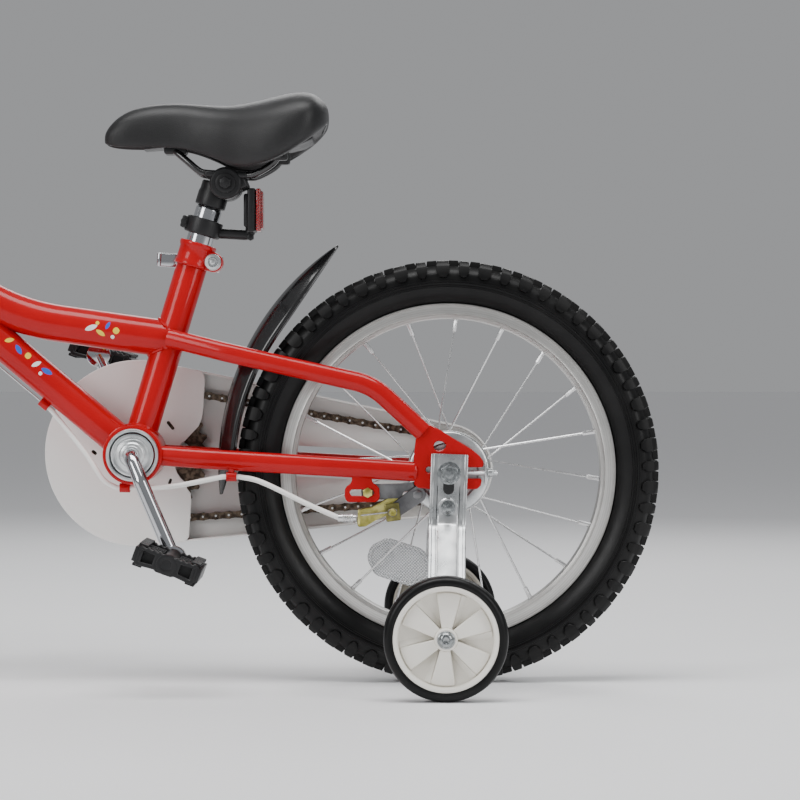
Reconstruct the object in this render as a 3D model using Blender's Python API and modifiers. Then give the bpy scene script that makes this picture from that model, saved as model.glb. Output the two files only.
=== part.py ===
"""A kids bike with 16-inch wheels, a one-piece crank, a closed chain case, a rear band brake and
training wheels.

The bike stands on the ground at z = 0 and faces -X. Its left side faces -Y. X = 0 is halfway between
the axles. All lengths are in metres: sizes are written in millimetres and multiplied by mm.
"""

import math

import bmesh
import bpy
from mathutils import Matrix, Vector

mm = 0.001
gap = 0.3 * mm  # between pieces that touch

# Wheels and where they stand
wheelbase = 740 * mm
tyre_radius = 203 * mm
tyre_width = 50 * mm
rim_radius = 161 * mm
rim_depth = 15 * mm
rim_lip = 6 * mm
rim_width = 28 * mm
rim_wall = 2 * mm
wheel_segments = 24  # with a flat on the ground

# Hubs, spokes and axles
axle_radius = 4.75 * mm
hub_running_clearance = 0.4 * mm
hub_flange_radius = 20 * mm
hub_flange_thickness = 3 * mm
spoke_circle_radius = 16 * mm
spokes_per_side = 10
spoke_radius = 1 * mm
spoke_turn = math.radians(72)
first_spoke_angle = math.radians(3)
rear_flange_reach = 22 * mm
front_flange_reach = 30 * mm
front_hub_half = 48 * mm
rear_hub_half = 58 * mm
hub_barrel_radius = 12 * mm
cone_radius = 8.5 * mm
nut_radius = 9 * mm
nut_height = 8 * mm
washer_radius = 11 * mm
washer_thickness = 2 * mm
axle_tail = 5 * mm

# Drive: the rear wheel's place follows from the links of the chain
chain_pitch = 12.7 * mm
chainring_teeth = 33
freewheel_teeth = 15
links_round_chainring = 17
links_round_freewheel = 7
links_in_each_run = 24
roller_radius = 3.9 * mm
chain_link_height = 8 * mm
chain_inner_width = 3.8 * mm
chain_plate_thickness = 1.2 * mm
tooth_tip_height = 2.2 * mm
chain_channel_height = 3.4 * mm
sprocket_thickness = 3 * mm
chain_line = 44.5 * mm
bottom_bracket_rise = 16 * mm  # above the rear axle
freewheel_body_radius = 19 * mm
freewheel_body_length = 12 * mm
hub_thread_radius = 12.7 * mm

# Crank and pedals
crank_length = 105 * mm
crank_angle = math.radians(24)  # the left arm, swung back from straight down
crank_radius = 7 * mm
crank_eye_radius = 12 * mm
crank_eye_thickness = 13 * mm
left_crank_reach = 78 * mm
right_crank_reach = 82 * mm
left_crank_bend = 47 * mm
right_crank_bend = 62 * mm
crank_cone_radius = 19.5 * mm
chainring_seat_radius = 14 * mm
pedal_spindle_radius = 4.5 * mm
pedal_spindle_length = 84 * mm
pedal_width = 88 * mm
pedal_length = 64 * mm
pedal_height = 22 * mm
pedal_tread_length = 13 * mm
pedal_cap_thickness = 8 * mm
pedal_barrel_radius = 9.5 * mm
pedal_tilt = math.radians(20)
pedal_clearance = 1.2 * mm

# Frame tubes
bb_shell_radius = 28.5 * mm
bb_shell_half = 33.5 * mm
bb_bore_radius = 23.9 * mm
seat_tube_angle = math.radians(73.2)
seat_tube_length = 211 * mm
seat_tube_radius = 15 * mm
seat_tube_bore = 13 * mm
seat_tube_bore_depth = 165 * mm
top_tube_radius = 18 * mm
top_tube_height = 111 * mm  # at the seat tube, above the bottom bracket
top_tube_start_slope = math.radians(8)
top_tube_end_slope = math.radians(53)
top_tube_meets = 87.7 * mm  # the steering axis, above the crown
top_tube_bend_radius = 200 * mm
down_tube_radius = 16 * mm
down_tube_meets = 31.6 * mm  # the steering axis, above the crown
chainstay_height = 9.5 * mm  # half of the flattened tube
chainstay_flatness = 0.68
chainstay_root_spread = 22 * mm
chainstay_waist_spread = 34 * mm
chainstay_waist_back = 74 * mm
stay_end_spread = 60.5 * mm
seatstay_radius = 9 * mm
seatstay_flatness = 0.72
seatstay_root_height = 112 * mm
seatstay_root_spread = 19 * mm
seatstay_bridge_forward = 212 * mm  # of the rear axle
seatstay_bridge_height = 114 * mm  # above the rear axle
seatstay_bridge_spread = 36 * mm
seatstay_bend_forward = 73 * mm
seatstay_bend_height = 83 * mm
seatstay_bend_spread = 58 * mm
seatstay_bend_radius = 60 * mm
dropout_thickness = 5 * mm
dropout_slot = 10.4 * mm

# Head tube, fork and headset
head_angle = math.radians(69)
fork_length = 268 * mm
fork_offset = 32 * mm
head_tube_length = 110 * mm
head_tube_radius = 18.5 * mm
head_tube_bore = 15.2 * mm
headset_stack = 10 * mm
headset_cup_radius = 19.5 * mm
headset_skirt = 9 * mm
steerer_radius = 12.7 * mm
quill_radius = 11 * mm
quill_depth = 75 * mm
headset_nut_radius = 17 * mm
headset_nut_height = 7 * mm
fork_leg_radius = 11 * mm
fork_spread = 44 * mm
fork_crown_drop = 14 * mm
fork_shoulder_drop = 48 * mm
fork_tip_thickness = 4 * mm
stem_rise = 52 * mm  # above the headset nut
stem_reach = 36 * mm
stem_radius = 14 * mm
stem_clamp_radius = 18.5 * mm
stem_clamp_width = 46 * mm

# Handlebar, grips and levers
bar_radius = 11.1 * mm
bar_half_width = 236 * mm
bar_rise = 88 * mm
bar_back_sweep = 30 * mm
bar_flat_half = 44 * mm
bar_end_run = 138 * mm  # of each straight end
bar_bend_radius = 34 * mm
grip_length = 104 * mm
grip_radius = 15.5 * mm
grip_flange_radius = 20 * mm
grip_end_cover = 4 * mm
lever_clamp_width = 15 * mm
lever_clamp_radius = 16 * mm
lever_clamp_gap = 4 * mm  # between the clamp and the grip
lever_reach = 30 * mm
lever_pivot_radius = 6 * mm
lever_pin_radius = 2 * mm
lever_hub_half = 6 * mm
lever_ear_start = 8 * mm
lever_ear_margin = 7 * mm
lever_ear_width = 14 * mm
lever_ear_thickness = 4 * mm
lever_barrel_reach = 16 * mm
lever_barrel_length = 17 * mm
lever_barrel_radius = 4 * mm
lever_blade_length = 88 * mm
lever_blade_gap = 47 * mm
lever_blade_radius = 5 * mm

# Front brake
brake_boss_radius = 3.5 * mm
brake_boss_below_rim = 27 * mm
brake_arm_forward = 22 * mm
brake_arm_length = 104 * mm
brake_arm_radius = 6 * mm
brake_pad_gap = 2 * mm
brake_pad_length = 46 * mm
brake_pad_height = 9 * mm
brake_pad_thickness = 10 * mm

# Seat
seatpost_radius = 12.7 * mm
seatpost_top_radius = 11 * mm
seatpost_depth = 153 * mm  # down inside the seat tube
seatpost_step_rise = 38 * mm  # above the top of the seat tube
seatpost_top_rise = 61 * mm
collar_radius = 18 * mm
collar_height = 24 * mm
collar_ear_back = 19 * mm
collar_ear_radius = 9.5 * mm
collar_ear_half = 11 * mm
collar_nut_radius = 8 * mm
release_lever_length = 56 * mm
release_lever_width = 13 * mm
release_lever_thickness = 4 * mm
release_barrel_radius = 7 * mm
clamp_ring_radius = 17 * mm
clamp_disc_radius = 15.5 * mm
clamp_half_width = 28 * mm
clamp_rise = 64 * mm
clamp_back = 9.6 * mm
rail_radius = 3.5 * mm
rail_spread = 21 * mm
saddle_length = 217 * mm
saddle_width = 138 * mm
saddle_nose_reach = 118 * mm  # forward of the clamp
base_width_share = 0.42
base_thickness = 3.5 * mm
base_clearance = 3.4 * mm

# Rear reflector
reflector_ring_radius = 17.5 * mm
reflector_ring_height = 16 * mm
reflector_ring_rise = 18 * mm  # above the top of the seat tube
reflector_lens_back = 51.4 * mm  # behind the middle of the ring
reflector_lens_up = 15.8 * mm
reflector_width = 44 * mm
reflector_height = 42 * mm
lens_thickness = 7 * mm

# Chain case
case_front_radius = 91 * mm
case_rear_radius = 44.5 * mm
case_wall = 1.8 * mm
case_outer_face = 52.8 * mm
case_inner_face = 36.2 * mm
case_crank_hole = 32 * mm
cover_thickness = 1.5 * mm
cover_back = 61 * mm  # the cover ends this far behind the bottom bracket
stay_window_half = 15 * mm
stay_window_length = 165 * mm

# Band brake
drum_radius = 34 * mm
drum_width = 15 * mm
drum_gap = 3 * mm  # between the hub flange and the drum
brake_cover_radius = 39.5 * mm
brake_cover_wall = 2 * mm
brake_cover_depth = 17 * mm
brake_lever_plate = 3 * mm
brake_pivot_forward = 29.5 * mm
brake_pivot_drop = 21 * mm
brake_lever_length = 29 * mm
brake_anchor_forward = 77 * mm
brake_anchor_drop = 19 * mm
anchor_tab_thickness = 4 * mm
brake_backing = 2.5 * mm
brake_lever_slope = math.radians(35)
cable_tab_thickness = 2.5 * mm

# Training wheels
training_radius = 57 * mm
training_width = 26 * mm
training_rim_radius = 48.5 * mm
training_hub_radius = 10 * mm
training_web_half = 2.5 * mm
training_segments = 16
training_track_half = 186 * mm
training_bolt_radius = 4 * mm
training_lean = math.radians(2)
bracket_thickness = 3 * mm
bracket_width = 35 * mm
bracket_web_width = 23 * mm
bracket_web_height = 4 * mm
bracket_top = 18 * mm  # above the axle
bracket_bend_drop = 43 * mm
bracket_foot = 15 * mm

# Mudguard
mudguard_radius = 256 * mm
mudguard_back = 35 * mm  # the arc's centre, behind the rear axle
mudguard_up = 4 * mm
mudguard_low_angle = math.radians(186)
mudguard_high_angle = math.radians(123.5)
mudguard_width = 49 * mm
mudguard_thickness = 2 * mm
mudguard_crown = 13 * mm
bridge_thickness = 4 * mm
bridge_length = 22 * mm
bridge_slope = math.radians(13.5)
adjuster_thickness = 2 * mm

# Cables
housing_radius = 2.5 * mm
wire_radius = 0.8 * mm
cable_stop_forward = 98 * mm  # along the down tube from the bottom bracket
front_stop_forward = 250 * mm
cable_drop = 3.4 * mm  # below the down tube
cable_sleeve_half = 5 * mm
cable_sleeve_radius = 4.5 * mm
cable_barrel_radius = 4 * mm

# Places worked out from the sizes above
chainring_radius = chain_pitch / (2 * math.sin(math.pi / chainring_teeth))
freewheel_radius = chain_pitch / (2 * math.sin(math.pi / freewheel_teeth))
half_wrap_front = math.pi * links_round_chainring / chainring_teeth
half_wrap_rear = math.pi * links_round_freewheel / freewheel_teeth
run_rise = chainring_radius * math.sin(half_wrap_front) - freewheel_radius * math.sin(half_wrap_rear)
chainstay_length = (math.sqrt((links_in_each_run * chain_pitch) ** 2 - run_rise ** 2)
                    - freewheel_radius * math.cos(half_wrap_rear)
                    - chainring_radius * math.cos(half_wrap_front))
rear_axle = Vector((wheelbase / 2, 0, tyre_radius))
front_axle = Vector((-wheelbase / 2, 0, tyre_radius))
bb_forward = math.sqrt(chainstay_length ** 2 - bottom_bracket_rise ** 2)
bottom_bracket = rear_axle + Vector((-bb_forward, 0, bottom_bracket_rise))
chain_angle = math.atan2(-bottom_bracket_rise, bb_forward)

seat_up = Vector((math.cos(seat_tube_angle), 0, math.sin(seat_tube_angle)))
seat_back = Vector((math.sin(seat_tube_angle), 0, -math.cos(seat_tube_angle)))
steer_up = Vector((math.cos(head_angle), 0, math.sin(head_angle)))
steer_forward = Vector((-math.sin(head_angle), 0, math.cos(head_angle)))
crown = front_axle + steer_up * fork_length - steer_forward * fork_offset
left_side = Vector((0, -1, 0))


def at_seat(along, back, side=0.0):
    """A point measured along the seat tube, behind its axis and to the side of it."""
    return bottom_bracket + seat_up * along + seat_back * back + Vector((0, side, 0))


def at_fork(up, forward=0.0, side=0.0):
    """A point measured from the crown along the steering axis, in front of it and beside it."""
    return crown + steer_up * up + steer_forward * forward + Vector((0, side, 0))


def beside_rear_axle(forward, up, side=0.0):
    """A point in front of, above and to the side of the rear axle's middle."""
    return rear_axle + Vector((-forward, side, up))


bar_shoulder = bar_half_width - bar_end_run
seatpost_step = seat_tube_length + seatpost_step_rise
seatpost_top = seat_tube_length + seatpost_top_rise
reflector_ring_place = seat_tube_length + reflector_ring_rise
saddle_clamp_centre = at_seat(seat_tube_length + clamp_rise, clamp_back)
brake_boss_up = rim_radius - brake_boss_below_rim - fork_length
bar_base_up = headset_stack * 2 + head_tube_length + headset_nut_height + stem_rise
left_arm = Vector((math.sin(crank_angle), 0, -math.cos(crank_angle)))
hub_end_left = rear_flange_reach + hub_flange_thickness
drum_near = hub_end_left + drum_gap
thread_end = chain_line + 3.5 * mm
bracket_face = rear_hub_half + dropout_thickness + gap + adjuster_thickness + gap
rear_nut_face = bracket_face + bracket_thickness + gap
cable_sleeve = Vector((cable_sleeve_half, 0, 0))
under_bracket_clip = bottom_bracket + Vector((-8 * mm, -22 * mm, -bb_shell_radius - 3.2 * mm))
stay_clip = Vector((bottom_bracket.x + 95 * mm, -(chainstay_waist_spread + 4 * mm),
                    bottom_bracket.z - 20.5 * mm))
down_slope = (crown + steer_up * down_tube_meets - bottom_bracket).normalized()
brake_plane = -(rear_flange_reach + hub_flange_thickness + drum_gap + drum_width + drum_gap)
brake_face = brake_plane - brake_backing
brake_pivot = beside_rear_axle(brake_pivot_forward, -brake_pivot_drop)
anchor_bolt = beside_rear_axle(brake_anchor_forward, -brake_anchor_drop)
cable_anchor = brake_pivot - Vector((math.cos(brake_lever_slope), 0,
                                     math.sin(brake_lever_slope))) * brake_lever_length
lever_plane = brake_face - gap - brake_lever_plate / 2
anchor_plane = brake_face - gap - brake_lever_plate - gap
cable_end = beside_rear_axle(104 * mm, -43 * mm, lever_plane - brake_lever_plate / 2 - 4 * mm)
cable_tab = beside_rear_axle(85 * mm, -42 * mm)
cable_grip = Vector((cable_anchor.x - 5 * mm, cable_end.y, cable_anchor.z))
cable_pull = (cable_grip - cable_end).normalized()


def make_collection(name):
    collection = bpy.data.collections.new(name)
    bpy.context.scene.collection.children.link(collection)
    return collection


def clear_scene():
    for old in list(bpy.data.objects):
        bpy.data.objects.remove(old, do_unlink=True)


clear_scene()
parts = make_collection("kids_bike")
cutters = make_collection("cutters")


def make_look(name, colour, roughness, metallic=0.0):
    look = bpy.data.materials.new(name)
    look.use_nodes = True
    shader = look.node_tree.nodes["Principled BSDF"]
    shader.inputs["Base Color"].default_value = (*colour, 1.0)
    shader.inputs["Roughness"].default_value = roughness
    shader.inputs["Metallic"].default_value = metallic
    look.diffuse_color = (*colour, 1.0)
    return look


red_paint = make_look("red_paint", (0.72, 0.012, 0.012), 0.22)
black_rubber = make_look("black_rubber", (0.02, 0.02, 0.02), 0.75)
alloy = make_look("alloy", (0.72, 0.72, 0.72), 0.35, 1.0)
chrome = make_look("chrome", (0.78, 0.78, 0.8), 0.12, 1.0)
zinc_plate = make_look("zinc_plate", (0.66, 0.67, 0.68), 0.38, 1.0)
white_plastic = make_look("white_plastic", (0.8, 0.8, 0.76), 0.4)
black_plastic = make_look("black_plastic", (0.022, 0.022, 0.024), 0.42)
saddle_skin = make_look("saddle_skin", (0.03, 0.03, 0.032), 0.5)
dark_steel = make_look("dark_steel", (0.12, 0.09, 0.06), 0.5, 0.9)
red_lens = make_look("red_lens", (0.6, 0.01, 0.01), 0.12)
clear_lens = make_look("clear_lens", (0.75, 0.75, 0.76), 0.2)


def add_mesh(name, mesh):
    piece = bpy.data.objects.new(name, mesh)
    bpy.context.scene.collection.objects.link(piece)
    return piece


def mesh_from(work):
    """Closes a bmesh into a mesh object with its faces pointing out."""
    bmesh.ops.remove_doubles(work, verts=work.verts, dist=0.001 * mm)
    bmesh.ops.recalc_face_normals(work, faces=work.faces)
    mesh = bpy.data.meshes.new("blank")
    work.to_mesh(mesh)
    work.free()
    return add_mesh("blank", mesh)


def made_mesh(source):
    """Replaces an object, such as a curve, by the mesh that its modifiers and bevel give."""
    bpy.context.view_layer.update()
    evaluated = source.evaluated_get(bpy.context.evaluated_depsgraph_get())
    work = bmesh.new()
    mesh = bpy.data.meshes.new_from_object(evaluated)
    work.from_mesh(mesh)
    bmesh.ops.transform(work, matrix=source.matrix_world, verts=work.verts)
    bpy.data.meshes.remove(mesh)
    bpy.data.objects.remove(source, do_unlink=True)
    return mesh_from(work)


def box(centre, size, turn=None):
    """A block about its centre, turned by a rotation matrix where one is given."""
    work = bmesh.new()
    bmesh.ops.create_cube(work, size=1.0)
    bmesh.ops.scale(work, vec=size, verts=work.verts)
    place = Matrix.Translation(centre)
    if turn is not None:
        place = place @ turn.to_4x4()
    bmesh.ops.transform(work, matrix=place, verts=work.verts)
    return mesh_from(work)


def rod(start, end, radius, sides=16):
    """A round bar from one point to another."""
    along = end - start
    work = bmesh.new()
    bmesh.ops.create_cone(work, cap_ends=True, segments=sides, radius1=radius, radius2=radius,
                          depth=along.length)
    turn = Vector((0, 0, 1)).rotation_difference(along.normalized()).to_matrix().to_4x4()
    bmesh.ops.transform(work, matrix=Matrix.Translation((start + end) / 2) @ turn, verts=work.verts)
    return mesh_from(work)


def hole(start, end, radius, sides):
    """A cutter whose flats, not its corners, lie at the radius, so that a round bar fits in it."""
    return rod(start, end, radius / math.cos(math.pi / sides), sides)


def cross_hole(centre, low, high, radius, sides):
    return cross_rod(centre, low, high, radius / math.cos(math.pi / sides), sides)


def cross_rod(centre, low, high, radius, sides=16):
    """A round bar across the bike, between two distances to the side of a centre."""
    return rod(Vector((centre.x, low, centre.z)), Vector((centre.x, high, centre.z)), radius, sides)


def turned(profile, centre, along=Vector((0, 1, 0)), segments=24, start=0.0):
    """Turns a profile of (radius, distance) points about a line through the centre."""
    mesh = bpy.data.meshes.new("profile")
    points = [(radius, 0, distance) for radius, distance in profile]
    closed = profile[0][0] > 0
    edges = [(i, i + 1) for i in range(len(points) - 1)]
    if closed:
        edges.append((len(points) - 1, 0))
    mesh.from_pydata(points, edges, [])
    blank = add_mesh("profile", mesh)
    screw = blank.modifiers.new("turn", "SCREW")
    screw.axis = "Z"
    screw.angle = 2 * math.pi
    screw.steps = segments
    screw.render_steps = segments
    screw.use_merge_vertices = True
    screw.merge_threshold = 0.001 * mm
    turn = Vector((0, 0, 1)).rotation_difference(along).to_matrix().to_4x4()
    blank.matrix_world = Matrix.Translation(centre) @ turn @ Matrix.Rotation(start, 4, "Z")
    return made_mesh(blank)


def tube(points, radius, resolution=2, flatness=1.0):
    """A bent bar along points, narrowed across the bike by flatness, with its caps welded."""
    curve = bpy.data.curves.new("tube", "CURVE")
    curve.dimensions = "3D"
    curve.bevel_depth = radius
    curve.bevel_resolution = resolution
    curve.use_fill_caps = True
    spline = curve.splines.new("POLY")
    spline.points.add(len(points) - 1)
    for index, point in enumerate(points):
        spline.points[index].co = (point.x, point.y / flatness, point.z, 1.0)
    blank = bpy.data.objects.new("tube", curve)
    bpy.context.scene.collection.objects.link(blank)
    blank.scale = (1, flatness, 1)
    return made_mesh(blank)


def rounded(points, radius, steps=5):
    """The same route with each corner turned into an arc."""
    route = [points[0]]
    for before, corner, after in zip(points, points[1:], points[2:]):
        inward = (before - corner).normalized()
        outward = (after - corner).normalized()
        half = inward.angle(outward) / 2
        room = min((before - corner).length, (after - corner).length) * 0.48
        reach = min(radius / math.tan(half), room)
        bend = reach * math.tan(half)
        centre = corner + (inward + outward).normalized() * (bend / math.sin(half))
        start = corner + inward * reach - centre
        end = corner + outward * reach - centre
        turn = start.angle(end)
        for step in range(steps + 1):
            share = step / steps
            route.append(centre + (start * math.sin((1 - share) * turn)
                                   + end * math.sin(share * turn)) / math.sin(turn))
    route.append(points[-1])
    return route


def smooth(points, steps):
    """Points on a smooth curve through a route's own points."""
    ends = [points[0] * 2 - points[1], *points, points[-1] * 2 - points[-2]]
    route = []
    for a, b, c, d in zip(ends, ends[1:], ends[2:], ends[3:]):
        for step in range(steps):
            t = step / steps
            route.append(0.5 * ((2 * b) + (c - a) * t + (2 * a - 5 * b + 4 * c - d) * t ** 2
                                + (3 * b - a - 3 * c + d) * t ** 3))
    route.append(points[-1])
    return route


def plate(outlines, thickness, place):
    """A flat outline, with any holes as further outlines, given its thickness and placed."""
    curve = bpy.data.curves.new("plate", "CURVE")
    curve.dimensions = "2D"
    curve.fill_mode = "BOTH"
    curve.extrude = thickness / 2
    for outline in outlines:
        spline = curve.splines.new("POLY")
        spline.points.add(len(outline) - 1)
        for index, (x, y) in enumerate(outline):
            spline.points[index].co = (x, y, 0, 1)
        spline.use_cyclic_u = True
    blank = bpy.data.objects.new("plate", curve)
    bpy.context.scene.collection.objects.link(blank)
    blank.matrix_world = place
    return made_mesh(blank)


def side_plate(outlines, low, high):
    """A plate seen from the bike's side, between two distances across the bike."""
    place = Matrix.Translation((0, (low + high) / 2, 0)) @ Matrix.Rotation(math.pi / 2, 4, "X")
    return plate(outlines, high - low, place)


def cross_plate(outline, low, high):
    """A plate seen from the front, between two distances along the bike."""
    turn = Matrix(((0, 0, 1, 0), (1, 0, 0, 0), (0, 1, 0, 0), (0, 0, 0, 1)))
    return plate([outline], high - low, Matrix.Translation(((low + high) / 2, 0, 0)) @ turn)


def circle(centre, radius, sides, start=0.0):
    """Points round a circle seen from the side."""
    return [(centre.x + radius * math.cos(start + 2 * math.pi * i / sides),
             centre.z + radius * math.sin(start + 2 * math.pi * i / sides)) for i in range(sides)]


def arc(centre, radius, start, end, steps):
    return [(centre.x + radius * math.cos(start + (end - start) * i / steps),
             centre.z + radius * math.sin(start + (end - start) * i / steps))
            for i in range(steps + 1)]


def strip(points, thickness):
    """The outline of a bent strip that runs along points."""
    sides = []
    for sign in (1, -1):
        side = []
        for index, point in enumerate(points):
            before = points[max(index - 1, 0)]
            after = points[min(index + 1, len(points) - 1)]
            first = (Vector(point) - Vector(before)).normalized()
            second = (Vector(after) - Vector(point)).normalized()
            if index == 0:
                first = second
            if index == len(points) - 1:
                second = first
            middle = (first + second).normalized()
            normal = Vector((-middle.y, middle.x))
            width = thickness / 2 / max(normal.dot(Vector((-first.y, first.x))), 0.5)
            side.append(tuple(Vector(point) + normal * width * sign))
        sides.append(side)
    return sides[0] + sides[1][::-1]


def into(collection, piece):
    for owner in list(piece.users_collection):
        owner.objects.unlink(piece)
    collection.objects.link(piece)


waiting = []


def combine(piece, others, operation, label):
    """Joins other solids to a piece, or cuts them out of it, with one live Boolean."""
    group = bpy.data.collections.new(label)
    cutters.children.link(group)
    for index, other in enumerate(others):
        other.name = f"{label}_{index + 1}"
        other.hide_render = True
        other.display_type = "WIRE"
        into(group, other)
    boolean = piece.modifiers.new(label, "BOOLEAN")
    boolean.operation = operation
    boolean.solver = "EXACT"
    boolean.operand_type = "COLLECTION"
    boolean.collection = group


def make_part(name, look, solids, holes=(), pivot=None):
    """A named part: its solids joined, its holes cut, its origin on its joint's axis."""
    piece = solids[0]
    piece.name = name
    piece.data.name = name
    if pivot is not None:
        piece.data.transform(Matrix.Translation(-pivot))
        piece.location = pivot
    if len(solids) > 1:
        waiting.append((piece, solids[1:], "UNION", f"{name}_pieces"))
    if holes:
        waiting.append((piece, list(holes), "DIFFERENCE", f"{name}_holes"))
    piece.data.materials.clear()
    piece.data.materials.append(look)
    piece.data.shade_smooth()
    piece.data.set_sharp_from_angle(angle=math.radians(32))
    into(parts, piece)
    return piece


# Frame
def top_tube_route():
    """From the seat tube: straight, then bending up beside the down tube to the head tube."""
    start = bottom_bracket + seat_up * (top_tube_height / seat_up.z)
    slope = Vector((-math.cos(top_tube_start_slope), 0, math.sin(top_tube_start_slope)))
    steep = Vector((-math.cos(top_tube_end_slope), 0, math.sin(top_tube_end_slope)))
    square_to_slope = Vector((slope.z, 0, -slope.x))
    square_to_steep = Vector((steep.z, 0, -steep.x))
    meeting = crown + steer_up * top_tube_meets
    bend = (square_to_slope - square_to_steep) * top_tube_bend_radius
    first_straight = (meeting - start - bend).dot(square_to_steep) / slope.dot(square_to_steep)
    centre = start + slope * first_straight + square_to_slope * top_tube_bend_radius
    steps = 5
    route = [start]
    for step in range(steps + 1):
        turn = top_tube_start_slope + (top_tube_end_slope - top_tube_start_slope) * step / steps
        route.append(centre + Vector((-math.sin(turn), 0, -math.cos(turn))) * top_tube_bend_radius)
    route.append(meeting)
    return route


def down_tube_route():
    return [bottom_bracket.copy(), crown + steer_up * down_tube_meets]


def chainstay_route(side):
    waist_back = chainstay_waist_back
    share = waist_back / bb_forward
    waist = bottom_bracket + Vector((waist_back, side * chainstay_waist_spread,
                                     -bottom_bracket_rise * share))
    root = bottom_bracket + Vector((12 * mm, side * chainstay_root_spread, 0))
    end = beside_rear_axle(29 * mm, 1 * mm, side * stay_end_spread)
    return rounded([root, waist, end], 120 * mm, 2)


def seatstay_route(side):
    root = at_seat(seatstay_root_height / seat_up.z, 1 * mm, side * seatstay_root_spread)
    bridge = beside_rear_axle(seatstay_bridge_forward, seatstay_bridge_height,
                              side * seatstay_bridge_spread)
    bend = beside_rear_axle(seatstay_bend_forward, seatstay_bend_height, side * seatstay_bend_spread)
    end = beside_rear_axle(24 * mm, 38 * mm, side * stay_end_spread)
    return rounded([root, bridge, bend, end], seatstay_bend_radius, 1)


def dropout_outline():
    """The fork end: a plate round an axle slot that is open to the rear."""
    slot = dropout_slot / 2
    corners = [(-33, -11), (-33, 15), (-29, 41), (-18, 45.5), (2, 34), (21, 22.5), (31, 13.5), (33, 8)]
    top = [(x * mm, z * mm) for x, z in corners]
    mouth = [(33 * mm, slot), (0, slot)]
    seat = arc(Vector((-axle_radius * 0.2, 0, 0)), slot, math.pi / 2, 3 * math.pi / 2, 4)
    lower = [(0, -slot), (31 * mm, -slot), (30 * mm, -12 * mm), (27 * mm, -15.5 * mm),
             (-17 * mm, -15.5 * mm)]
    points = top + mouth + seat + lower
    return [(rear_axle.x + x, rear_axle.z + z) for x, z in points]


def dropout(side):
    inner = side * rear_hub_half
    outer = side * (rear_hub_half + dropout_thickness)
    eye = circle(beside_rear_axle(19 * mm, 3 * mm), 3 * mm, 8)
    slot = [(rear_axle.x + x * mm, rear_axle.z + z * mm)
            for x, z in [(-14, 22), (-14, 28), (-9, 30.5), (-3, 27), (-3, 23.5), (-8, 21)]]
    return side_plate([dropout_outline(), eye, slot], min(inner, outer), max(inner, outer))


def down_tube_underside(forward, drop):
    """A point under the down tube, forward of the bottom bracket."""
    route = down_tube_route()
    slope = (route[1] - route[0]).normalized()
    below = Vector((slope.z, 0, -slope.x))
    if below.z > 0:
        below = -below
    return route[0] + slope * forward + below * (down_tube_radius + drop)


def anchor_tab():
    """The tab under the left chainstay whose slot holds the brake's anchor bolt."""
    x, z = anchor_bolt.x, anchor_bolt.z
    outline = [(x - 22 * mm, z - 4 * mm), (x - 19 * mm, z - 9 * mm), (x + 8 * mm, z - 9 * mm),
               (x + 11 * mm, z - 5 * mm), (x + 10 * mm, z + 5 * mm), (x + 4 * mm, z + 9 * mm),
               (x + 4 * mm, z + 16 * mm), (x - 15 * mm, z + 16 * mm), (x - 15 * mm, z + 9 * mm),
               (x - 21 * mm, z + 5 * mm)]
    slot = [(x - 15 * mm, z - 3 * mm), (x + 4 * mm, z - 3 * mm), (x + 5.5 * mm, z),
            (x + 4 * mm, z + 3 * mm), (x - 15 * mm, z + 3 * mm), (x - 16.5 * mm, z)]
    return side_plate([outline, slot], anchor_plane - anchor_tab_thickness, anchor_plane)


def cable_guides():
    """Short sleeves that carry the brake cable: two on the down tube, one under the shell, one on
    the chainstay."""
    guides = []
    for forward in (cable_stop_forward, front_stop_forward):
        place = down_tube_underside(forward, cable_drop)
        guides.append(rod(place - down_slope * cable_sleeve_half, place + down_slope * cable_sleeve_half,
                          cable_sleeve_radius, 8))
    for clip in (under_bracket_clip, stay_clip):
        guides.append(rod(clip - cable_sleeve, clip + cable_sleeve, cable_sleeve_radius, 8))
        guides.append(rod(clip + Vector((0, 0, 4 * mm)), clip + Vector((0, 0, 12 * mm)), 3 * mm, 6))
    return guides


def mudguard_bridge():
    """A flat bar between the seatstays that the mudguard is bolted to."""
    centre = beside_rear_axle(seatstay_bridge_forward, seatstay_bridge_height)
    turn = Matrix.Rotation(bridge_slope, 3, "Y")
    span = 2 * (seatstay_bridge_spread - seatstay_radius * 0.4)
    return box(centre, (bridge_length, span, bridge_thickness), turn)


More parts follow.
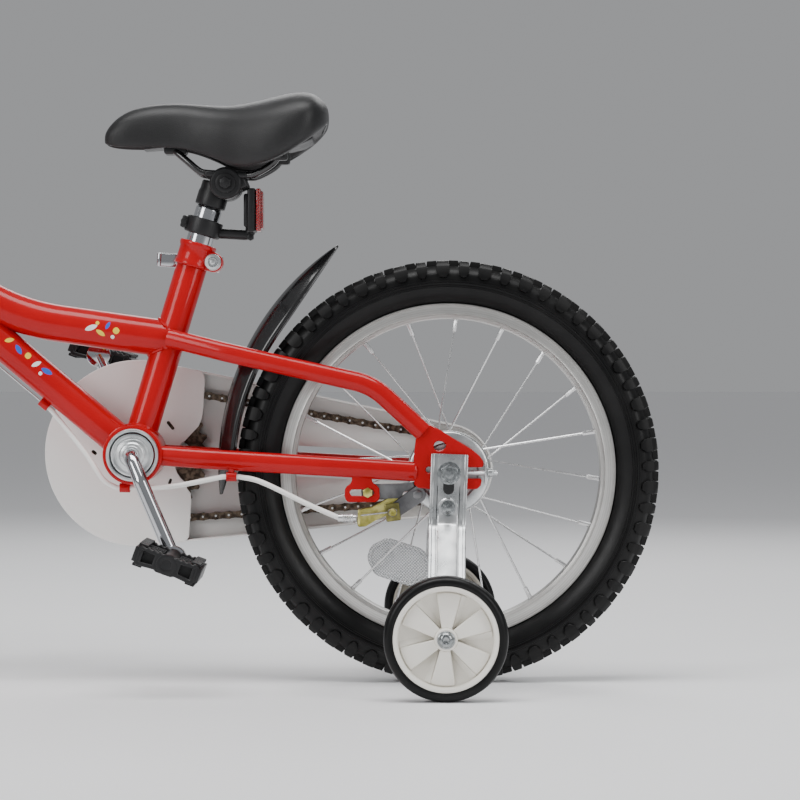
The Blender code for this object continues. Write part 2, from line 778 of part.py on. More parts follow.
def build_frame():
    seat_top = at_seat(seat_tube_length, 0)
    head_low = at_fork(headset_stack)
    head_high = at_fork(headset_stack + head_tube_length)
    solids = [rod(bottom_bracket + left_side * bb_shell_half, bottom_bracket - left_side * bb_shell_half,
                  bb_shell_radius, 16)]
    solids.append(rod(bottom_bracket.copy(), seat_top, seat_tube_radius, 12))
    solids.append(tube(top_tube_route(), top_tube_radius, 3))
    solids.append(tube(down_tube_route(), down_tube_radius, 3))
    solids.append(rod(head_low, head_high, head_tube_radius, 12))
    for side in (-1, 1):
        solids.append(tube(chainstay_route(side), chainstay_height, 2, chainstay_flatness))
        solids.append(tube(seatstay_route(side), seatstay_radius, 2, seatstay_flatness))
        solids.append(dropout(side))
    solids.append(anchor_tab())
    solids.extend(cable_guides())
    solids.append(mudguard_bridge())
    cable_hole = housing_radius + gap * 2
    holes = [hole(bottom_bracket + left_side * (bb_shell_half + 1 * mm),
                  bottom_bracket - left_side * (bb_shell_half + 1 * mm), bb_bore_radius, 12),
             hole(at_seat(seat_tube_length + 1 * mm, 0),
                  at_seat(seat_tube_length - seat_tube_bore_depth, 0), seat_tube_bore, 12),
             hole(head_low - steer_up * mm, head_high + steer_up * mm, head_tube_bore, 12),
             rod(head_low - steer_up * headset_stack, head_low - steer_up * gap / 3,
                 headset_cup_radius * 1.2)]
    for forward in (cable_stop_forward, front_stop_forward):
        place = down_tube_underside(forward, cable_drop)
        reach = down_slope * cable_sleeve_half * 1.2
        holes.append(hole(place - reach, place + reach, cable_hole, 8))
    for clip in (under_bracket_clip, stay_clip):
        holes.append(hole(clip - cable_sleeve * 1.2, clip + cable_sleeve * 1.2, cable_hole, 8))
    bridge = beside_rear_axle(seatstay_bridge_forward, seatstay_bridge_height)
    lean = Vector((math.sin(bridge_slope), 0, math.cos(bridge_slope)))
    holes.append(hole(bridge - lean * 5 * mm, bridge + lean * 5 * mm, 2.5 * mm + gap, 8))
    return make_part("frame", red_paint, solids, holes)


# Bearings that are pressed into the frame
def build_cups():
    for name, side in (("left", -1), ("right", 1)):
        inner_radius = crank_cone_radius + 1.2 * mm
        face = bb_shell_half + gap
        profile = [(inner_radius, face + 3 * mm), (25.3 * mm, face + 3 * mm), (25.8 * mm, face),
                   (bb_bore_radius - gap, face), (bb_bore_radius - gap, face - 9 * mm),
                   (inner_radius, face - 9 * mm)]
        cup = turned(profile, bottom_bracket, Vector((0, side, 0)), 12)
        make_part(f"bottom_bracket_cup_{name}", zinc_plate, [cup])
    cup_sides = 12
    inner_radius = (steerer_radius + gap) / math.cos(math.pi / cup_sides)
    for name, place, direction in (("lower", headset_stack, -1),
                                   ("upper", headset_stack + head_tube_length, 1)):
        profile = [(inner_radius, headset_stack - gap), (headset_cup_radius - 2 * mm, headset_stack - gap),
                   (headset_cup_radius, gap),
                   (head_tube_bore - gap, gap), (head_tube_bore - gap, -headset_skirt),
                   (inner_radius, -headset_skirt)]
        cup = turned(profile, at_fork(place), steer_up * direction, cup_sides)
        make_part(f"headset_cup_{name}", chrome, [cup])


# Wheels
def ring_of(profile, centre, segments=wheel_segments):
    """A wheel's ring from its section of (radius, distance) points, flat where it meets the ground.

    The middle of each flat has the true radius, and the corners lie just outside it.
    """
    half_step = math.pi / segments
    corners = [(radius / math.cos(half_step), distance) for radius, distance in profile]
    return turned(corners, centre, Vector((0, 1, 0)), segments, half_step)


def both_halves(profile):
    """A whole section from its half on the +Y side."""
    return profile + [(radius, -distance) for radius, distance in reversed(profile)]


def build_rim(name, centre):
    half = rim_width / 2
    floor = rim_radius - rim_depth
    bed = rim_radius - rim_lip
    profile = [(floor, half - 2 * mm), (rim_radius, half), (rim_radius, half - rim_wall),
               (bed, half - rim_wall)]
    make_part(f"{name}_rim", alloy, [ring_of(both_halves(profile), centre)], pivot=centre)


def build_tyre(name, centre):
    bed, half = rim_radius - rim_lip, rim_width / 2 - rim_wall
    depth = tyre_radius - rim_radius
    wide = tyre_width / 2
    profile = [(bed + gap, half - gap), (rim_radius + gap, half - gap),
               (rim_radius + depth * 0.5, wide), (tyre_radius, wide * 0.6)]
    make_part(f"{name}_tyre", black_rubber, [ring_of(both_halves(profile), centre)], pivot=centre)


def spoke_line(centre, side, flange_reach, number):
    """The two ends of a spoke: at the hub flange, and where it enters the rim."""
    offset = 0 if side < 0 else math.pi / spokes_per_side
    rim_angle = first_spoke_angle + offset + 2 * math.pi * number / spokes_per_side
    hub_angle = rim_angle + (spoke_turn if number % 2 else -spoke_turn)
    hub_side = side * (flange_reach - spoke_radius - gap)
    rim_inside = rim_radius - rim_depth - 2 * gap
    hub_end = centre + Vector((spoke_circle_radius * math.sin(hub_angle), hub_side,
                               spoke_circle_radius * math.cos(hub_angle)))
    rim_end = centre + Vector((rim_inside * math.sin(rim_angle), side * 3 * mm,
                               rim_inside * math.cos(rim_angle)))
    return hub_end, rim_end


def build_spokes(name, centre, flange_reach):
    """Ten spokes to each flange, each crossing two others."""
    for label, side in (("left", -1), ("right", 1)):
        solids = []
        for number in range(spokes_per_side):
            hub_end, rim_end = spoke_line(centre, side, flange_reach, number)
            solids.append(rod(hub_end, rim_end, spoke_radius, 3))
        make_part(f"{name}_spokes_{label}", chrome, solids, pivot=centre)


def build_front_hub():
    reach = front_flange_reach
    thick = hub_flange_thickness
    bore = axle_radius + hub_running_clearance
    profile = [(bore, reach + thick + 3 * mm), (hub_barrel_radius, reach + thick + 3 * mm),
               (hub_barrel_radius, reach + thick), (hub_flange_radius, reach + thick),
               (hub_flange_radius, reach), (hub_barrel_radius, reach)]
    make_part("front_hub", chrome, [turned(both_halves(profile), front_axle, segments=12)], pivot=front_axle)
    cone_end = front_hub_half - gap
    nut_face = front_hub_half + fork_tip_thickness + gap
    washer_end = nut_face + washer_thickness
    nut_end = washer_end + nut_height
    solids = [cross_rod(front_axle, -(nut_end + axle_tail), nut_end + axle_tail, axle_radius, 8)]
    for side in (-1, 1):
        solids.append(between(front_axle, side, reach + thick + 3.4 * mm, cone_end, cone_radius, 8))
        solids.append(between(front_axle, side, nut_face, washer_end, washer_radius, 8))
        solids.append(between(front_axle, side, washer_end - 0.2 * mm, nut_end, nut_radius, 6))
    make_part("front_axle", zinc_plate, solids)


def between(centre, side, near, far, radius, sides=16):
    """A round bar across the bike on one side of its middle."""
    low, high = sorted((side * near, side * far))
    return cross_rod(centre, low, high, radius, sides)


def build_rear_hub():
    bore = axle_radius + hub_running_clearance
    reach = rear_flange_reach
    profile = [(bore, thread_end), (hub_thread_radius, thread_end), (hub_thread_radius, hub_end_left),
               (hub_flange_radius, hub_end_left), (hub_flange_radius, reach), (hub_barrel_radius, reach),
               (hub_barrel_radius, -reach), (hub_flange_radius, -reach),
               (hub_flange_radius, -hub_end_left), (hub_barrel_radius, -hub_end_left),
               (hub_barrel_radius, -drum_near), (drum_radius, -drum_near),
               (drum_radius, -(drum_near + drum_width)), (bore, -(drum_near + drum_width))]
    make_part("rear_hub", zinc_plate, [turned(profile, rear_axle, segments=12)], pivot=rear_axle)
    nut_end = rear_nut_face + washer_thickness + nut_height
    solids = [cross_rod(rear_axle, -(nut_end + axle_tail), nut_end + axle_tail, axle_radius, 8)]
    for side in (-1, 1):
        inside = thread_end + gap if side > 0 else drum_near + drum_width + gap
        solids.append(between(rear_axle, side, inside, rear_hub_half - gap, cone_radius, 8))
        washer_end = rear_nut_face + washer_thickness
        solids.append(between(rear_axle, side, rear_nut_face, washer_end, washer_radius, 8))
        solids.append(between(rear_axle, side, washer_end - 0.2 * mm, nut_end, nut_radius, 6))
    solids.append(between(rear_axle, -1, -brake_face + gap, rear_hub_half - gap, 12 * mm, 10))
    make_part("rear_axle", zinc_plate, solids)


def build_spoke_reflector():
    """A clear reflector between the spokes, clipped to two of the left ones."""
    middle_angle = math.radians(208)
    middle = rear_axle + Vector((math.sin(middle_angle), 0, math.cos(middle_angle))) * 100 * mm
    tilt = math.radians(-12)
    half_long, half_tall, corner = 31 * mm, 19 * mm, 14 * mm
    shape = [(-half_long, -4 * mm), (-half_long + corner, -half_tall), (half_long - corner, -half_tall),
             (half_long, -4 * mm), (half_long, 4 * mm), (half_long - corner, half_tall),
             (-half_long + corner, half_tall), (-half_long, 4 * mm)]
    outline = [(middle.x + x * math.cos(tilt) - z * math.sin(tilt),
                middle.z + x * math.sin(tilt) + z * math.cos(tilt)) for x, z in shape]
    half = 4 * mm
    solids = [side_plate([outline], -half, half)]
    for number in (5, 6):
        hub_end, rim_end = spoke_line(rear_axle, -1, rear_flange_reach, number)
        for share in (0.56, 0.66):
            point = hub_end.lerp(rim_end, share)
            along = abs((point - middle).dot(Vector((math.cos(tilt), 0, math.sin(tilt)))))
            across = abs((point - middle).dot(Vector((-math.sin(tilt), 0, math.cos(tilt)))))
            if along < half_long - 6 * mm and across < half_tall - 3 * mm:
                solids.append(cross_rod(point, point.y + spoke_radius + gap * 3, 0, 2.5 * mm, 8))
    make_part("spoke_reflector", clear_lens, solids, pivot=rear_axle)


def build_wheels():
    for name, centre, reach in (("front", front_axle, front_flange_reach),
                                ("rear", rear_axle, rear_flange_reach)):
        build_tyre(name, centre)
        build_rim(name, centre)
        build_spokes(name, centre, reach)
    build_front_hub()
    build_rear_hub()
    build_spoke_reflector()


# Drive
def chain_points(extra=0.0):
    """The pins of the chain, in order, each moved outwards from its sprocket's centre by extra."""
    points = []
    for step in range(links_round_chainring + 1):
        angle = math.pi + (step - links_round_chainring / 2) * 2 * math.pi / chainring_teeth
        points.append(on_drive_line(0, angle, chainring_radius + extra))
    for step in range(links_round_freewheel + 1):
        angle = (step - links_round_freewheel / 2) * 2 * math.pi / freewheel_teeth
        points.append(on_drive_line(chainstay_length, angle, freewheel_radius + extra))
    return points


def on_drive_line(along, angle, radius):
    """A point about a place on the line from the bottom bracket to the rear axle."""
    x, z = along + radius * math.cos(angle), radius * math.sin(angle)
    turn, tilt = math.cos(chain_angle), math.sin(chain_angle)
    return (bottom_bracket.x + x * turn - z * tilt, bottom_bracket.z + x * tilt + z * turn)


def build_chain():
    """The closed loop of the chain: a band with the channel that the teeth run in."""
    reach = chain_inner_width / 2
    outer = chain_points(chain_link_height / 2)
    inner = chain_points(-chain_link_height / 2)
    wide = reach + chain_plate_thickness
    band = side_plate([outer, inner], chain_line - wide, chain_line + wide)
    roof = chain_points(chain_channel_height)
    below = chain_points(-chain_link_height)
    channel = side_plate([roof, below], chain_line - reach, chain_line + reach)
    make_part("chain", dark_steel, [band], [channel])


def tooth_outline(centre_along, teeth, radius, phase):
    """A sprocket's edge: a valley at each roller, with a tapered tooth between."""
    floor = radius - roller_radius - gap * 2
    tip = radius + tooth_tip_height
    pitch = 2 * math.pi / teeth
    points = []
    for number in range(teeth):
        valley = phase + number * pitch
        for share, distance in ((0, floor), (0.5, tip)):
            points.append(on_drive_line(centre_along, valley + share * pitch, distance))
    return points


def build_sprockets():
    phase = math.pi - links_round_chainring * math.pi / chainring_teeth
    edge = tooth_outline(0, chainring_teeth, chainring_radius, phase)
    outlines = [edge, circle(bottom_bracket, chainring_seat_radius + gap, 12)]
    half = sprocket_thickness / 2
    ring = side_plate(outlines, chain_line - half, chain_line + half)
    make_part("chainring", dark_steel, [ring], pivot=bottom_bracket)
    phase = -links_round_freewheel * math.pi / freewheel_teeth
    edge = tooth_outline(chainstay_length, freewheel_teeth, freewheel_radius, phase)
    half_step = math.pi / 12
    bore = (hub_thread_radius + gap) / math.cos(half_step) ** 2
    outlines = [edge, circle(rear_axle, bore, 12, half_step)]
    solids = [side_plate(outlines, chain_line - half, chain_line + half)]
    body_end = chain_line - half + 0.5 * mm
    body = [(bore, body_end), (freewheel_body_radius, body_end),
            (freewheel_body_radius, body_end - freewheel_body_length),
            (bore, body_end - freewheel_body_length)]
    solids.append(turned(body, rear_axle, Vector((0, 1, 0)), 12, half_step))
    make_part("freewheel", dark_steel, solids, pivot=rear_axle)


def crank_route():
    """One bent bar: left pedal eye, through the bottom bracket, to the right pedal eye."""
    def on_arm(distance, side):
        return bottom_bracket + left_arm * distance + Vector((0, side, 0))
    left = [on_arm(crank_length, -left_crank_reach), on_arm(crank_length * 0.25, -left_crank_bend - 20 * mm),
            on_arm(0, -left_crank_bend - 8 * mm)]
    right = [on_arm(0, right_crank_bend + 6 * mm), on_arm(-crank_length * 0.25, right_crank_bend + 14 * mm),
             on_arm(-crank_length, right_crank_reach)]
    return rounded(left + right, 16 * mm, 2)


def build_crank():
    solids = [tube(crank_route(), crank_radius, 2)]
    for side, reach, sign in ((-1, left_crank_reach, 1), (1, right_crank_reach, -1)):
        eye = bottom_bracket + left_arm * crank_length * sign
        near = reach - crank_eye_thickness / 2
        far = reach + crank_eye_thickness / 2
        solids.append(between(eye, side, near, far, crank_eye_radius, 10))
        solids.append(between(eye, side, far - 1 * mm, far + pedal_spindle_length, pedal_spindle_radius, 8))
    face = bb_shell_half + gap
    solids.append(between(bottom_bracket, -1, face - 6 * mm, face + 2 * mm, crank_cone_radius, 12))
    solids.append(between(bottom_bracket, -1, face + 1 * mm, face + 5 * mm, crank_cone_radius - 5 * mm, 10))
    solids.append(between(bottom_bracket, 1, face - 6 * mm, face + 2 * mm, crank_cone_radius, 12))
    seat_end = chain_line + sprocket_thickness / 2 + 2.5 * mm
    solids.append(between(bottom_bracket, 1, face + 1 * mm, seat_end, chainring_seat_radius, 12))
    solids.append(between(bottom_bracket, 1, chain_line + sprocket_thickness / 2 + gap, seat_end,
                          chainring_seat_radius + 4 * mm, 12))
    make_part("crank", chrome, solids, pivot=bottom_bracket)


def build_pedal(name, side, reach, sign):
    """Two ribbed treads joined by end caps and a barrel that turns on the spindle."""
    centre = bottom_bracket + left_arm * crank_length * sign
    near = reach + crank_eye_thickness / 2 + pedal_clearance
    far = near + pedal_width
    middle = Vector((centre.x, side * (near + far) / 2, centre.z))
    turn = Matrix.Rotation(pedal_tilt, 3, "Y")
    along = turn @ Vector((1, 0, 0))
    solids = [between(centre, side, near, far, pedal_barrel_radius, 10)]
    for direction in (-1, 1):
        tread = middle + along * direction * (pedal_length - pedal_tread_length) / 2
        solids.append(box(tread, (pedal_tread_length, pedal_width, pedal_height), turn))
    for place in (near + pedal_cap_thickness / 2, far - pedal_cap_thickness / 2):
        cap = Vector((centre.x, side * place, centre.z))
        size = (pedal_length - 4 * mm, pedal_cap_thickness - 0.6 * mm, pedal_height - 3 * mm)
        solids.append(box(cap, size, turn))
    low, high = sorted((side * (near - 2 * mm), side * (near + pedal_spindle_length)))
    bore = cross_hole(centre, low, high, pedal_spindle_radius + gap, 8)
    make_part(name, black_plastic, solids, [bore], pivot=centre)


# Chain case
def case_outline(shrink):
    """Two circles, round the chainring and the freewheel, joined by their outer tangents."""
    front, rear = case_front_radius - shrink, case_rear_radius - shrink
    spread = math.acos((front - rear) / chainstay_length)
    points = []
    front_steps, rear_steps = 15, 7
    for step in range(front_steps + 1):
        angle = spread + (2 * math.pi - 2 * spread) * step / front_steps
        points.append(on_drive_line(0, angle, front))
    for step in range(rear_steps + 1):
        angle = -spread + 2 * spread * step / rear_steps
        points.append(on_drive_line(chainstay_length, angle, rear))
    return points


def build_chain_case():
    shell = side_plate([case_outline(0)], case_inner_face, case_outer_face)
    inside = side_plate([case_outline(case_wall)], case_inner_face - 5 * mm, case_outer_face - case_wall)
    crank_hole = cross_rod(bottom_bracket, case_inner_face, case_outer_face + 5 * mm, case_crank_hole, 16)
    half = stay_window_half
    window = [on_drive_line(chainstay_length - stay_window_length, math.pi * (0.5 + i / 4), half)
              for i in range(5)]
    window += [on_drive_line(chainstay_length, math.pi * (i / 4 - 0.5), half) for i in range(5)]
    stay_window = side_plate([window], case_outer_face - case_wall - 5 * mm, case_outer_face + 5 * mm)
    make_part("chain_guard", white_plastic, [shell], [inside, crank_hole, stay_window])
    cover = side_plate([case_outline(0)], case_inner_face - gap - cover_thickness, case_inner_face - gap)
    far = case_rear_radius * 4
    beyond = box(bottom_bracket + Vector((cover_back + far, case_inner_face, -20 * mm)),
                 (far * 2, 20 * mm, far * 2))
    hub_hole = cross_rod(bottom_bracket, case_inner_face - 10 * mm, case_inner_face + 5 * mm,
                         26.4 * mm, 16)
    notch_centre = bottom_bracket + Vector((cover_back, 0, -5 * mm))
    notch = cross_rod(notch_centre, case_inner_face - 10 * mm, case_inner_face + 5 * mm, 25 * mm, 16)
    make_part("chain_guard_inner_cover", white_plastic, [cover], [beyond, hub_hole, notch])


# Band brake and its cable
def build_band_brake():
    wall_start = brake_plane + brake_cover_depth
    bore = cone_radius + 0.5 * mm
    profile = [(bore, brake_face), (brake_cover_radius - 2 * mm, brake_face),
               (brake_cover_radius, brake_face + 2 * mm), (brake_cover_radius, wall_start),
               (brake_cover_radius - brake_cover_wall, wall_start),
               (brake_cover_radius - brake_cover_wall, brake_plane), (bore, brake_plane)]
    solids = [turned(profile, rear_axle, Vector((0, 1, 0)), 16)]
    inner = brake_plane + 0.5 * mm
    x, z = anchor_bolt.x, anchor_bolt.z
    arm = [(x - 6 * mm, z - 5 * mm), (x + 2 * mm, z - 7 * mm), (x + 48 * mm, z - 5 * mm),
           (x + 52 * mm, z + 12 * mm), (x + 30 * mm, z + 9 * mm), (x - 2 * mm, z + 7 * mm),
           (x - 7 * mm, z + 3 * mm)]
    solids.append(side_plate([arm], brake_face, inner))
    solids.append(cross_rod(anchor_bolt, anchor_plane - anchor_tab_thickness - 2 * mm, inner, 2.4 * mm, 8))
    solids.append(cross_rod(anchor_bolt, anchor_plane - anchor_tab_thickness - 3.5 * mm,
                            anchor_plane - anchor_tab_thickness - gap, 5 * mm, 6))
    foot = beside_rear_axle(36 * mm, -26 * mm)
    strap = [(foot.x, foot.z + 4 * mm), (foot.x + 6 * mm, foot.z - 5 * mm),
             (cable_tab.x - 1 * mm, cable_tab.z - 6 * mm), (cable_tab.x - 2 * mm, cable_tab.z + 6 * mm)]
    solids.append(side_plate([strap], brake_face, inner))
    depth = inner - cable_end.y + 6 * mm
    tab = Vector((cable_tab.x, inner - depth / 2, cable_tab.z))
    solids.append(box(tab, (cable_tab_thickness, depth, 13 * mm)))
    wire_hole = rod(cable_end, cable_end + cable_pull * 40 * mm, wire_radius + gap * 2, 6)
    make_part("band_brake_housing", zinc_plate, solids, [wire_hole])


def build_brake_arm():
    """The lever that pulls the brake band tight, with the bolt that grips the cable."""
    low = lever_plane - brake_lever_plate / 2
    high = lever_plane + brake_lever_plate / 2
    along = (cable_anchor - brake_pivot).normalized()
    across = Vector((-along.z, 0, along.x))
    outline = []
    for angle in range(-90, 91, 30):
        spot = brake_pivot - along * 8 * mm * math.cos(math.radians(angle)) \
            + across * 8 * mm * math.sin(math.radians(angle))
        outline.append((spot.x, spot.z))
    for angle in range(90, -91, -30):
        spot = cable_anchor + along * 8 * mm * math.cos(math.radians(angle)) \
            + across * 8 * mm * math.sin(math.radians(angle))
        outline.append((spot.x, spot.z))
    solids = [side_plate([outline], low, high)]
    solids.append(cross_rod(brake_pivot, low - 3 * mm, low + 1 * mm, 5 * mm, 6))
    solids.append(cross_rod(cable_anchor, low - 7 * mm, low + 1 * mm, 4.5 * mm, 6))
    make_part("brake_arm", dark_steel, solids, pivot=brake_pivot)


def rear_cable_route():
    """Housing from the down tube's stop, under the bottom bracket and along the left chainstay.

    It runs straight through each sleeve and in smooth bends between them.
    """
    start = down_tube_underside(cable_stop_forward, cable_drop)
    guard = cable_sleeve * 1.6
    bends = [[start - down_slope * 8 * mm, bottom_bracket + Vector((-48 * mm, -12 * mm, 3 * mm)),
              bottom_bracket + Vector((-29 * mm, -21 * mm, -23.5 * mm)), under_bracket_clip - guard],
             [under_bracket_clip + guard, bottom_bracket + Vector((38 * mm, -30 * mm, -30 * mm)),
              stay_clip - guard],
             [stay_clip + guard, stay_clip + Vector((30 * mm, -12 * mm, -5 * mm)),
              cable_end - Vector((30 * mm, -2 * mm, -13 * mm)), cable_end.copy()]]
    route = [start + down_slope * 4 * mm]
    for bend in bends:
        route.extend(smooth(bend, 3))
    return route


def build_cables():
    solids = [tube(rear_cable_route(), housing_radius, 2)]
    front = down_tube_underside(front_stop_forward, cable_drop)
    start = down_tube_underside(cable_stop_forward, cable_drop)
    solids.append(rod(start, front - down_slope * 2 * mm, wire_radius, 6))
    face = cable_tab - Vector((cable_tab_thickness / 2 + gap, 0, 0))
    solids.append(rod(cable_end, Vector((face.x - 1 * mm, cable_end.y, face.z)), cable_barrel_radius, 8))
    solids.append(rod(cable_end, cable_grip, wire_radius, 6))
    make_part("rear_brake_cable", white_plastic, solids)


# Training wheels
def build_training_side(name, side):
    lean = Matrix.Translation(rear_axle) @ Matrix.Rotation(training_lean, 4, "Y") \
        @ Matrix.Translation(-rear_axle)
    inner = bracket_face
    middle = inner + bracket_thickness / 2
    foot_outer = training_track_half - training_width / 2 - 3 * mm
    foot = foot_outer - bracket_thickness / 2
    axle_drop = rear_axle.z - training_radius
    top = rear_axle.z + bracket_top
    bend = rear_axle.z - bracket_bend_drop
    foot_top = training_radius + bracket_foot
    foot_low = training_radius - bracket_foot
    line = [(side * middle, top), (side * middle, bend), (side * foot, foot_top), (side * foot, foot_low)]
    half = bracket_width / 2
    web_half = bracket_web_width / 2
    solids = [cross_plate(strip(line, bracket_thickness), rear_axle.x - half, rear_axle.x + half)]
    lift = bracket_web_height
    web = [(side * (middle + lift * 0.5), bend + 14 * mm), (side * (middle + lift), bend + 2 * mm),
           (side * (foot + lift * 0.4), foot_top + 6 * mm)]
    solids.append(cross_plate(strip(web, bracket_thickness + lift * 0.6), rear_axle.x - web_half,
                              rear_axle.x + web_half))
    wheel_centre = Vector((rear_axle.x, 0, rear_axle.z - axle_drop))
    hub_near = training_track_half - training_width / 2 - 1 * mm
    hub_far = training_track_half + training_width / 2 + 1 * mm
    solids.append(between(wheel_centre, side, foot - 6 * mm, hub_far + 5 * mm, training_bolt_radius, 8))
    solids.append(between(wheel_centre, side, foot, hub_near - gap, 7.5 * mm, 10))
    solids.append(between(wheel_centre, side, hub_far + gap, hub_far + 6 * mm, 7.5 * mm, 6))
    solids.append(between(wheel_centre, side, foot_outer - bracket_thickness - 6 * mm,
                          foot_outer - bracket_thickness + 1 * mm, 7 * mm, 6))
    boss = beside_rear_axle(0, -33 * mm)
    solids.append(between(boss, side, inner + 1 * mm, inner + bracket_thickness + 6 * mm, 8 * mm, 10))
    solids.append(between(boss, side, inner - 4 * mm, inner + 1 * mm, 6 * mm, 6))
    slot_low = -19 * mm
    reach = 15 * mm
    outline = arc(beside_rear_axle(0, 0), axle_radius + 0.5 * mm, 0, math.pi, 4) \
        + arc(beside_rear_axle(0, slot_low), axle_radius + 0.5 * mm, math.pi, 2 * math.pi, 4)
    near, far = sorted((side * (inner - reach), side * (inner + reach)))
    slot = side_plate([outline], near, far)
    for piece in solids:
        piece.data.transform(lean)
    make_part(f"training_bracket_{name}", zinc_plate, solids, [slot])
    centre = lean @ wheel_centre
    centre.y = 0
    build_training_wheel(name, side, centre)


def build_training_wheel(name, side, centre):
    half = training_width / 2
    bore = training_bolt_radius + gap
    rim = training_rim_radius
    profile = [(bore, half + 1 * mm), (training_hub_radius, half + 1 * mm),
               (training_hub_radius + 1 * mm, training_web_half), (rim - 5 * mm, training_web_half),
               (rim, half)]
    middle = centre + Vector((0, side * training_track_half, 0))
    wheel = ring_of(both_halves(profile), middle, training_segments)
    make_part(f"training_wheel_{name}", white_plastic, [wheel], pivot=centre)
    inner = rim + gap
    section = [(inner, half - 1 * mm), (inner + 4 * mm, half), (training_radius, half - 5 * mm)]
    tyre = ring_of(both_halves(section), middle, training_segments)
    make_part(f"training_tyre_{name}", black_rubber, [tyre], pivot=centre)


# Rear fittings
def build_chain_adjusters():
    """A plate on the axle with a threaded tail and a stop cap behind the fork end."""
    for name, side in (("left", -1), ("right", 1)):
        near = rear_hub_half + dropout_thickness + gap
        eye = between(rear_axle, side, near, near + adjuster_thickness, 11 * mm, 12)
        tail_side = side * (near + adjuster_thickness - 2.5 * mm)
        tail = rod(Vector((rear_axle.x + 8 * mm, tail_side, rear_axle.z)),
                   Vector((rear_axle.x + 46 * mm, tail_side, rear_axle.z)), 2.4 * mm, 6)
        cap = box(Vector((rear_axle.x + 35 * mm, side * (near - 3 * mm), rear_axle.z)),
                  (2.4 * mm, 11 * mm, 22 * mm))
        nut = rod(Vector((rear_axle.x + 35.5 * mm, tail_side, rear_axle.z)),
                  Vector((rear_axle.x + 41 * mm, tail_side, rear_axle.z)), 4.6 * mm, 6)
        bore = between(rear_axle, side, near - 5 * mm, near + 5 * mm, axle_radius + gap * 2, 10)
        make_part(f"chain_adjuster_{name}", zinc_plate, [eye, tail, cap, nut], [bore])


def build_mudguard():
    """An arched blade in front of the rear tyre, with the strap and bolt that hold it."""
    centre = beside_rear_axle(-mudguard_back, mudguard_up)
    along_steps, across_steps = 8, 4
    work = bmesh.new()
    bmesh.ops.create_grid(work, x_segments=along_steps, y_segments=across_steps, size=1.0)
    for vert in work.verts:
        along = (vert.co.x + 1) / 2
        across = vert.co.y
        angle = mudguard_low_angle + (mudguard_high_angle - mudguard_low_angle) * along
        narrow = 1 - 0.62 * max(along - 0.55, 0) / 0.45 - 0.35 * max(0.2 - along, 0) / 0.2
        half = mudguard_width / 2 * narrow
        sink = mudguard_crown * narrow * across ** 2
        radius = mudguard_radius - sink
        vert.co = Vector((centre.x + radius * math.cos(angle), half * across,
                          centre.z + radius * math.sin(angle)))
    blade = mesh_from(work)
    solidify = blade.modifiers.new("wall", "SOLIDIFY")
    solidify.thickness = mudguard_thickness
    solidify.offset = 0
    blade = made_mesh(blade)
    bridge = beside_rear_axle(seatstay_bridge_forward, seatstay_bridge_height)
    back = Vector((math.cos(bridge_slope), 0, -math.sin(bridge_slope)))
    lean = Vector((math.sin(bridge_slope), 0, math.cos(bridge_slope)))
    strap_base = bridge + lean * (bridge_thickness / 2 + gap + 1 * mm)
    turn = Matrix.Rotation(bridge_slope, 3, "Y")
    strap = box(strap_base + back * 5 * mm, (30 * mm, 16 * mm, 2 * mm), turn)
    bolt = rod(bridge - lean * 7 * mm, bridge + lean * 8 * mm, 2.5 * mm, 10)
    head = rod(strap_base, strap_base + lean * 5 * mm, 5 * mm, 6)
    nut = rod(bridge - lean * 7 * mm, bridge - lean * (bridge_thickness / 2 + gap), 5 * mm, 6)
    make_part("rear_mudguard", black_plastic, [blade, strap, bolt, head, nut])


# Steering
def fork_leg_points(side):
    low = -fork_length + 20 * mm
    return [at_fork(low, fork_offset - 3 * mm, side * (front_hub_half + 3 * mm)),
            at_fork(low * 0.72, fork_offset * 0.28, side * (fork_spread + 3 * mm)),
            at_fork(low * 0.45, 0, side * fork_spread),
            at_fork(-fork_shoulder_drop, 0, side * fork_spread * 0.97)]


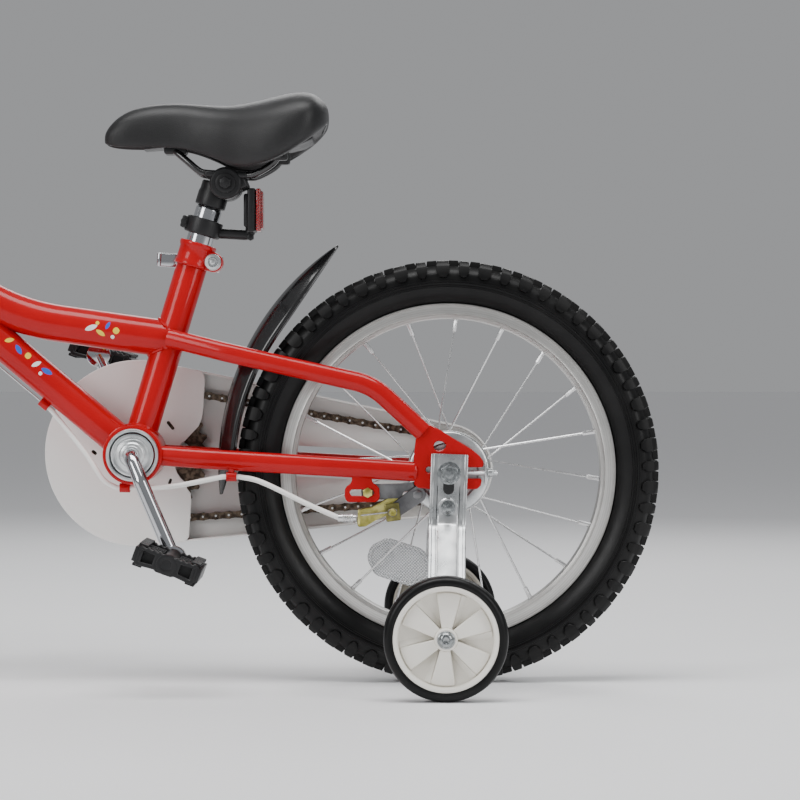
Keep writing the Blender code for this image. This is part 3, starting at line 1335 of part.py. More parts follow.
def build_fork():
    left = fork_leg_points(-1)
    right = fork_leg_points(1)[::-1]
    arch = [at_fork(-fork_crown_drop - 11 * mm, 0, -fork_spread * 0.7), at_fork(-fork_crown_drop, 0, 0),
            at_fork(-fork_crown_drop - 11 * mm, 0, fork_spread * 0.7)]
    route = smooth(left + arch + right, 2)
    solids = [tube(route, fork_leg_radius, 2)]
    steerer_top = headset_stack * 2 + head_tube_length + headset_nut_height + 1 * mm
    solids.append(rod(at_fork(-fork_crown_drop), at_fork(steerer_top), steerer_radius, 12))
    solids.append(rod(at_fork(-fork_crown_drop + 4 * mm), at_fork(-gap), headset_cup_radius - 1 * mm, 12))
    nut_low = headset_stack * 2 + head_tube_length + gap
    solids.append(rod(at_fork(nut_low), at_fork(nut_low + headset_nut_height), headset_nut_radius, 6))
    for side in (-1, 1):
        near, far = sorted((side * front_hub_half, side * (front_hub_half + fork_tip_thickness)))
        tip = [at_fork(-fork_length + 34 * mm, fork_offset - 10 * mm),
               at_fork(-fork_length + 34 * mm, fork_offset + 3 * mm),
               at_fork(-fork_length + 4 * mm, fork_offset + 12 * mm),
               at_fork(-fork_length - 9 * mm, fork_offset + 11 * mm),
               at_fork(-fork_length - 10 * mm, fork_offset - 11 * mm),
               at_fork(-fork_length + 4 * mm, fork_offset - 13 * mm)]
        solids.append(side_plate([[(p.x, p.z) for p in tip]], near, far))
        beside = side * (fork_spread + 1 * mm)
        shoulder = brake_arm_forward - brake_arm_radius - gap
        solids.append(rod(at_fork(brake_boss_up, 0, beside), at_fork(brake_boss_up, shoulder, beside),
                          8.5 * mm, 8))
        solids.append(rod(at_fork(brake_boss_up, shoulder - 2 * mm, beside),
                          at_fork(brake_boss_up, brake_arm_forward + 9 * mm, beside),
                          brake_boss_radius, 6))
    holes = [hole(at_fork(steerer_top + 1 * mm), at_fork(steerer_top - quill_depth), quill_radius + gap, 10)]
    for side in (-1, 1):
        near, far = sorted((side * (front_hub_half - 5 * mm), side * (front_hub_half + 20 * mm)))
        width = axle_radius + gap
        mouth = [at_fork(-fork_length, fork_offset + width),
                 at_fork(-fork_length - 20 * mm, fork_offset + width),
                 at_fork(-fork_length - 20 * mm, fork_offset - width),
                 at_fork(-fork_length, fork_offset - width)]
        holes.append(side_plate([[(p.x, p.z) for p in mouth]], near, far))
        holes.append(cross_rod(front_axle, near, far, width, 8))
    make_part("fork", red_paint, solids, holes, pivot=crown)


def build_stem():
    quill_top = bar_base_up
    steerer_top = headset_stack * 2 + head_tube_length + headset_nut_height + 1 * mm
    solids = [rod(at_fork(steerer_top - quill_depth + 3 * mm), at_fork(quill_top), quill_radius, 10)]
    solids.append(rod(at_fork(quill_top - 18 * mm), at_fork(quill_top + 12 * mm), stem_radius + 1 * mm, 12))
    solids.append(rod(at_fork(quill_top), at_fork(quill_top, stem_reach), stem_radius, 12))
    clamp = at_fork(quill_top, stem_reach)
    half = stem_clamp_width / 2
    solids.append(cross_rod(clamp, -half, half, stem_clamp_radius, 14))
    bore = cross_hole(clamp, -half - 1 * mm, half + 1 * mm, bar_radius + gap, 12)
    make_part("stem", alloy, solids, [bore], pivot=crown)


def at_bar(side, up, back):
    """A point beside, above and behind the stem's clamp."""
    return at_fork(bar_base_up + up, stem_reach - back, side)


def grip_line(side):
    """The straight end of the handlebar: where it starts, and its direction outwards."""
    start = at_bar(side * bar_shoulder, bar_rise, bar_back_sweep * 0.2)
    end = at_bar(side * bar_half_width, bar_rise + 4 * mm, bar_back_sweep)
    return start, end, (end - start).normalized()


def build_handlebar():
    left_start, left_end = grip_line(-1)[:2]
    right_start, right_end = grip_line(1)[:2]
    corners = [left_end, left_start, at_bar(-bar_flat_half, 0, 0), at_bar(bar_flat_half, 0, 0),
               right_start, right_end]
    solids = [tube(rounded(corners, bar_bend_radius, 3), bar_radius, 2)]
    make_part("handlebar", black_plastic, solids, pivot=crown)


def build_grips_and_levers():
    for name, side in (("left", -1), ("right", 1)):
        start, end, outward = grip_line(side)
        grip_end = end + outward * grip_end_cover
        grip_start = grip_end - outward * grip_length
        tip = grip_length
        profile = [(0, 0), (grip_flange_radius, 0), (grip_flange_radius, 4 * mm), (grip_radius, 6 * mm),
                   (grip_radius, tip - 14 * mm), (grip_radius + 4 * mm, tip - 7 * mm),
                   (grip_radius + 1 * mm, tip), (0, tip)]
        grip = turned(profile, grip_start, outward, 12)
        bore = hole(grip_start - outward * 2 * mm, end + outward * gap, bar_radius + gap, 12)
        make_part(f"grip_{name}", black_rubber, [grip], [bore], pivot=crown)
        build_lever(name, side)


def lever_axes(side):
    """The middle of a lever's clamp, with the directions out along the bar, forward and up."""
    end, outward = grip_line(side)[1:]
    forward = (steer_forward - outward * steer_forward.dot(outward)).normalized()
    vertical = forward.cross(outward).normalized() * -side
    grip_start = end + outward * (grip_end_cover - grip_length)
    middle = grip_start - outward * (lever_clamp_gap + lever_clamp_width / 2)
    return middle, outward, forward, vertical


def build_lever(name, side):
    """A clamp with two ears and a cable barrel, and the blade that turns on a pin between the ears."""
    middle, outward, forward, vertical = lever_axes(side)
    turn = Matrix((outward, forward, vertical)).transposed()
    half = outward * lever_clamp_width / 2
    solids = [rod(middle - half, middle + half, lever_clamp_radius, 12)]
    ear_level = lever_hub_half + gap + lever_ear_thickness / 2
    ear_length = lever_reach + lever_ear_margin - lever_ear_start
    for level in (-1, 1):
        centre = middle + forward * (lever_ear_start + ear_length / 2) + vertical * level * ear_level
        solids.append(box(centre, (lever_ear_width, ear_length, lever_ear_thickness), turn))
    wall = middle + forward * lever_barrel_reach - outward * (lever_ear_width / 2 - 2 * mm)
    solids.append(box(wall, (4 * mm, 14 * mm, 2 * ear_level), turn))
    solids.append(rod(wall, wall - outward * lever_barrel_length, lever_barrel_radius, 8))
    pivot = middle + forward * lever_reach
    pin = vertical * (ear_level + 1 * mm)
    solids.append(rod(pivot - pin, pivot + pin, lever_pin_radius, 6))
    bore = hole(middle - half * 1.2, middle + half * 1.2, bar_radius + gap, 12)
    make_part(f"lever_bracket_{name}", black_plastic, solids, [bore], pivot=crown)
    blade = [pivot, pivot + forward * 10 * mm + outward * 12 * mm,
             middle + forward * lever_blade_gap + outward * 34 * mm,
             middle + forward * (lever_blade_gap - 4 * mm) + outward * lever_blade_length * 0.75,
             middle + forward * (lever_blade_gap - 1 * mm) + outward * lever_blade_length,
             middle + forward * (lever_blade_gap + 5 * mm) + outward * (lever_blade_length + 9 * mm)]
    hub = rod(pivot - vertical * lever_hub_half, pivot + vertical * lever_hub_half, lever_pivot_radius, 10)
    bore = hole(pivot - pin, pivot + pin, lever_pin_radius + gap, 6)
    make_part(f"brake_lever_{name}", alloy, [tube(smooth(blade, 2), lever_blade_radius, 1), hub], [bore],
              pivot=pivot)


def build_front_brake():
    """Two arms on bosses in front of the fork legs, each with its pad beside the rim."""
    pad_up = rim_radius - rim_depth / 2 - fork_length
    for name, side in (("left", -1), ("right", 1)):
        pivot = at_fork(brake_boss_up, brake_arm_forward, side * (fork_spread + 1 * mm))
        top = at_fork(brake_boss_up + brake_arm_length, brake_arm_forward, side * (fork_spread - 4 * mm))
        pad_side = side * (rim_width / 2 + brake_pad_gap + brake_pad_thickness / 2)
        half = steer_forward * 6 * mm
        solids = [rod(pivot, top, brake_arm_radius, 8), rod(pivot - half, pivot + half, 8.5 * mm, 10)]
        stub = at_fork(pad_up, brake_arm_forward, side * (fork_spread - 1 * mm))
        solids.append(rod(stub, at_fork(pad_up, brake_arm_forward, pad_side), 3.5 * mm, 6))
        turn = Matrix((steer_forward, Vector((0, 1, 0)), steer_up)).transposed()
        solids.append(box(at_fork(pad_up, brake_arm_forward - 3 * mm, pad_side),
                          (brake_pad_length, brake_pad_thickness, brake_pad_height), turn))
        bore = hole(pivot - half * 1.4, pivot + half * 1.4, brake_boss_radius + gap, 6)
        make_part(f"front_brake_arm_{name}", alloy, solids, [bore], pivot=pivot)


def lever_cable_start(side):
    """Where a cable leaves the barrel of a lever, and the direction out along the bar."""
    middle, outward, forward = lever_axes(side)[:3]
    along = lever_ear_width / 2 - 2 * mm + lever_barrel_length + gap * 3
    return middle + forward * lever_barrel_reach - outward * along, outward


def build_front_cables():
    """The housings that hang in a loop between the levers, the front brake and the frame."""
    begin, outward = lever_cable_start(-1)
    top_up = brake_boss_up + brake_arm_length
    noodle = at_fork(top_up + 2 * mm, brake_arm_forward, -(fork_spread - 16 * mm))
    other_arm = at_fork(top_up + 2 * mm, brake_arm_forward, fork_spread - 4 * mm)
    route = [begin, begin - outward * 6 * mm, begin - outward * 13 * mm,
             at_fork(bar_base_up + 50 * mm, 80 * mm, -64 * mm),
             at_fork(bar_base_up - 30 * mm, 92 * mm, -56 * mm), at_fork(80 * mm, 74 * mm, -64 * mm),
             at_fork(16 * mm, 46 * mm, -68 * mm), at_fork(top_up + 16 * mm, 26 * mm, -52 * mm), noodle]
    solids = [tube(smooth(route, 3), housing_radius, 2), rod(noodle, other_arm, wire_radius, 6)]
    make_part("front_brake_cable", black_rubber, solids, pivot=crown)
    begin, outward = lever_cable_start(1)
    stop = down_tube_underside(front_stop_forward, cable_drop)
    end = stop + down_slope * (5 * mm + gap)
    route = [begin, begin - outward * 6 * mm, begin - outward * 13 * mm,
             at_fork(bar_base_up + 46 * mm, 78 * mm, 66 * mm),
             at_fork(bar_base_up - 40 * mm, 66 * mm, 70 * mm), at_fork(60 * mm, 20 * mm, 62 * mm),
             at_fork(6 * mm, -32 * mm, 44 * mm),
             end + down_slope * 30 * mm + Vector((0, 4 * mm, -3 * mm)), end]
    make_part("rear_brake_cable_loop", black_rubber, [tube(smooth(route, 3), housing_radius, 2)],
              pivot=crown)


# Seat
def from_clamp(forward, up, side=0.0):
    """A point in front of and above the saddle clamp's centre, in millimetres."""
    return saddle_clamp_centre + Vector((-forward * mm, side * mm, up * mm))


def rail_route(past_end=0):
    """One bent wire: two rear ends, two runs through the clamp, and a bow at the nose."""
    spread = rail_spread / mm
    half = [from_clamp(-53, 31, 33), from_clamp(-46, 19, 31), from_clamp(-29, 9, spread + 4),
            from_clamp(-18, 8, spread), from_clamp(0, 8.8, spread), from_clamp(18, 9.6, spread),
            from_clamp(26, 12, spread - 1), from_clamp(38, 22, spread - 5), from_clamp(50, 32, 9)]
    other = [Vector((p.x, -p.y, p.z)) for p in reversed(half)]
    route = smooth(half + [from_clamp(54, 33.5)] + other, 2)
    first = route[0] + (route[0] - route[1]).normalized() * past_end
    last = route[-1] + (route[-1] - route[-2]).normalized() * past_end
    return [first, *route[1:-1], last]


def build_seat():
    solids = [rod(at_seat(seat_tube_length - seatpost_depth, 0), at_seat(seatpost_step, 0),
                  seatpost_radius, 12)]
    solids.append(rod(at_seat(seatpost_step - 2 * mm, 0), at_seat(seatpost_top, 0), seatpost_top_radius, 12))
    make_part("seatpost", chrome, solids, pivot=at_seat(seatpost_step, 0))
    ring_low = seatpost_step + gap
    disc = saddle_clamp_centre
    solids = [rod(at_seat(ring_low, 0), at_seat(seatpost_top + 1 * mm, 0), clamp_ring_radius, 12)]
    solids.append(cross_rod(disc, -clamp_half_width, clamp_half_width, clamp_disc_radius, 12))
    solids.append(cross_rod(disc, -clamp_half_width - 6 * mm, clamp_half_width + 6 * mm, 6 * mm, 6))
    holes = [hole(at_seat(ring_low - 1 * mm, 0), at_seat(seatpost_top + gap, 0),
                  seatpost_top_radius + gap, 12)]
    for side in (-rail_spread / mm, rail_spread / mm):
        holes.append(hole(from_clamp(-20, 8, side), from_clamp(22, 9.8, side), rail_radius + gap * 2, 6))
    make_part("saddle_clamp", black_plastic, solids, holes)
    make_part("saddle_rails", dark_steel, [tube(rail_route(), rail_radius, 1)])
    build_saddle()
    build_rear_reflector()


saddle_stations = [  # share of the length, share of the half width, top, lower edge, recess
    (0, 0.2, 54, 43, 3), (0.09, 0.32, 72, 34.5, 6), (0.29, 0.37, 78, 33, 10),
    (0.485, 0.56, 76, 21, 18), (0.63, 0.82, 79.5, 13.5, 24), (0.77, 1.0, 87, 19, 21),
    (0.885, 1.03, 90.5, 34, 11), (0.96, 0.86, 84, 48, 5), (1.0, 0.6, 74, 58, 3)]


def saddle_section(station):
    """A ring round the pad: over the crown, round the drawn-in edges and across the recess below."""
    share, width, top, low, recess = station
    forward = (saddle_nose_reach - share * saddle_length) / mm
    half = width * saddle_width / 2 / mm
    tall = top - low
    shape = [(0, top), (0.62 * half, top - 0.06 * tall), (0.98 * half, top - 0.38 * tall),
             (0.97 * half, low + 0.16 * tall), (0.86 * half, low), (0.68 * half, low + recess),
             (0, low + recess)]
    points = [from_clamp(forward, up, side) for side, up in shape]
    return points + [from_clamp(forward, up, -side) for side, up in shape[-2:0:-1]]


def loft(sections):
    """A closed solid through rings that have the same number of points."""
    work = bmesh.new()
    rings = [[work.verts.new(point) for point in section] for section in sections]
    for ring, after in zip(rings, rings[1:]):
        for index in range(len(ring)):
            other = (index + 1) % len(ring)
            work.faces.new((ring[index], ring[other], after[other], after[index]))
    work.faces.new(rings[0])
    work.faces.new(rings[-1])
    return mesh_from(work)


def base_section(station):
    """A ring round the stiff base, which lies in the pad's recess."""
    share, width, top, low, recess = station
    forward = (saddle_nose_reach - share * saddle_length) / mm
    half = width * saddle_width / 2 / mm * base_width_share
    upper = low + recess - base_clearance / mm
    lower = upper - base_thickness / mm
    return [from_clamp(forward, up, side)
            for side, up in [(-half, lower), (half, lower), (half, upper), (-half, upper)]]


def build_saddle():
    """The pad is a cage of cross-sections that Subdivision Surface rounds off."""
    pad = loft([saddle_section(station) for station in saddle_stations])
    subdivision = pad.modifiers.new("rounding", "SUBSURF")
    subdivision.levels = 1
    subdivision.render_levels = 1
    make_part("saddle_pad", saddle_skin, [made_mesh(pad)])
    solids = [loft([base_section(station) for station in saddle_stations[2:-2]])]
    solids.append(box(from_clamp(49, 33.5), (22 * mm, 26 * mm, 10 * mm)))
    for side in (-1, 1):
        solids.append(box(from_clamp(-52, 28, side * 33), (16 * mm, 14 * mm, 14 * mm)))
    make_part("saddle_base", black_plastic, solids, [tube(rail_route(gap * 4), rail_radius + gap * 3, 1)])


def build_rear_reflector():
    low = reflector_ring_place - reflector_ring_height / 2
    high = reflector_ring_place + reflector_ring_height / 2
    ring_middle = at_seat(reflector_ring_place, 0)
    lens_front = ring_middle.x + reflector_lens_back
    middle_height = ring_middle.z + reflector_lens_up
    housing_depth = 12 * mm
    solids = [rod(at_seat(low, 0), at_seat(high, 0), reflector_ring_radius, 14)]
    arm_start = at_seat(reflector_ring_place - 2 * mm, 14 * mm)
    arm_end = Vector((lens_front - housing_depth / 2, 0, arm_start.z - 2 * mm))
    arm = rounded([arm_start, arm_end, arm_end + Vector((0, 0, 16 * mm))], 5 * mm, 3)
    solids.append(tube(arm, 5 * mm, 2))
    solids.append(box(Vector((lens_front - gap - housing_depth / 2, 0, middle_height)),
                      (housing_depth, reflector_width - 4 * mm, reflector_height)))
    bore = hole(at_seat(low - 1 * mm, 0), at_seat(high + 1 * mm, 0), seatpost_radius + gap, 14)
    make_part("rear_reflector_bracket", black_plastic, solids, [bore])
    lens = box(Vector((lens_front + lens_thickness / 2, 0, middle_height)),
               (lens_thickness, reflector_width, reflector_height - 1 * mm))
    bevel = lens.modifiers.new("edge", "BEVEL")
    bevel.width = 2 * mm
    bevel.segments = 1
    make_part("rear_reflector_lens", red_lens, [made_mesh(lens)])


def build_seat_clamp():
    """The red collar, with its ears, skewer and ring nut, and the quick-release lever."""
    low = seat_tube_length - collar_height + 2 * mm
    high = seat_tube_length + 2 * mm
    middle = (low + high) / 2
    ear = at_seat(middle - 2 * mm, collar_ear_back)
    half = collar_ear_half
    turn = Matrix((seat_back, Vector((0, 1, 0)), seat_up)).transposed()
    solids = [rod(at_seat(low, 0), at_seat(high, 0), collar_radius, 14)]
    solids.append(cross_rod(ear, -half, half, collar_ear_radius, 10))
    solids.append(box(at_seat(middle - 2 * mm, collar_ear_back - 5 * mm),
                      (10 * mm, 2 * half - 0.6 * mm, 17 * mm), turn))
    slit = box(at_seat(middle, collar_ear_back + 4 * mm), (26 * mm, 3 * mm, 40 * mm), turn)
    bore = hole(at_seat(low - 1 * mm, 0), at_seat(high + 1 * mm, 0), seat_tube_radius + gap, 14)
    clamp = make_part("seat_clamp", red_paint, solids, [slit, bore])
    skewer = cross_rod(ear, -half - 5 * mm, half - 0.4 * mm, 2.5 * mm, 6)
    nut = cross_rod(ear, -half - 5 * mm, -half + 0.4 * mm, collar_nut_radius, 10)
    waiting.append((clamp, [skewer, nut], "UNION", "seat_clamp_skewer"))
    barrel_side = half + gap + release_barrel_radius
    barrel = ear + Vector((0, barrel_side, 0))
    solids = [rod(barrel - seat_up * 8 * mm, barrel + seat_up * 8 * mm, release_barrel_radius, 10)]
    arm_side = Vector((0, release_barrel_radius - release_lever_thickness / 2 - 0.4 * mm, 0))
    arm_middle = barrel + arm_side - seat_back * release_lever_length / 2
    arm_size = (release_lever_length, release_lever_thickness, release_lever_width)
    solids.append(box(arm_middle, arm_size, turn))
    tip = barrel + arm_side - seat_back * release_lever_length
    solids.append(rod(tip - seat_up * 6.5 * mm, tip + seat_up * 6.5 * mm, 3.4 * mm, 6))
    make_part("quick_release_lever", chrome, solids, pivot=barrel)


build_frame()
build_cups()
build_wheels()
build_chain()
build_sprockets()
build_crank()
build_pedal("pedal_left", -1, left_crank_reach, 1)
build_pedal("pedal_right", 1, right_crank_reach, -1)
build_chain_case()
build_band_brake()
build_brake_arm()
build_cables()
build_chain_adjusters()
build_training_side("left", -1)
build_training_side("right", 1)
build_mudguard()
build_fork()
build_stem()
build_handlebar()
build_grips_and_levers()
build_front_brake()
build_front_cables()
build_seat()
build_seat_clamp()

for combination in waiting:
    combine(*combination)
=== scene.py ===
# %% [markdown]
# # A kids' bike with training wheels
#
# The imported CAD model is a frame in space: every body, joint and size is already there.
# This lesson dresses it. Each cell makes one piece of the bike, says what that piece is on a
# real bike, and shows one way to model it in Blender. Places are in metres and sizes are plain
# workshop millimetres, which `mm` turns into metres. X runs back along the bike, Y to its right
# side, Z up.

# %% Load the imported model
from math import acos, cos, exp, pi, radians, sin, sqrt, tan

import bmesh
import bpy
from mathutils import Matrix, Vector


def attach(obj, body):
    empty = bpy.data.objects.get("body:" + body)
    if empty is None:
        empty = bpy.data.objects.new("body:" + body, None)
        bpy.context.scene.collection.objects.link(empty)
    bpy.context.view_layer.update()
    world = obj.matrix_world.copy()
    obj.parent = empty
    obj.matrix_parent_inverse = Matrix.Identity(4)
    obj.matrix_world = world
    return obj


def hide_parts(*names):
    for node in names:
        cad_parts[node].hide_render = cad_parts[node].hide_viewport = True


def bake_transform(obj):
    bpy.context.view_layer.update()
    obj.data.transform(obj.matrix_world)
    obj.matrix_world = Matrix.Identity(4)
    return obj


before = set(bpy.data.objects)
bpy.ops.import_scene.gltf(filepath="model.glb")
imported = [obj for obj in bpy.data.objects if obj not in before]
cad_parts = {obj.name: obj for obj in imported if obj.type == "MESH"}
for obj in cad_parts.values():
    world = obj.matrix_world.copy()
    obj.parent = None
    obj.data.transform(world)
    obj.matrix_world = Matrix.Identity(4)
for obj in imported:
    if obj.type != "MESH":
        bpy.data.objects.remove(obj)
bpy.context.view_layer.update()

mm = 0.001
across, backward, upright = Vector((0, 1, 0)), Vector((1, 0, 0)), Vector((0, 0, 1))
both_sides = (("left", -1), ("right", 1))

# %% [markdown]
# ## Camera, floor and light
#
# A long lens from three metres away flattens the bike as in a catalogue picture. The camera
# stands level with the hubs, and a small shift moves the bike in the frame without tilting the
# lens. The floor is one big pale plane. Large area lights act as studio softboxes: gloss
# paint and chrome look right only when they have broad bright shapes to reflect.

# %% Camera
lens = bpy.data.cameras.new("photo_camera")
lens.lens, lens.sensor_width = 139.7, 36
lens.shift_x, lens.shift_y = 0.00875, -0.04625
camera = bpy.data.objects.new("photo_camera", lens)
camera.location = (0.317, -3.0, 0.307)
camera.rotation_euler = (radians(90), 0, 0)
bpy.context.scene.collection.objects.link(camera)
bpy.context.scene.camera = camera


# %% Softboxes
def softbox(name, place, target, size, watts):
    """A square area light that faces a point."""
    light = bpy.data.lights.new(name, "AREA")
    light.shape, light.energy = "RECTANGLE", watts
    light.size, light.size_y = size
    lamp = bpy.data.objects.new(name, light)
    lamp.location = place
    lamp.rotation_euler = (Vector(target) - Vector(place)).to_track_quat("-Z", "Y").to_euler()
    bpy.context.scene.collection.objects.link(lamp)


softbox("top_softbox", (0.1, -0.5, 2.4), (0.1, 0, 0.2), (2.2, 1.0), 52)
softbox("left_softbox", (-1.9, -2.1, 1.5), (0.1, 0, 0.3), (1.2, 1.5), 33)
softbox("right_softbox", (2.2, -1.6, 1.2), (0.2, 0, 0.3), (0.8, 1.5), 17)
softbox("back_softbox", (0.6, 2.2, 1.7), (0.1, 0, 0.3), (2.0, 0.9), 22)
world = bpy.data.worlds.new("studio")
world.use_nodes = True
world.node_tree.nodes["Background"].inputs["Color"].default_value = (0.80, 0.81, 0.83, 1)
world.node_tree.nodes["Background"].inputs["Strength"].default_value = 0.42
bpy.context.scene.world = world


# %% [markdown]
# ## Finishes
#
# A finish is a material built from nodes. Two small classes keep the shader maths readable:
# a `Wire` is a value that changes over a surface, and Python's own operators on it add Math
# nodes; a `Finish` is one material, and its `node` method adds any other node. The same number
# all over a surface is set straight on the shader.

# %% Shader maths
class Wire:
    """A socket that carries a number. Sums and products of wires add Math nodes."""

    def __init__(self, finish, socket):
        self.finish, self.socket = finish, socket

    def maths(self, operation, first, second=0.0):
        return self.finish.node("Math", {"operation": operation}, {0: first, 1: second})

    def __add__(self, other):
        return self.maths("ADD", self, other)

    def __sub__(self, other):
        return self.maths("SUBTRACT", self, other)

    def __rsub__(self, other):
        return self.maths("SUBTRACT", other, self)

    def __mul__(self, other):
        return self.maths("MULTIPLY", self, other)

    def __truediv__(self, other):
        return self.maths("DIVIDE", self, other)

    def __pow__(self, other):
        return self.maths("POWER", self, other)

    __radd__, __rmul__ = __add__, __mul__

    def absolute(self):
        return self.maths("ABSOLUTE", self)

    def wave(self):
        return self.maths("SINE", self)

    def between(self, low, high):
        """0 below low, 1 above high, and smooth from one to the other."""
        return self.finish.node("MapRange", {"interpolation_type": "SMOOTHSTEP"},
                                {"Value": self, "From Min": low, "From Max": high})


# %% One material
class Finish:
    """One material: a Principled shader and the nodes that feed it. Its slot is kept but not used.
    """

    def __init__(self, name, slot, colour, roughness, metallic=0.0, **fixed):
        self.material, self.slot = bpy.data.materials.new(name), slot
        self.material.use_nodes = True
        self.tree = self.material.node_tree
        self.shader = self.tree.nodes["Principled BSDF"]
        self.shader.inputs["Base Color"].default_value = (*colour, 1)
        self.shader.inputs["Roughness"].default_value = roughness
        self.shader.inputs["Metallic"].default_value = metallic
        for socket, value in fixed.items():
            self.shader.inputs[socket.replace("_", " ")].default_value = value

    def node(self, kind, settings=None, values=None, output=0):
        """Adds a node: its settings first, then its sockets. Returns one of its outputs."""
        node = self.tree.nodes.new("ShaderNode" + kind)
        for key, value in (settings or {}).items():
            setattr(node, key, value)
        for key, value in (values or {}).items():
            self.feed(node.inputs[key], value)
        return Wire(self, node.outputs[output])

    def feed(self, socket, value):
        if isinstance(value, Wire):
            self.tree.links.new(value.socket, socket)
        else:
            socket.default_value = value

    def place(self):
        return self.node("TexCoord", output="Object")

    def axes(self):
        """The object coordinates as three wires."""
        split = self.tree.nodes.new("ShaderNodeSeparateXYZ")
        self.feed(split.inputs[0], self.place())
        return [Wire(self, output) for output in split.outputs]

    def noise(self, scale, detail):
        values = {"Vector": self.place(), "Scale": scale, "Detail": detail}
        return self.node("TexNoise", values=values)

    def mixed(self, share, first, second):
        """Two colours mixed by a wire."""
        colours = [(*c, 1) if isinstance(c, tuple) else c for c in (first, second)]
        return self.node("Mix", {"data_type": "RGBA"}, {0: share, 6: colours[0], 7: colours[1]},
                         output=2)

    def set(self, socket, value):
        self.feed(self.shader.inputs[socket], value)
        return self

    def relief(self, height, depth, strength):
        """Fine relief: height times depth, in metres, through a Bump node."""
        values = {"Height": height, "Distance": depth, "Strength": strength}
        return self.set("Normal", self.node("Bump", values=values))

    def blotched(self, scale, detail, first, second, low=None, high=None):
        """A base colour that wanders between two colours."""
        share = self.noise(scale, detail)
        if low:
            share = share.between(low, high)
        return self.set("Base Color", self.mixed(share, first, second))

    def rubbed(self, scale, detail, swing, least):
        """A roughness that varies over the surface."""
        return self.set("Roughness", self.noise(scale, detail) * swing + least)

    def grained(self, scale, detail, depth, strength):
        """A fine relief from noise."""
        return self.relief(self.noise(scale, detail), depth, strength)


# %% [markdown]
# ## Paint, rubber, metal and plastic
#
# Gloss paint is a red base under a clear coat with a faint orange peel. Rubber is dark grey,
# never pure black, and dusty where it wears. Bare metals differ mostly in roughness: chrome is
# a mirror, zinc plate is blotchy, drawn alloy has fine rings. Moulded plastic has a soft grain.

# %% Tube artwork
leaf_blue, leaf_yellow, leaf_white = (0.03, 0.12, 0.55), (0.85, 0.62, 0.06), (0.82, 0.84, 0.8)
artwork = [  # x and z of the middle, half length, half height, slant in degrees, colour (mm)
    (27, 341, 6.5, 2.6, 20, leaf_white), (36, 336, 5.2, 2.2, -35, leaf_yellow),
    (43, 343, 4.2, 1.8, 60, leaf_blue), (51, 338, 3.4, 3.4, 0, leaf_yellow),
    (33, 345.5, 2.0, 2.0, 0, leaf_yellow), (47.5, 332, 2.0, 2.0, 0, leaf_white),
    (-16, 299, 6.0, 2.6, -30, leaf_blue), (-26, 306, 5.0, 2.2, 25, leaf_white),
    (-34, 314, 3.2, 3.2, 0, leaf_yellow), (-43, 320, 5.5, 2.4, -60, leaf_blue),
    (-52, 329, 4.6, 2.2, 10, leaf_yellow), (-22, 297, 2.0, 2.0, 0, leaf_white)]


def with_artwork(finish, colour):
    """Paints small leaves and dots on the left and right of the tubes, seen from the side."""
    x, y, z = finish.axes()
    beside = y.absolute().between(0.006, 0.0085)
    for middle_x, middle_z, long, tall, slant, leaf in artwork:
        turn, tilt = cos(radians(slant)), sin(radians(slant))
        along = (x - middle_x * mm) * turn + (z - middle_z * mm) * tilt
        over = (z - middle_z * mm) * turn - (x - middle_x * mm) * tilt
        reach = (along / (long * mm)) ** 2 + (over / (tall * mm)).absolute() ** 1.4
        colour = finish.mixed((1 - reach.between(0.86, 1.02)) * beside, colour, leaf)
    return colour


# %% Red paint
deep_red, bright_red = (0.41, 0.0004, 0.0032), (0.48, 0.0008, 0.0042)
red_paint = Finish("red_gloss_paint", "red_paint", (0.5, 0.001, 0.002), 0.34, Coat_Weight=0.42,
                   Coat_Roughness=0.045, Specular_IOR_Level=0.12)
shade = red_paint.mixed(red_paint.noise(9, 3).between(0.3, 0.7), deep_red, bright_red)
red_paint.set("Base Color", with_artwork(red_paint, shade))
red_paint.rubbed(60, 4, 0.12, 0.24).grained(420, 2, 0.00005, 0.35)
plain_red = Finish("red_gloss_paint_plain", "red_paint", (0.5, 0.001, 0.002), 0.34,
                   Coat_Weight=0.42, Coat_Roughness=0.05, Specular_IOR_Level=0.12)
plain_red.blotched(9, 3, deep_red, bright_red, 0.3, 0.7).grained(420, 2, 0.00005, 0.35)

# %% Rubbers
wheel_height, half_wheelbase = 0.203, 0.37


def hub_distance(finish):
    """How far a point is from its own wheel's axle: the wheels mirror each other about X = 0."""
    x, y, z = finish.axes()
    along, over = x.absolute() - half_wheelbase, z - wheel_height
    return (along * along + over * over) ** 0.5


tyre_rubber = Finish("tyre_rubber", "black_rubber", (0.006, 0.006, 0.006), 0.5,
                     Specular_IOR_Level=0.24)
dust = tyre_rubber.noise(26, 5).between(0.35, 0.75)
tread = hub_distance(tyre_rubber).between(0.188, 0.193)
tyre_rubber.set("Base Color",
                tyre_rubber.mixed(dust * 0.5 + tread * 0.25, (0.002, 0.002, 0.0021),
                                  (0.012, 0.0118, 0.0115)))
tyre_rubber.set("Roughness", tread * 0.1 + tyre_rubber.noise(90, 3) * 0.2 + 0.24)
tyre_rubber.grained(650, 3, 0.00018, 0.5)
grip_rubber = Finish("grip_rubber", "black_rubber", (0.01, 0.01, 0.0105), 0.62,
                     Specular_IOR_Level=0.3)
grip_rubber.blotched(40, 4, (0.006, 0.006, 0.0065), (0.02, 0.02, 0.0205))
grip_rubber.grained(900, 2, 0.0002, 0.5)

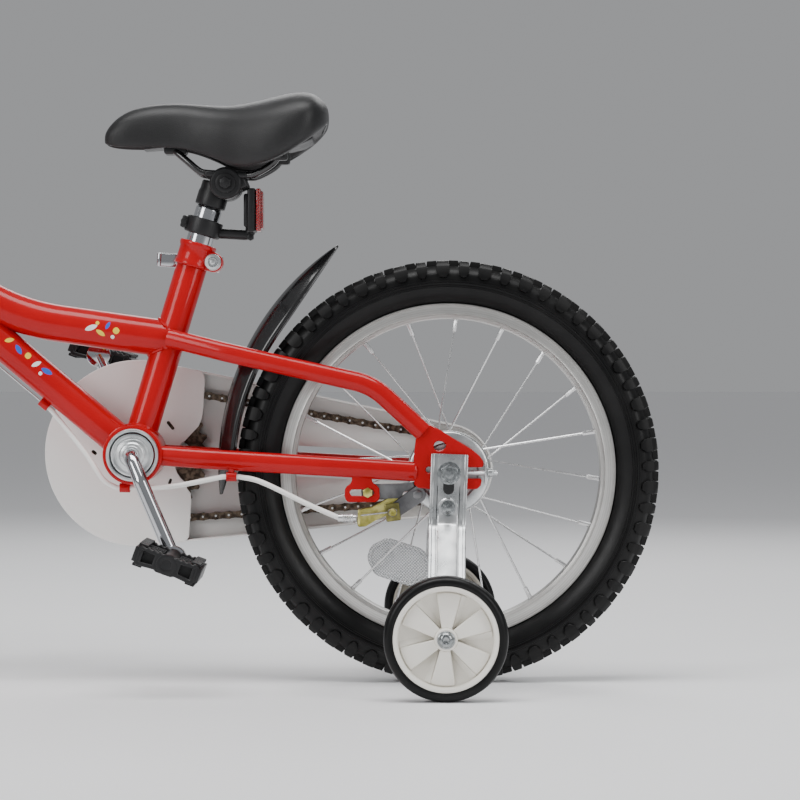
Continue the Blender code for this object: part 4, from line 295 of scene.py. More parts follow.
# %% Bare metals
rim_alloy = Finish("satin_rim_alloy", "alloy", (0.62, 0.61, 0.585), 0.38, 1.0)
reach = hub_distance(rim_alloy)
rings = (reach * 3100).wave() * 0.5 + 0.5
# The colour mixes the fine rings and a random tone with painted shade that darkens the rim's outer
# edge next to the tyre.
rings_tone_and_tyre_shade = rings * 0.3 + rim_alloy.noise(60, 4) * 0.4 + reach.between(0.1575, 0.161) * 0.5
rim_alloy.set("Base Color", rim_alloy.mixed(rings_tone_and_tyre_shade, (0.66, 0.652, 0.63), (0.36, 0.355, 0.34)))
rim_alloy.set("Roughness", rings * 0.1 + rim_alloy.noise(50, 3) * 0.14 + 0.28)
rim_alloy.relief(rings, 0.00006, 0.5)
alloy = Finish("cast_alloy", "alloy", (0.6, 0.6, 0.6), 0.34, 1.0)
alloy.blotched(25, 3, (0.52, 0.52, 0.525), (0.7, 0.7, 0.69))
alloy.rubbed(70, 4, 0.2, 0.24).grained(700, 2, 0.00008, 0.4)
chrome = Finish("chrome_plate", "chrome", (0.54, 0.55, 0.57), 0.09, 1.0)
chrome.set("Roughness", chrome.noise(35, 5).between(0.35, 0.8) * 0.1 + 0.05)
chrome.grained(160, 2, 0.00006, 0.25)
spoke_steel = Finish("spoke_steel", "zinc_plate", (0.72, 0.72, 0.72), 0.24, 1.0)
spoke_steel.rubbed(120, 3, 0.24, 0.16)
zinc = Finish("zinc_plate", "zinc_plate", (0.66, 0.67, 0.68), 0.32, 1.0)
spangle = zinc.noise(55, 5).between(0.3, 0.72)
zinc.set("Base Color", zinc.mixed(spangle, (0.56, 0.58, 0.585), (0.80, 0.81, 0.81)))
zinc.set("Roughness", spangle * 0.09 + zinc.noise(420, 2) * 0.06 + 0.24)
zinc.grained(380, 3, 0.00008, 0.35)
yellow_zinc = Finish("yellow_zinc_plate", "zinc_plate", (0.6, 0.5, 0.16), 0.36, 1.0)
yellow_zinc.blotched(120, 3, (0.42, 0.38, 0.09), (0.74, 0.68, 0.26), 0.3, 0.7)
yellow_zinc.rubbed(90, 3, 0.2, 0.28)
olive_zinc = Finish("olive_zinc_plate", "zinc_plate", (0.26, 0.24, 0.08), 0.34, 1.0)
olive_zinc.blotched(110, 3, (0.13, 0.115, 0.04), (0.36, 0.33, 0.12), 0.3, 0.7)
olive_zinc.rubbed(90, 3, 0.2, 0.24)
bolt_steel = Finish("bolt_steel", "zinc_plate", (0.4, 0.42, 0.43), 0.26, 1.0)
bolt_steel.blotched(300, 4, (0.2, 0.215, 0.22), (0.40, 0.42, 0.425), 0.3, 0.7)
bolt_steel.rubbed(90, 3, 0.2, 0.16)
dark_steel = Finish("dark_steel", "dark_steel", (0.2, 0.2, 0.205), 0.34, 1.0)
dark_steel.blotched(60, 4, (0.12, 0.12, 0.125), (0.26, 0.26, 0.265), 0.3, 0.7)
dark_steel.rubbed(90, 3, 0.2, 0.26)
chain_steel = Finish("oiled_chain_steel", "dark_steel", (0.09, 0.065, 0.05), 0.36, 1.0)
chain_steel.blotched(240, 4, (0.05, 0.038, 0.03), (0.2, 0.15, 0.11), 0.35, 0.7)
chain_steel.rubbed(150, 3, 0.3, 0.22)

# %% Plastics, lenses and the saddle's skin
white_plastic = Finish("white_plastic", "white_plastic", (0.78, 0.77, 0.73), 0.34,
                       Coat_Weight=0.15)
white_plastic.blotched(7, 4, (0.95, 0.94, 0.91), (0.90, 0.885, 0.85), 0.3, 0.75)
white_plastic.rubbed(40, 4, 0.16, 0.26).grained(500, 2, 0.00005, 0.3)
moulded_white = Finish("training_wheel_white", "white_plastic", (0.86, 0.84, 0.79), 0.36,
                       Coat_Weight=0.15)
# Painted shade: every surface lying deeper than the blade tops is darkened, mixed with a faint
# random tone.
painted_hollow_shade = 1 - moulded_white.axes()[1].absolute().between(0.1845, 0.1945)
shaded = moulded_white.noise(16, 3).between(0.2, 0.8) * 0.2 + painted_hollow_shade * 0.8
moulded_white.set("Base Color",
                  moulded_white.mixed(shaded, (0.93, 0.90, 0.83), (0.46, 0.43, 0.36)))
moulded_white.rubbed(40, 4, 0.16, 0.28)
black_plastic = Finish("black_plastic", "black_plastic", (0.01, 0.01, 0.0105), 0.38,
                       Specular_IOR_Level=0.35)
black_plastic.blotched(45, 4, (0.005, 0.005, 0.0055), (0.018, 0.018, 0.019))
black_plastic.rubbed(80, 4, 0.24, 0.26).grained(1100, 2, 0.00015, 0.45)
gloss_black = Finish("gloss_black_plastic", "black_plastic", (0.005, 0.005, 0.0055), 0.12,
                     Coat_Weight=0.6, Coat_Roughness=0.06)
gloss_black.blotched(14, 3, (0.003, 0.003, 0.0033), (0.009, 0.009, 0.0095))
gloss_black.rubbed(20, 4, 0.12, 0.18)
saddle_skin = Finish("saddle_skin", "saddle_skin", (0.008, 0.008, 0.0085), 0.46,
                     Specular_IOR_Level=0.42)
saddle_skin.blotched(18, 4, (0.006, 0.006, 0.0064), (0.017, 0.017, 0.0176), 0.3, 0.75)
pores = saddle_skin.node("TexVoronoi", {"feature": "SMOOTH_F1"},
                         {"Vector": saddle_skin.place(), "Scale": 1150.0})
saddle_skin.rubbed(30, 4, 0.18, 0.36)
saddle_skin.relief(pores + saddle_skin.noise(2300, 2) * 0.5, 0.00022, 0.55)
red_lens = Finish("red_reflector_lens", "red_lens", (0.52, 0.006, 0.008), 0.16, Coat_Weight=1.0,
                  Coat_Roughness=0.03)
clear_lens = Finish("clear_reflector_lens", "clear_lens", (0.75, 0.76, 0.77), 0.2, 0.25,
                    Coat_Weight=1.0, Coat_Roughness=0.03)
for lens_finish, low, high in ((red_lens, (0.12, 0.0005, 0.001), (0.40, 0.004, 0.005)),
                               (clear_lens, (0.30, 0.31, 0.32), (0.66, 0.67, 0.68))):
    x, y, z = lens_finish.axes()
    rising, falling = ((x + y + z) * 1050).wave(), ((x + y - z) * 1050).wave()
    prisms = rising.absolute() * falling.absolute()
    # Painted light and shade: the colour goes dark and bright with the prism facets, as well as
    # the bump.
    lens_finish.set("Base Color", lens_finish.mixed(prisms.between(0.05, 0.7), low, high))
    lens_finish.relief(prisms, 0.0006, 0.8)
floor_finish = Finish("pale_floor", None, (0.93, 0.93, 0.94), 0.6).rubbed(3, 4, 0.14, 0.52)
print("finishes:", len([m for m in bpy.data.materials if m.use_nodes]))

# %% [markdown]
# ## Modelling helpers
#
# Most of a bike is made from four moves: turn a section about an axle, sweep a ring along a
# bent line, cut a shape from sheet, and square up a block. Each helper starts a bmesh from one
# of Blender's create operators or a few vertices and lets spin, extrude and bevel do the work.
# Radii, sections, reaches and edge widths are in mm.

# %% Loops and soft edges
def closed_loop(work, points):
    """New edges round a loop of points."""
    verts = [work.verts.new(point) for point in points]
    return [work.edges.new(pair) for pair in zip(verts, verts[1:] + verts[:1])]


def extruded(work, way):
    """Extrudes all the faces along a vector."""
    new = bmesh.ops.extrude_face_region(work, geom=work.faces[:])["geom"]
    bmesh.ops.translate(work, vec=way, verts=[g for g in new if isinstance(g, bmesh.types.BMVert)])
    bmesh.ops.recalc_face_normals(work, faces=work.faces)


def softened(work, width, segments=2, sharper_than=30):
    """Rounds off every edge that is sharper than an angle."""
    limit = radians(sharper_than)
    edges = [e for e in work.edges if len(e.link_faces) == 2 and e.calc_face_angle(0) > limit]
    bmesh.ops.bevel(work, geom=edges, offset=width * mm, offset_type="OFFSET", segments=segments,
                    profile=0.5, affect="EDGES", material=-1, clamp_overlap=True)
    return work


# %% Turned pieces
def turned(section, centre, along=across, steps=96, edge=0.0):
    """Turns a section of (radius, distance) points about the line through a centre."""
    work = bmesh.new()
    along = along.normalized()
    outward = along.orthogonal().normalized()
    verts = [work.verts.new(centre + outward * (r * mm) + along * (d * mm)) for r, d in section]
    pairs = list(zip(verts, verts[1:]))
    if section[0][0] > 0 or section[-1][0] > 0:
        pairs.append((verts[-1], verts[0]))
    edges = [work.edges.new(pair) for pair in pairs]
    bmesh.ops.spin(work, geom=verts + edges, cent=centre, axis=along, angle=2 * pi, steps=steps,
                   use_merge=True)
    bmesh.ops.remove_doubles(work, verts=work.verts, dist=0.001 * mm)
    bmesh.ops.recalc_face_normals(work, faces=work.faces)
    return softened(work, edge) if edge else work


def tube(inner, outer, low, high, centre, along=across, steps=48, edge=0.3):
    """A turned ring or a short piece of pipe."""
    section = [(inner, low), (outer, low), (outer, high), (inner, high)]
    return turned(section, centre, along, steps, edge)


# %% Swept pieces
def line_frames(points):
    """A frame at each point of a line: its Z runs along the line, and it doesn't twist."""
    ways = []
    for index in range(len(points)):
        before, after = points[max(index - 1, 0)], points[min(index + 1, len(points) - 1)]
        ways.append((after - before).normalized())
    side = ways[0].orthogonal().normalized()
    frames = []
    for index, way in enumerate(ways):
        if index:
            side = ways[index - 1].rotation_difference(way) @ side
        side = (side - way * side.dot(way)).normalized()
        frame_matrix = Matrix((side, way.cross(side), way)).transposed().to_4x4()
        frames.append(Matrix.Translation(points[index]) @ frame_matrix)
    return frames


def swept(points, radius, sides=24, narrow=1.0):
    """A bar along points. radius is one number or one for each point; narrow squeezes it in Y."""
    points = [Vector((p.x, p.y / narrow, p.z)) for p in points]
    radii = radius if isinstance(radius, list) else [radius] * len(points)
    frames = line_frames(points)
    work = bmesh.new()
    ring = bmesh.ops.create_circle(work, cap_ends=False, segments=sides, radius=1.0)["verts"]
    rest = [vert.co.copy() for vert in ring]
    loop = list(work.edges)
    first_loop = loop
    for index, place in enumerate(frames):
        if index:
            new = bmesh.ops.extrude_edge_only(work, edges=loop)["geom"]
            loop = [g for g in new if isinstance(g, bmesh.types.BMEdge)
                    and all(v in new for v in g.verts)]
            fresh = [g for g in new if isinstance(g, bmesh.types.BMVert)]
            ring = matched(ring, fresh)
        for vert, spot in zip(ring, rest):
            vert.co = place @ (spot * (radii[index] * mm))
    bmesh.ops.edgeloop_fill(work, edges=first_loop)
    bmesh.ops.edgeloop_fill(work, edges=loop)
    bmesh.ops.scale(work, vec=(1, narrow, 1), verts=work.verts)
    bmesh.ops.recalc_face_normals(work, faces=work.faces)
    return work


def matched(ring, fresh):
    """The extruded vertices in the order of the ring that they came from."""
    pool = set(fresh)
    order = []
    for vert in ring:
        order.append(next(e.other_vert(vert) for e in vert.link_edges
                          if e.other_vert(vert) in pool))
    return order


def rod(start, end, radius, sides=32, edge=0.4):
    """A straight round bar with eased ends; six sides make a nut or a bolt's head."""
    work = bmesh.new()
    length = (end - start).length
    turn = (end - start).to_track_quat("Z", "Y").to_matrix().to_4x4()
    bmesh.ops.create_cone(work, cap_ends=True, segments=sides, radius1=radius * mm,
                          radius2=radius * mm, depth=length,
                          matrix=Matrix.Translation((start + end) / 2) @ turn)
    return softened(work, edge, sharper_than=50) if edge else work


# %% Cut and squared pieces
def sheet_cut(outline, low, high, holes=(), edge=0.4, place=None):
    """Sheet cut to an (x, z) outline with holes, between two distances across the bike."""
    low, high = sorted((low * mm, high * mm))
    work = bmesh.new()
    for loop in (outline, *holes):
        closed_loop(work, [(x, low, z) for x, z in loop])
    if holes:
        bmesh.ops.triangle_fill(work, use_beauty=True, use_dissolve=False, edges=work.edges)
    else:
        bmesh.ops.contextual_create(work, geom=work.verts[:])
    extruded(work, (0, high - low, 0))
    if place:
        work.transform(place)
    return softened(work, edge, 1, 40) if edge else work


def tilted(degrees):
    """A turn about the line across the bike."""
    return Matrix.Rotation(radians(degrees), 3, "Y")


def pin(spot, way, near, far, radius, sides=32, edge=0.4):
    """A rod between two distances from a point, in mm along a direction."""
    return rod(spot + way * near * mm, spot + way * far * mm, radius, sides, edge)


def block(centre, size, turn=None, edge=0.8, segments=2):
    """A squared block with eased edges."""
    work = bmesh.new()
    place = Matrix.Translation(centre) @ (turn.to_4x4() if turn else Matrix.Identity(4))
    bmesh.ops.create_cube(work, size=1.0)
    bmesh.ops.scale(work, vec=[s * mm for s in size], verts=work.verts)
    bmesh.ops.bevel(work, geom=work.edges[:], offset=edge * mm, segments=segments, profile=0.5,
                    affect="EDGES", material=-1)
    work.transform(place)
    return work


# %% Many shapes as one piece
def gathered(*works):
    """Several bmeshes as one."""
    whole = bmesh.new()
    for work in works:
        scrap = bpy.data.meshes.new("scrap")
        work.to_mesh(scrap)
        work.free()
        whole.from_mesh(scrap)
        bpy.data.meshes.remove(scrap)
    return whole


def stamped(pattern, places):
    """The same small shape at many places; the pattern is used up."""
    scrap = bpy.data.meshes.new("pattern")
    pattern.to_mesh(scrap)
    pattern.free()
    whole = bmesh.new()
    for place in places:
        count = len(whole.verts)
        whole.from_mesh(scrap)
        whole.verts.ensure_lookup_table()
        bmesh.ops.transform(whole, matrix=place, verts=whole.verts[count:])
    bpy.data.meshes.remove(scrap)
    return whole


triangles = {}


def piece(name, work, finish, body, node=None, crease=35):
    """Finishes a bmesh as a piece of the bike that rides on a body, or on none yet.

    It stands for the CAD node of the same name, if there is one, or for the given node."""
    bmesh.ops.remove_doubles(work, verts=work.verts, dist=0.002 * mm)
    bmesh.ops.recalc_face_normals(work, faces=work.faces)
    mesh = bpy.data.meshes.new(f"{name}_look")
    work.to_mesh(mesh)
    work.free()
    mesh.materials.append(finish.material)
    mesh.shade_smooth()
    mesh.set_sharp_from_angle(angle=radians(crease))
    made = bpy.data.objects.new(f"{name}_look", mesh)
    bpy.context.scene.collection.objects.link(made)
    if body:
        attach(made, body)
    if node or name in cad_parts:
        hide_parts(node or name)
    triangles[name] = sum(len(face.vertices) - 2 for face in mesh.polygons)
    return made


# %% Routes and outlines
def rounded(points, radius, steps=8):
    """A route with each of its corners turned into an arc."""
    route = [points[0]]
    for before, corner, after in zip(points, points[1:], points[2:]):
        inward, outward = (before - corner).normalized(), (after - corner).normalized()
        half = inward.angle(outward) / 2
        room = min((before - corner).length, (after - corner).length) * 0.48
        reach = min(radius * mm / tan(half), room)
        centre = corner + (inward + outward).normalized() * (reach / cos(half))
        start, end = corner + inward * reach - centre, corner + outward * reach - centre
        turn = start.angle(end)
        for step in range(steps + 1):
            share = step / steps
            route.append(centre + (start * sin((1 - share) * turn) + end * sin(share * turn))
                         / sin(turn))
    return route + [points[-1]]


def smooth(points, steps=8):
    """Points on a smooth curve through a route's own points."""
    ends = [points[0] * 2 - points[1], *points, points[-1] * 2 - points[-2]]
    route = []
    for a, b, c, d in zip(ends, ends[1:], ends[2:], ends[3:]):
        for step in range(steps):
            t = step / steps
            route.append(0.5 * ((2 * b) + (c - a) * t + (2 * a - 5 * b + 4 * c - d) * t ** 2
                                + (3 * b - a - 3 * c + d) * t ** 3))
    return route + [points[-1]]


def around(centre, shape):
    """The (x, z) outline of a shape that is given in mm from a centre."""
    return [(centre.x + x * mm, centre.z + z * mm) for x, z in shape]


def flat_pair(point):
    return (point.x, point.z)


def circle(centre, radius, sides=32):
    """An (x, z) outline round a point, for holes and discs."""
    return [(centre.x + radius * mm * cos(2 * pi * i / sides),
             centre.z + radius * mm * sin(2 * pi * i / sides)) for i in range(sides)]


# %% Floor
floor_work = bmesh.new()
bmesh.ops.create_grid(floor_work, x_segments=2, y_segments=2, size=30.0)
floor_mesh = bpy.data.meshes.new("floor")
floor_work.to_mesh(floor_mesh)
floor_work.free()
floor_mesh.materials.append(floor_finish.material)
floor = bpy.data.objects.new("floor", floor_mesh)
bpy.context.scene.collection.objects.link(floor)

# %% [markdown]
# ## Wheels
#
# A knobby tyre is a smooth casing with rubber lugs moulded on. The casing is a section turned
# about the axle, with two thin ribs on each sidewall. A lug starts as a small outline, is
# extruded to its width and bevelled, and is stamped round the tyre. Every second shoulder lug is
# narrower, and two rows of blocks run along the crown, half a step apart.

# %% Places of the axles and the tyre's sizes
rear_axle = Vector((half_wheelbase, 0, wheel_height))
front_axle = Vector((-half_wheelbase, 0, wheel_height))
wheels = {"rear": rear_axle, "front": front_axle}
lugs_each_side = 60
casing = [(158.5, 9.5), (161.5, 11.6), (163.5, 14.2), (167, 17.2), (171, 19.6), (175.4, 21.4),
          (177.0, 21.9), (177.4, 23.3), (178.8, 23.4), (179.2, 22.2), (181.2, 22.5), (181.6, 24.1),
          (183.4, 24.1), (183.8, 22.6), (187, 22.1), (190, 21.2), (193, 19.0), (195.5, 16.2),
          (197.2, 12), (198.2, 7), (198.4, 0)]
shoulder_lug = [(185.6, 20.6), (186.4, 24.6), (191.5, 24.9), (197.5, 23.2), (202.0, 18.6),
                (202.8, 13.4), (196.6, 11.6)]
crown_lug = [(197.6, 0.7), (202.9, 1.2), (202.9, 8.4), (197.2, 9.4)]


def lug(section, length, narrowing, side, centre):
    """One lug at the top of the tyre: its section extruded along the tread and bevelled."""
    work = bmesh.new()
    near = centre.x - length * mm / 2
    verts = [work.verts.new((near, side * y * mm, centre.z + r * mm)) for r, y in section]
    bmesh.ops.contextual_create(work, geom=verts)
    extruded(work, (length * mm, 0, 0))
    top = [v for v in work.verts if v.co.z > centre.z + 199 * mm]
    foot = [v for v in work.verts if v.co.z < centre.z + 190 * mm]
    for verts, share in ((top, narrowing), (foot, 0.42)):
        bmesh.ops.scale(work, vec=(share, 1, 1), verts=verts,
                        space=Matrix.Translation((-centre.x, 0, 0)))
    bmesh.ops.bevel(work, geom=work.edges[:], offset=0.5 * mm, segments=1, profile=0.5,
                    affect="EDGES", material=-1)
    return work


def about_axle(centre, angle):
    """A turn about a wheel's axle."""
    turn = Matrix.Rotation(angle, 4, "Y")
    return Matrix.Translation(centre) @ turn @ Matrix.Translation(-centre)


def both_halves(section):
    """A whole section from its half on the right side."""
    whole = section + [(r, -d) for r, d in reversed(section)]
    return [pair for i, pair in enumerate(whole) if pair != whole[i - 1]]


for wheel, centre in wheels.items():
    works = [turned(both_halves(casing), centre, steps=144)]
    step = 2 * pi / lugs_each_side
    for side in (-1, 1):
        stagger = 0.25 * step * side
        for number, (length, narrowing) in enumerate(((13.5, 0.8), (10.5, 0.74))):
            angles = [stagger + (2 * i + number) * step for i in range(lugs_each_side // 2)]
            works.append(stamped(lug(shoulder_lug, length, narrowing, side, centre),
                                 [about_axle(centre, a) for a in angles]))
        angles = [step * (i + 0.5 + 0.25 * side) for i in range(lugs_each_side)]
        works.append(stamped(lug(crown_lug, 10.5, 0.86, side, centre),
                             [about_axle(centre, a) for a in angles]))
    piece(f"{wheel}_tyre", gathered(*works), tyre_rubber, f"{wheel}_wheel")
print("tyres:", triangles["rear_tyre"], triangles["front_tyre"], "triangles")

# %% [markdown]
# ## Rims, spokes and nipples
#
# The rim is a hollow alloy section with flat braking walls and a shallow well. Twenty spokes
# pull between it and the hub's two flanges. Each leaves its flange at a tangent through an elbow
# and screws into a nipple at the rim. The tangents are why the spokes cross near the hub.

# %% Rims
rim_section = [(147.2, 5.5), (146.6, 8.2), (147.4, 10.6), (151.0, 12.9), (151.5, 13.6),
               (152.3, 13.2), (159.2, 13.4), (159.9, 14.0), (161.2, 14.0), (161.7, 13.2),
               (161.4, 12.0), (157.4, 11.7), (155.2, 9.0), (154.6, 0)]
valve_angle = radians(186)
valve_way = Vector((sin(valve_angle), 0, cos(valve_angle)))
for wheel, centre in wheels.items():
    rim = turned(both_halves(rim_section), centre, steps=160)
    piece(f"{wheel}_rim", rim, rim_alloy, f"{wheel}_wheel")
    stem_foot, stem_tip = centre + valve_way * 147 * mm, centre + valve_way * 117 * mm
    valve = [rod(stem_foot, stem_foot.lerp(stem_tip, 0.62), 3.4, 24),
             rod(stem_foot.lerp(stem_tip, 0.6), stem_foot.lerp(stem_tip, 0.78), 2.5, 16),
             rod(stem_foot.lerp(stem_tip, 0.76), stem_tip, 4.0, 20, 0.8)]
    piece(f"{wheel}_valve", gathered(*valve), black_plastic, f"{wheel}_wheel")
print("rims:", triangles["rear_rim"], triangles["front_rim"], "triangles")

# %% Spokes
spokes_per_side, spoke_turn, first_spoke = 10, radians(72), radians(3)
flanges = {"rear": 22 * mm, "front": 30 * mm}  # how far a flange is from the middle of the bike
hub_circle, rim_circle = 16 * mm, 145.4 * mm


def spoke_line(wheel, side, number):
    """The two ends of a spoke: inside its flange, and where it enters the rim."""
    offset = 0 if side < 0 else pi / spokes_per_side
    rim_angle = first_spoke + offset + 2 * pi * number / spokes_per_side
    hub_angle = rim_angle + (spoke_turn if number % 2 else -spoke_turn)
    inside_flange = side * (flanges[wheel] - 1.3 * mm)
    hub_spot = Vector((hub_circle * sin(hub_angle), inside_flange, hub_circle * cos(hub_angle)))
    rim_spot = Vector((rim_circle * sin(rim_angle), side * 3 * mm, rim_circle * cos(rim_angle)))
    return wheels[wheel] + hub_spot, wheels[wheel] + rim_spot


for wheel in wheels:
    for label, side in both_sides:
        works = []
        for number in range(spokes_per_side):
            hub_end, rim_end = spoke_line(wheel, side, number)
            along = (rim_end - hub_end).normalized()
            out = across * side
            elbow = [hub_end + out * 5.2 * mm, hub_end + out * 2 * mm, hub_end + along * 2.6 * mm]
            works += [swept(rounded(elbow + [rim_end], 2.4, 4), 1.0, 10),
                      pin(hub_end, out, 4.9, 6.1, 1.9, 12, 0.3),
                      swept([rim_end - along * 11 * mm, rim_end - along * 10 * mm,
                             rim_end - along * 2 * mm, rim_end + along * 1.5 * mm],
                            [1.5, 2.0, 2.0, 2.3], 8)]
        piece(f"{wheel}_spokes_{label}", gathered(*works), spoke_steel, f"{wheel}_wheel")
print("spokes:", sum(triangles[n] for n in triangles if "spokes" in n), "triangles")

# %% [markdown]
# ## Hubs and axles
#
# A hub is a turned barrel with two flanges. The rear one also carries the brake drum on the left
# and the sprocket's thread on the right. The threaded axle stays still in the frame, with a cone
# on each side, a washer and a nut. A turned section with a small bevel gives them all.

# %% Hubs
front_hub = turned(both_halves([(5.1, 36), (9, 36), (12, 33.4), (12, 33), (20, 33), (20, 30),
                                (12.4, 30), (11, 24), (10.4, 0)]), front_axle, steps=64, edge=0.4)
piece("front_hub", front_hub, chrome, "front_wheel")
hub_section = [(5.1, 48), (12.7, 48), (12.7, 25), (20, 25), (20, 22), (12.4, 22), (11.4, 16),
               (11.4, -16), (12.4, -22), (20, -22), (20, -25), (12, -25), (12, -28), (34, -28),
               (34, -43), (5.1, -43)]
rear_hub = turned(hub_section, rear_axle, steps=72, edge=0.4)
piece("rear_hub", rear_hub, zinc, "rear_wheel")


# %% Axles, cones, washers and nuts
def axle_stack(centre, sides):
    """The axle with its cones, washers and nuts. Each side gives cone, washer and nut reaches."""
    works, ends = [], []
    for side, (cone_near, cone_far, washer_near, washer_far, nut_far) in sides.items():
        out = across * side
        works += [turned([(4.6, cone_near), (8, cone_near), (8.5, cone_near + 2.5),
                          (8.5, cone_far), (4.6, cone_far)], centre, out, 32, 0.3),
                  tube(4.7, 11, washer_near, washer_far, centre, out, 40),
                  pin(centre, out, washer_far, nut_far, 9, 6, 0.7),
                  turned([(4.6, nut_far - 1), (7.6, nut_far - 1), (7.2, nut_far + 0.7),
                          (4.6, nut_far + 0.7)], centre, out, 32)]
        ends.append(centre + out * (nut_far + 5) * mm)
    middle = (ends[0] + ends[1]) / 2
    half = (ends[0] - ends[1]).length / 2 / mm
    steps = int(half * 2 / 0.6)
    threads = [(4.72 - 0.22 * (step % 2), -half + step * 2 * half / steps)
               for step in range(steps + 1)]
    works.append(turned([(0, -half - 0.3), *threads, (0, half + 0.3)], middle, across, 20))
    return gathered(*works)


front_sides = {side: (36.6, 47.6, 52.3, 54.3, 62.3) for side in (-1, 1)}
piece("front_axle", axle_stack(front_axle, front_sides), bolt_steel, "steering")
rear_sides = {-1: (43.4, 57.6, 68.9, 70.9, 78.9), 1: (48.4, 57.6, 68.9, 70.9, 78.9)}
rear_stack = gathered(axle_stack(rear_axle, rear_sides),
                      pin(rear_axle, across, -49.2, -57.5, 12, 6, 0.7))
piece("rear_axle", rear_stack, bolt_steel, "frame")
print("hubs and axles:", triangles["front_hub"] + triangles["rear_hub"], triangles["rear_axle"])

# %% [markdown]
# ## Spoke reflector
#
# A clear moulded lens with a smooth raised border round a field of small prisms, clipped between
# two spokes. The border is inset from the outline and pushed up; the prisms are in the finish, as
# a bump and as painted light and dark facets in the colour.

# %% Spoke reflector
middle_angle, lens_tilt = radians(208), radians(-18)
lens_middle = rear_axle + Vector((sin(middle_angle), 0, cos(middle_angle))) * 100 * mm
lens_shape = [(-31, -4), (-29, -8.5), (-20, -17.5), (-15, -19), (15, -19), (20, -17.5), (29, -8.5),
              (31, -4), (31, 4), (29, 8.5), (20, 17.5), (15, 19), (-15, 19), (-20, 17.5),
              (-29, 8.5), (-31, 4)]
turn, tilt = cos(lens_tilt), sin(lens_tilt)
lens_outline = around(lens_middle, [(x * turn - z * tilt, x * tilt + z * turn)
                                    for x, z in lens_shape])
reflector = sheet_cut(lens_outline, -4, 4, edge=0.8)
for side in (-1, 1):
    wide = [f for f in reflector.faces
            if f.normal.y * side > 0.9 and f.calc_area() > 500 * mm * mm]
    bmesh.ops.inset_region(reflector, faces=wide, thickness=2.6 * mm, depth=0)
    bmesh.ops.inset_region(reflector, faces=wide, thickness=0.5 * mm, depth=-0.9 * mm)
clips = []
for number in (5, 6):
    hub_end, rim_end = spoke_line("rear", -1, number)
    for share in (0.56, 0.66):
        point = hub_end.lerp(rim_end, share)
        offset = point - lens_middle
        along = abs(offset.x * turn + offset.z * tilt)
        over = abs(offset.z * turn - offset.x * tilt)
        if along < 25 * mm and over < 16 * mm:
            clips.append(rod(Vector((point.x, point.y + 1.9 * mm, point.z)),
                             Vector((point.x, 0, point.z)), 2.5, 16))
piece("spoke_reflector", gathered(reflector, *clips), clear_lens, "rear_wheel")
print("reflector:", triangles["spoke_reflector"], "triangles")

# %% [markdown]
# ## The welded frame
#
# The frame is round tube, bent and welded. Each tube is a ring swept along its own line: the
# seat tube is straight, the top tube bends up to the head, and the stays are squeezed flat. A
# weld is a row of small puddles, so its bead follows the true line where two tubes meet, and
# its thickness ripples. The fork ends are plate, cut with a slot for the axle.

# %% Lines of the tubes
bottom_bracket = Vector((0.06781, 0, 0.219))
crown = Vector((-0.24408, 0, 0.44173))
steer_up = Vector((cos(radians(69)), 0, sin(radians(69))))
steer_forward = Vector((-steer_up.z, 0, steer_up.x))
seat_up = Vector((cos(radians(73.2)), 0, sin(radians(73.2))))
seat_back = Vector((seat_up.z, 0, -seat_up.x))


def at_seat(along, back=0.0, side=0.0):
    """A point up the seat tube from the bottom bracket, behind it and beside it, in mm."""
    return bottom_bracket + seat_up * along * mm + seat_back * back * mm + across * side * mm


def at_fork(up, forward=0.0, side=0.0):
    """A point up the steering axis from the crown, in front of it and beside it, in mm."""
    return crown + steer_up * up * mm + steer_forward * forward * mm + across * side * mm


def by_axle(forward, up, side=0.0):
    """A point in front of, above and beside the rear axle, in mm."""
    return rear_axle + Vector((-forward, side, up)) * mm


def top_tube_line():
    """Straight from the seat tube, then one long bend up to the head tube."""
    start = bottom_bracket + seat_up * (111 * mm / seat_up.z)
    low, high, bend_radius = radians(8), radians(53), 0.2
    slope, steep = (Vector((-cos(a), 0, sin(a))) for a in (low, high))
    square_low, square_high = Vector((slope.z, 0, -slope.x)), Vector((steep.z, 0, -steep.x))
    meeting = at_fork(87.7)
    bend = (square_low - square_high) * bend_radius
    straight = (meeting - start - bend).dot(square_high) / slope.dot(square_high)
    centre = start + slope * straight + square_low * bend_radius
    line = [start]
    for step in range(19):
        turn = low + (high - low) * step / 18
        line.append(centre + Vector((-sin(turn), 0, -cos(turn))) * bend_radius)
    return line + [meeting]


top_line = top_tube_line()
down_line = [bottom_bracket.copy(), at_fork(31.6)]
down_slope = (down_line[1] - down_line[0]).normalized()


def chainstay_line(side):
    waist = bottom_bracket + Vector((74, side * 34, -16 * 74 / 302.2)) * mm
    return rounded([bottom_bracket + Vector((12, side * 22, 0)) * mm, waist,
                    by_axle(29, 1, side * 60.5)], 120, 10)


def seatstay_line(side):
    return rounded([at_seat(112 / seat_up.z, 1, side * 19), by_axle(212, 114, side * 36),
                    by_axle(73, 83, side * 58), by_axle(24, 38, side * 60.5)], 60, 8)


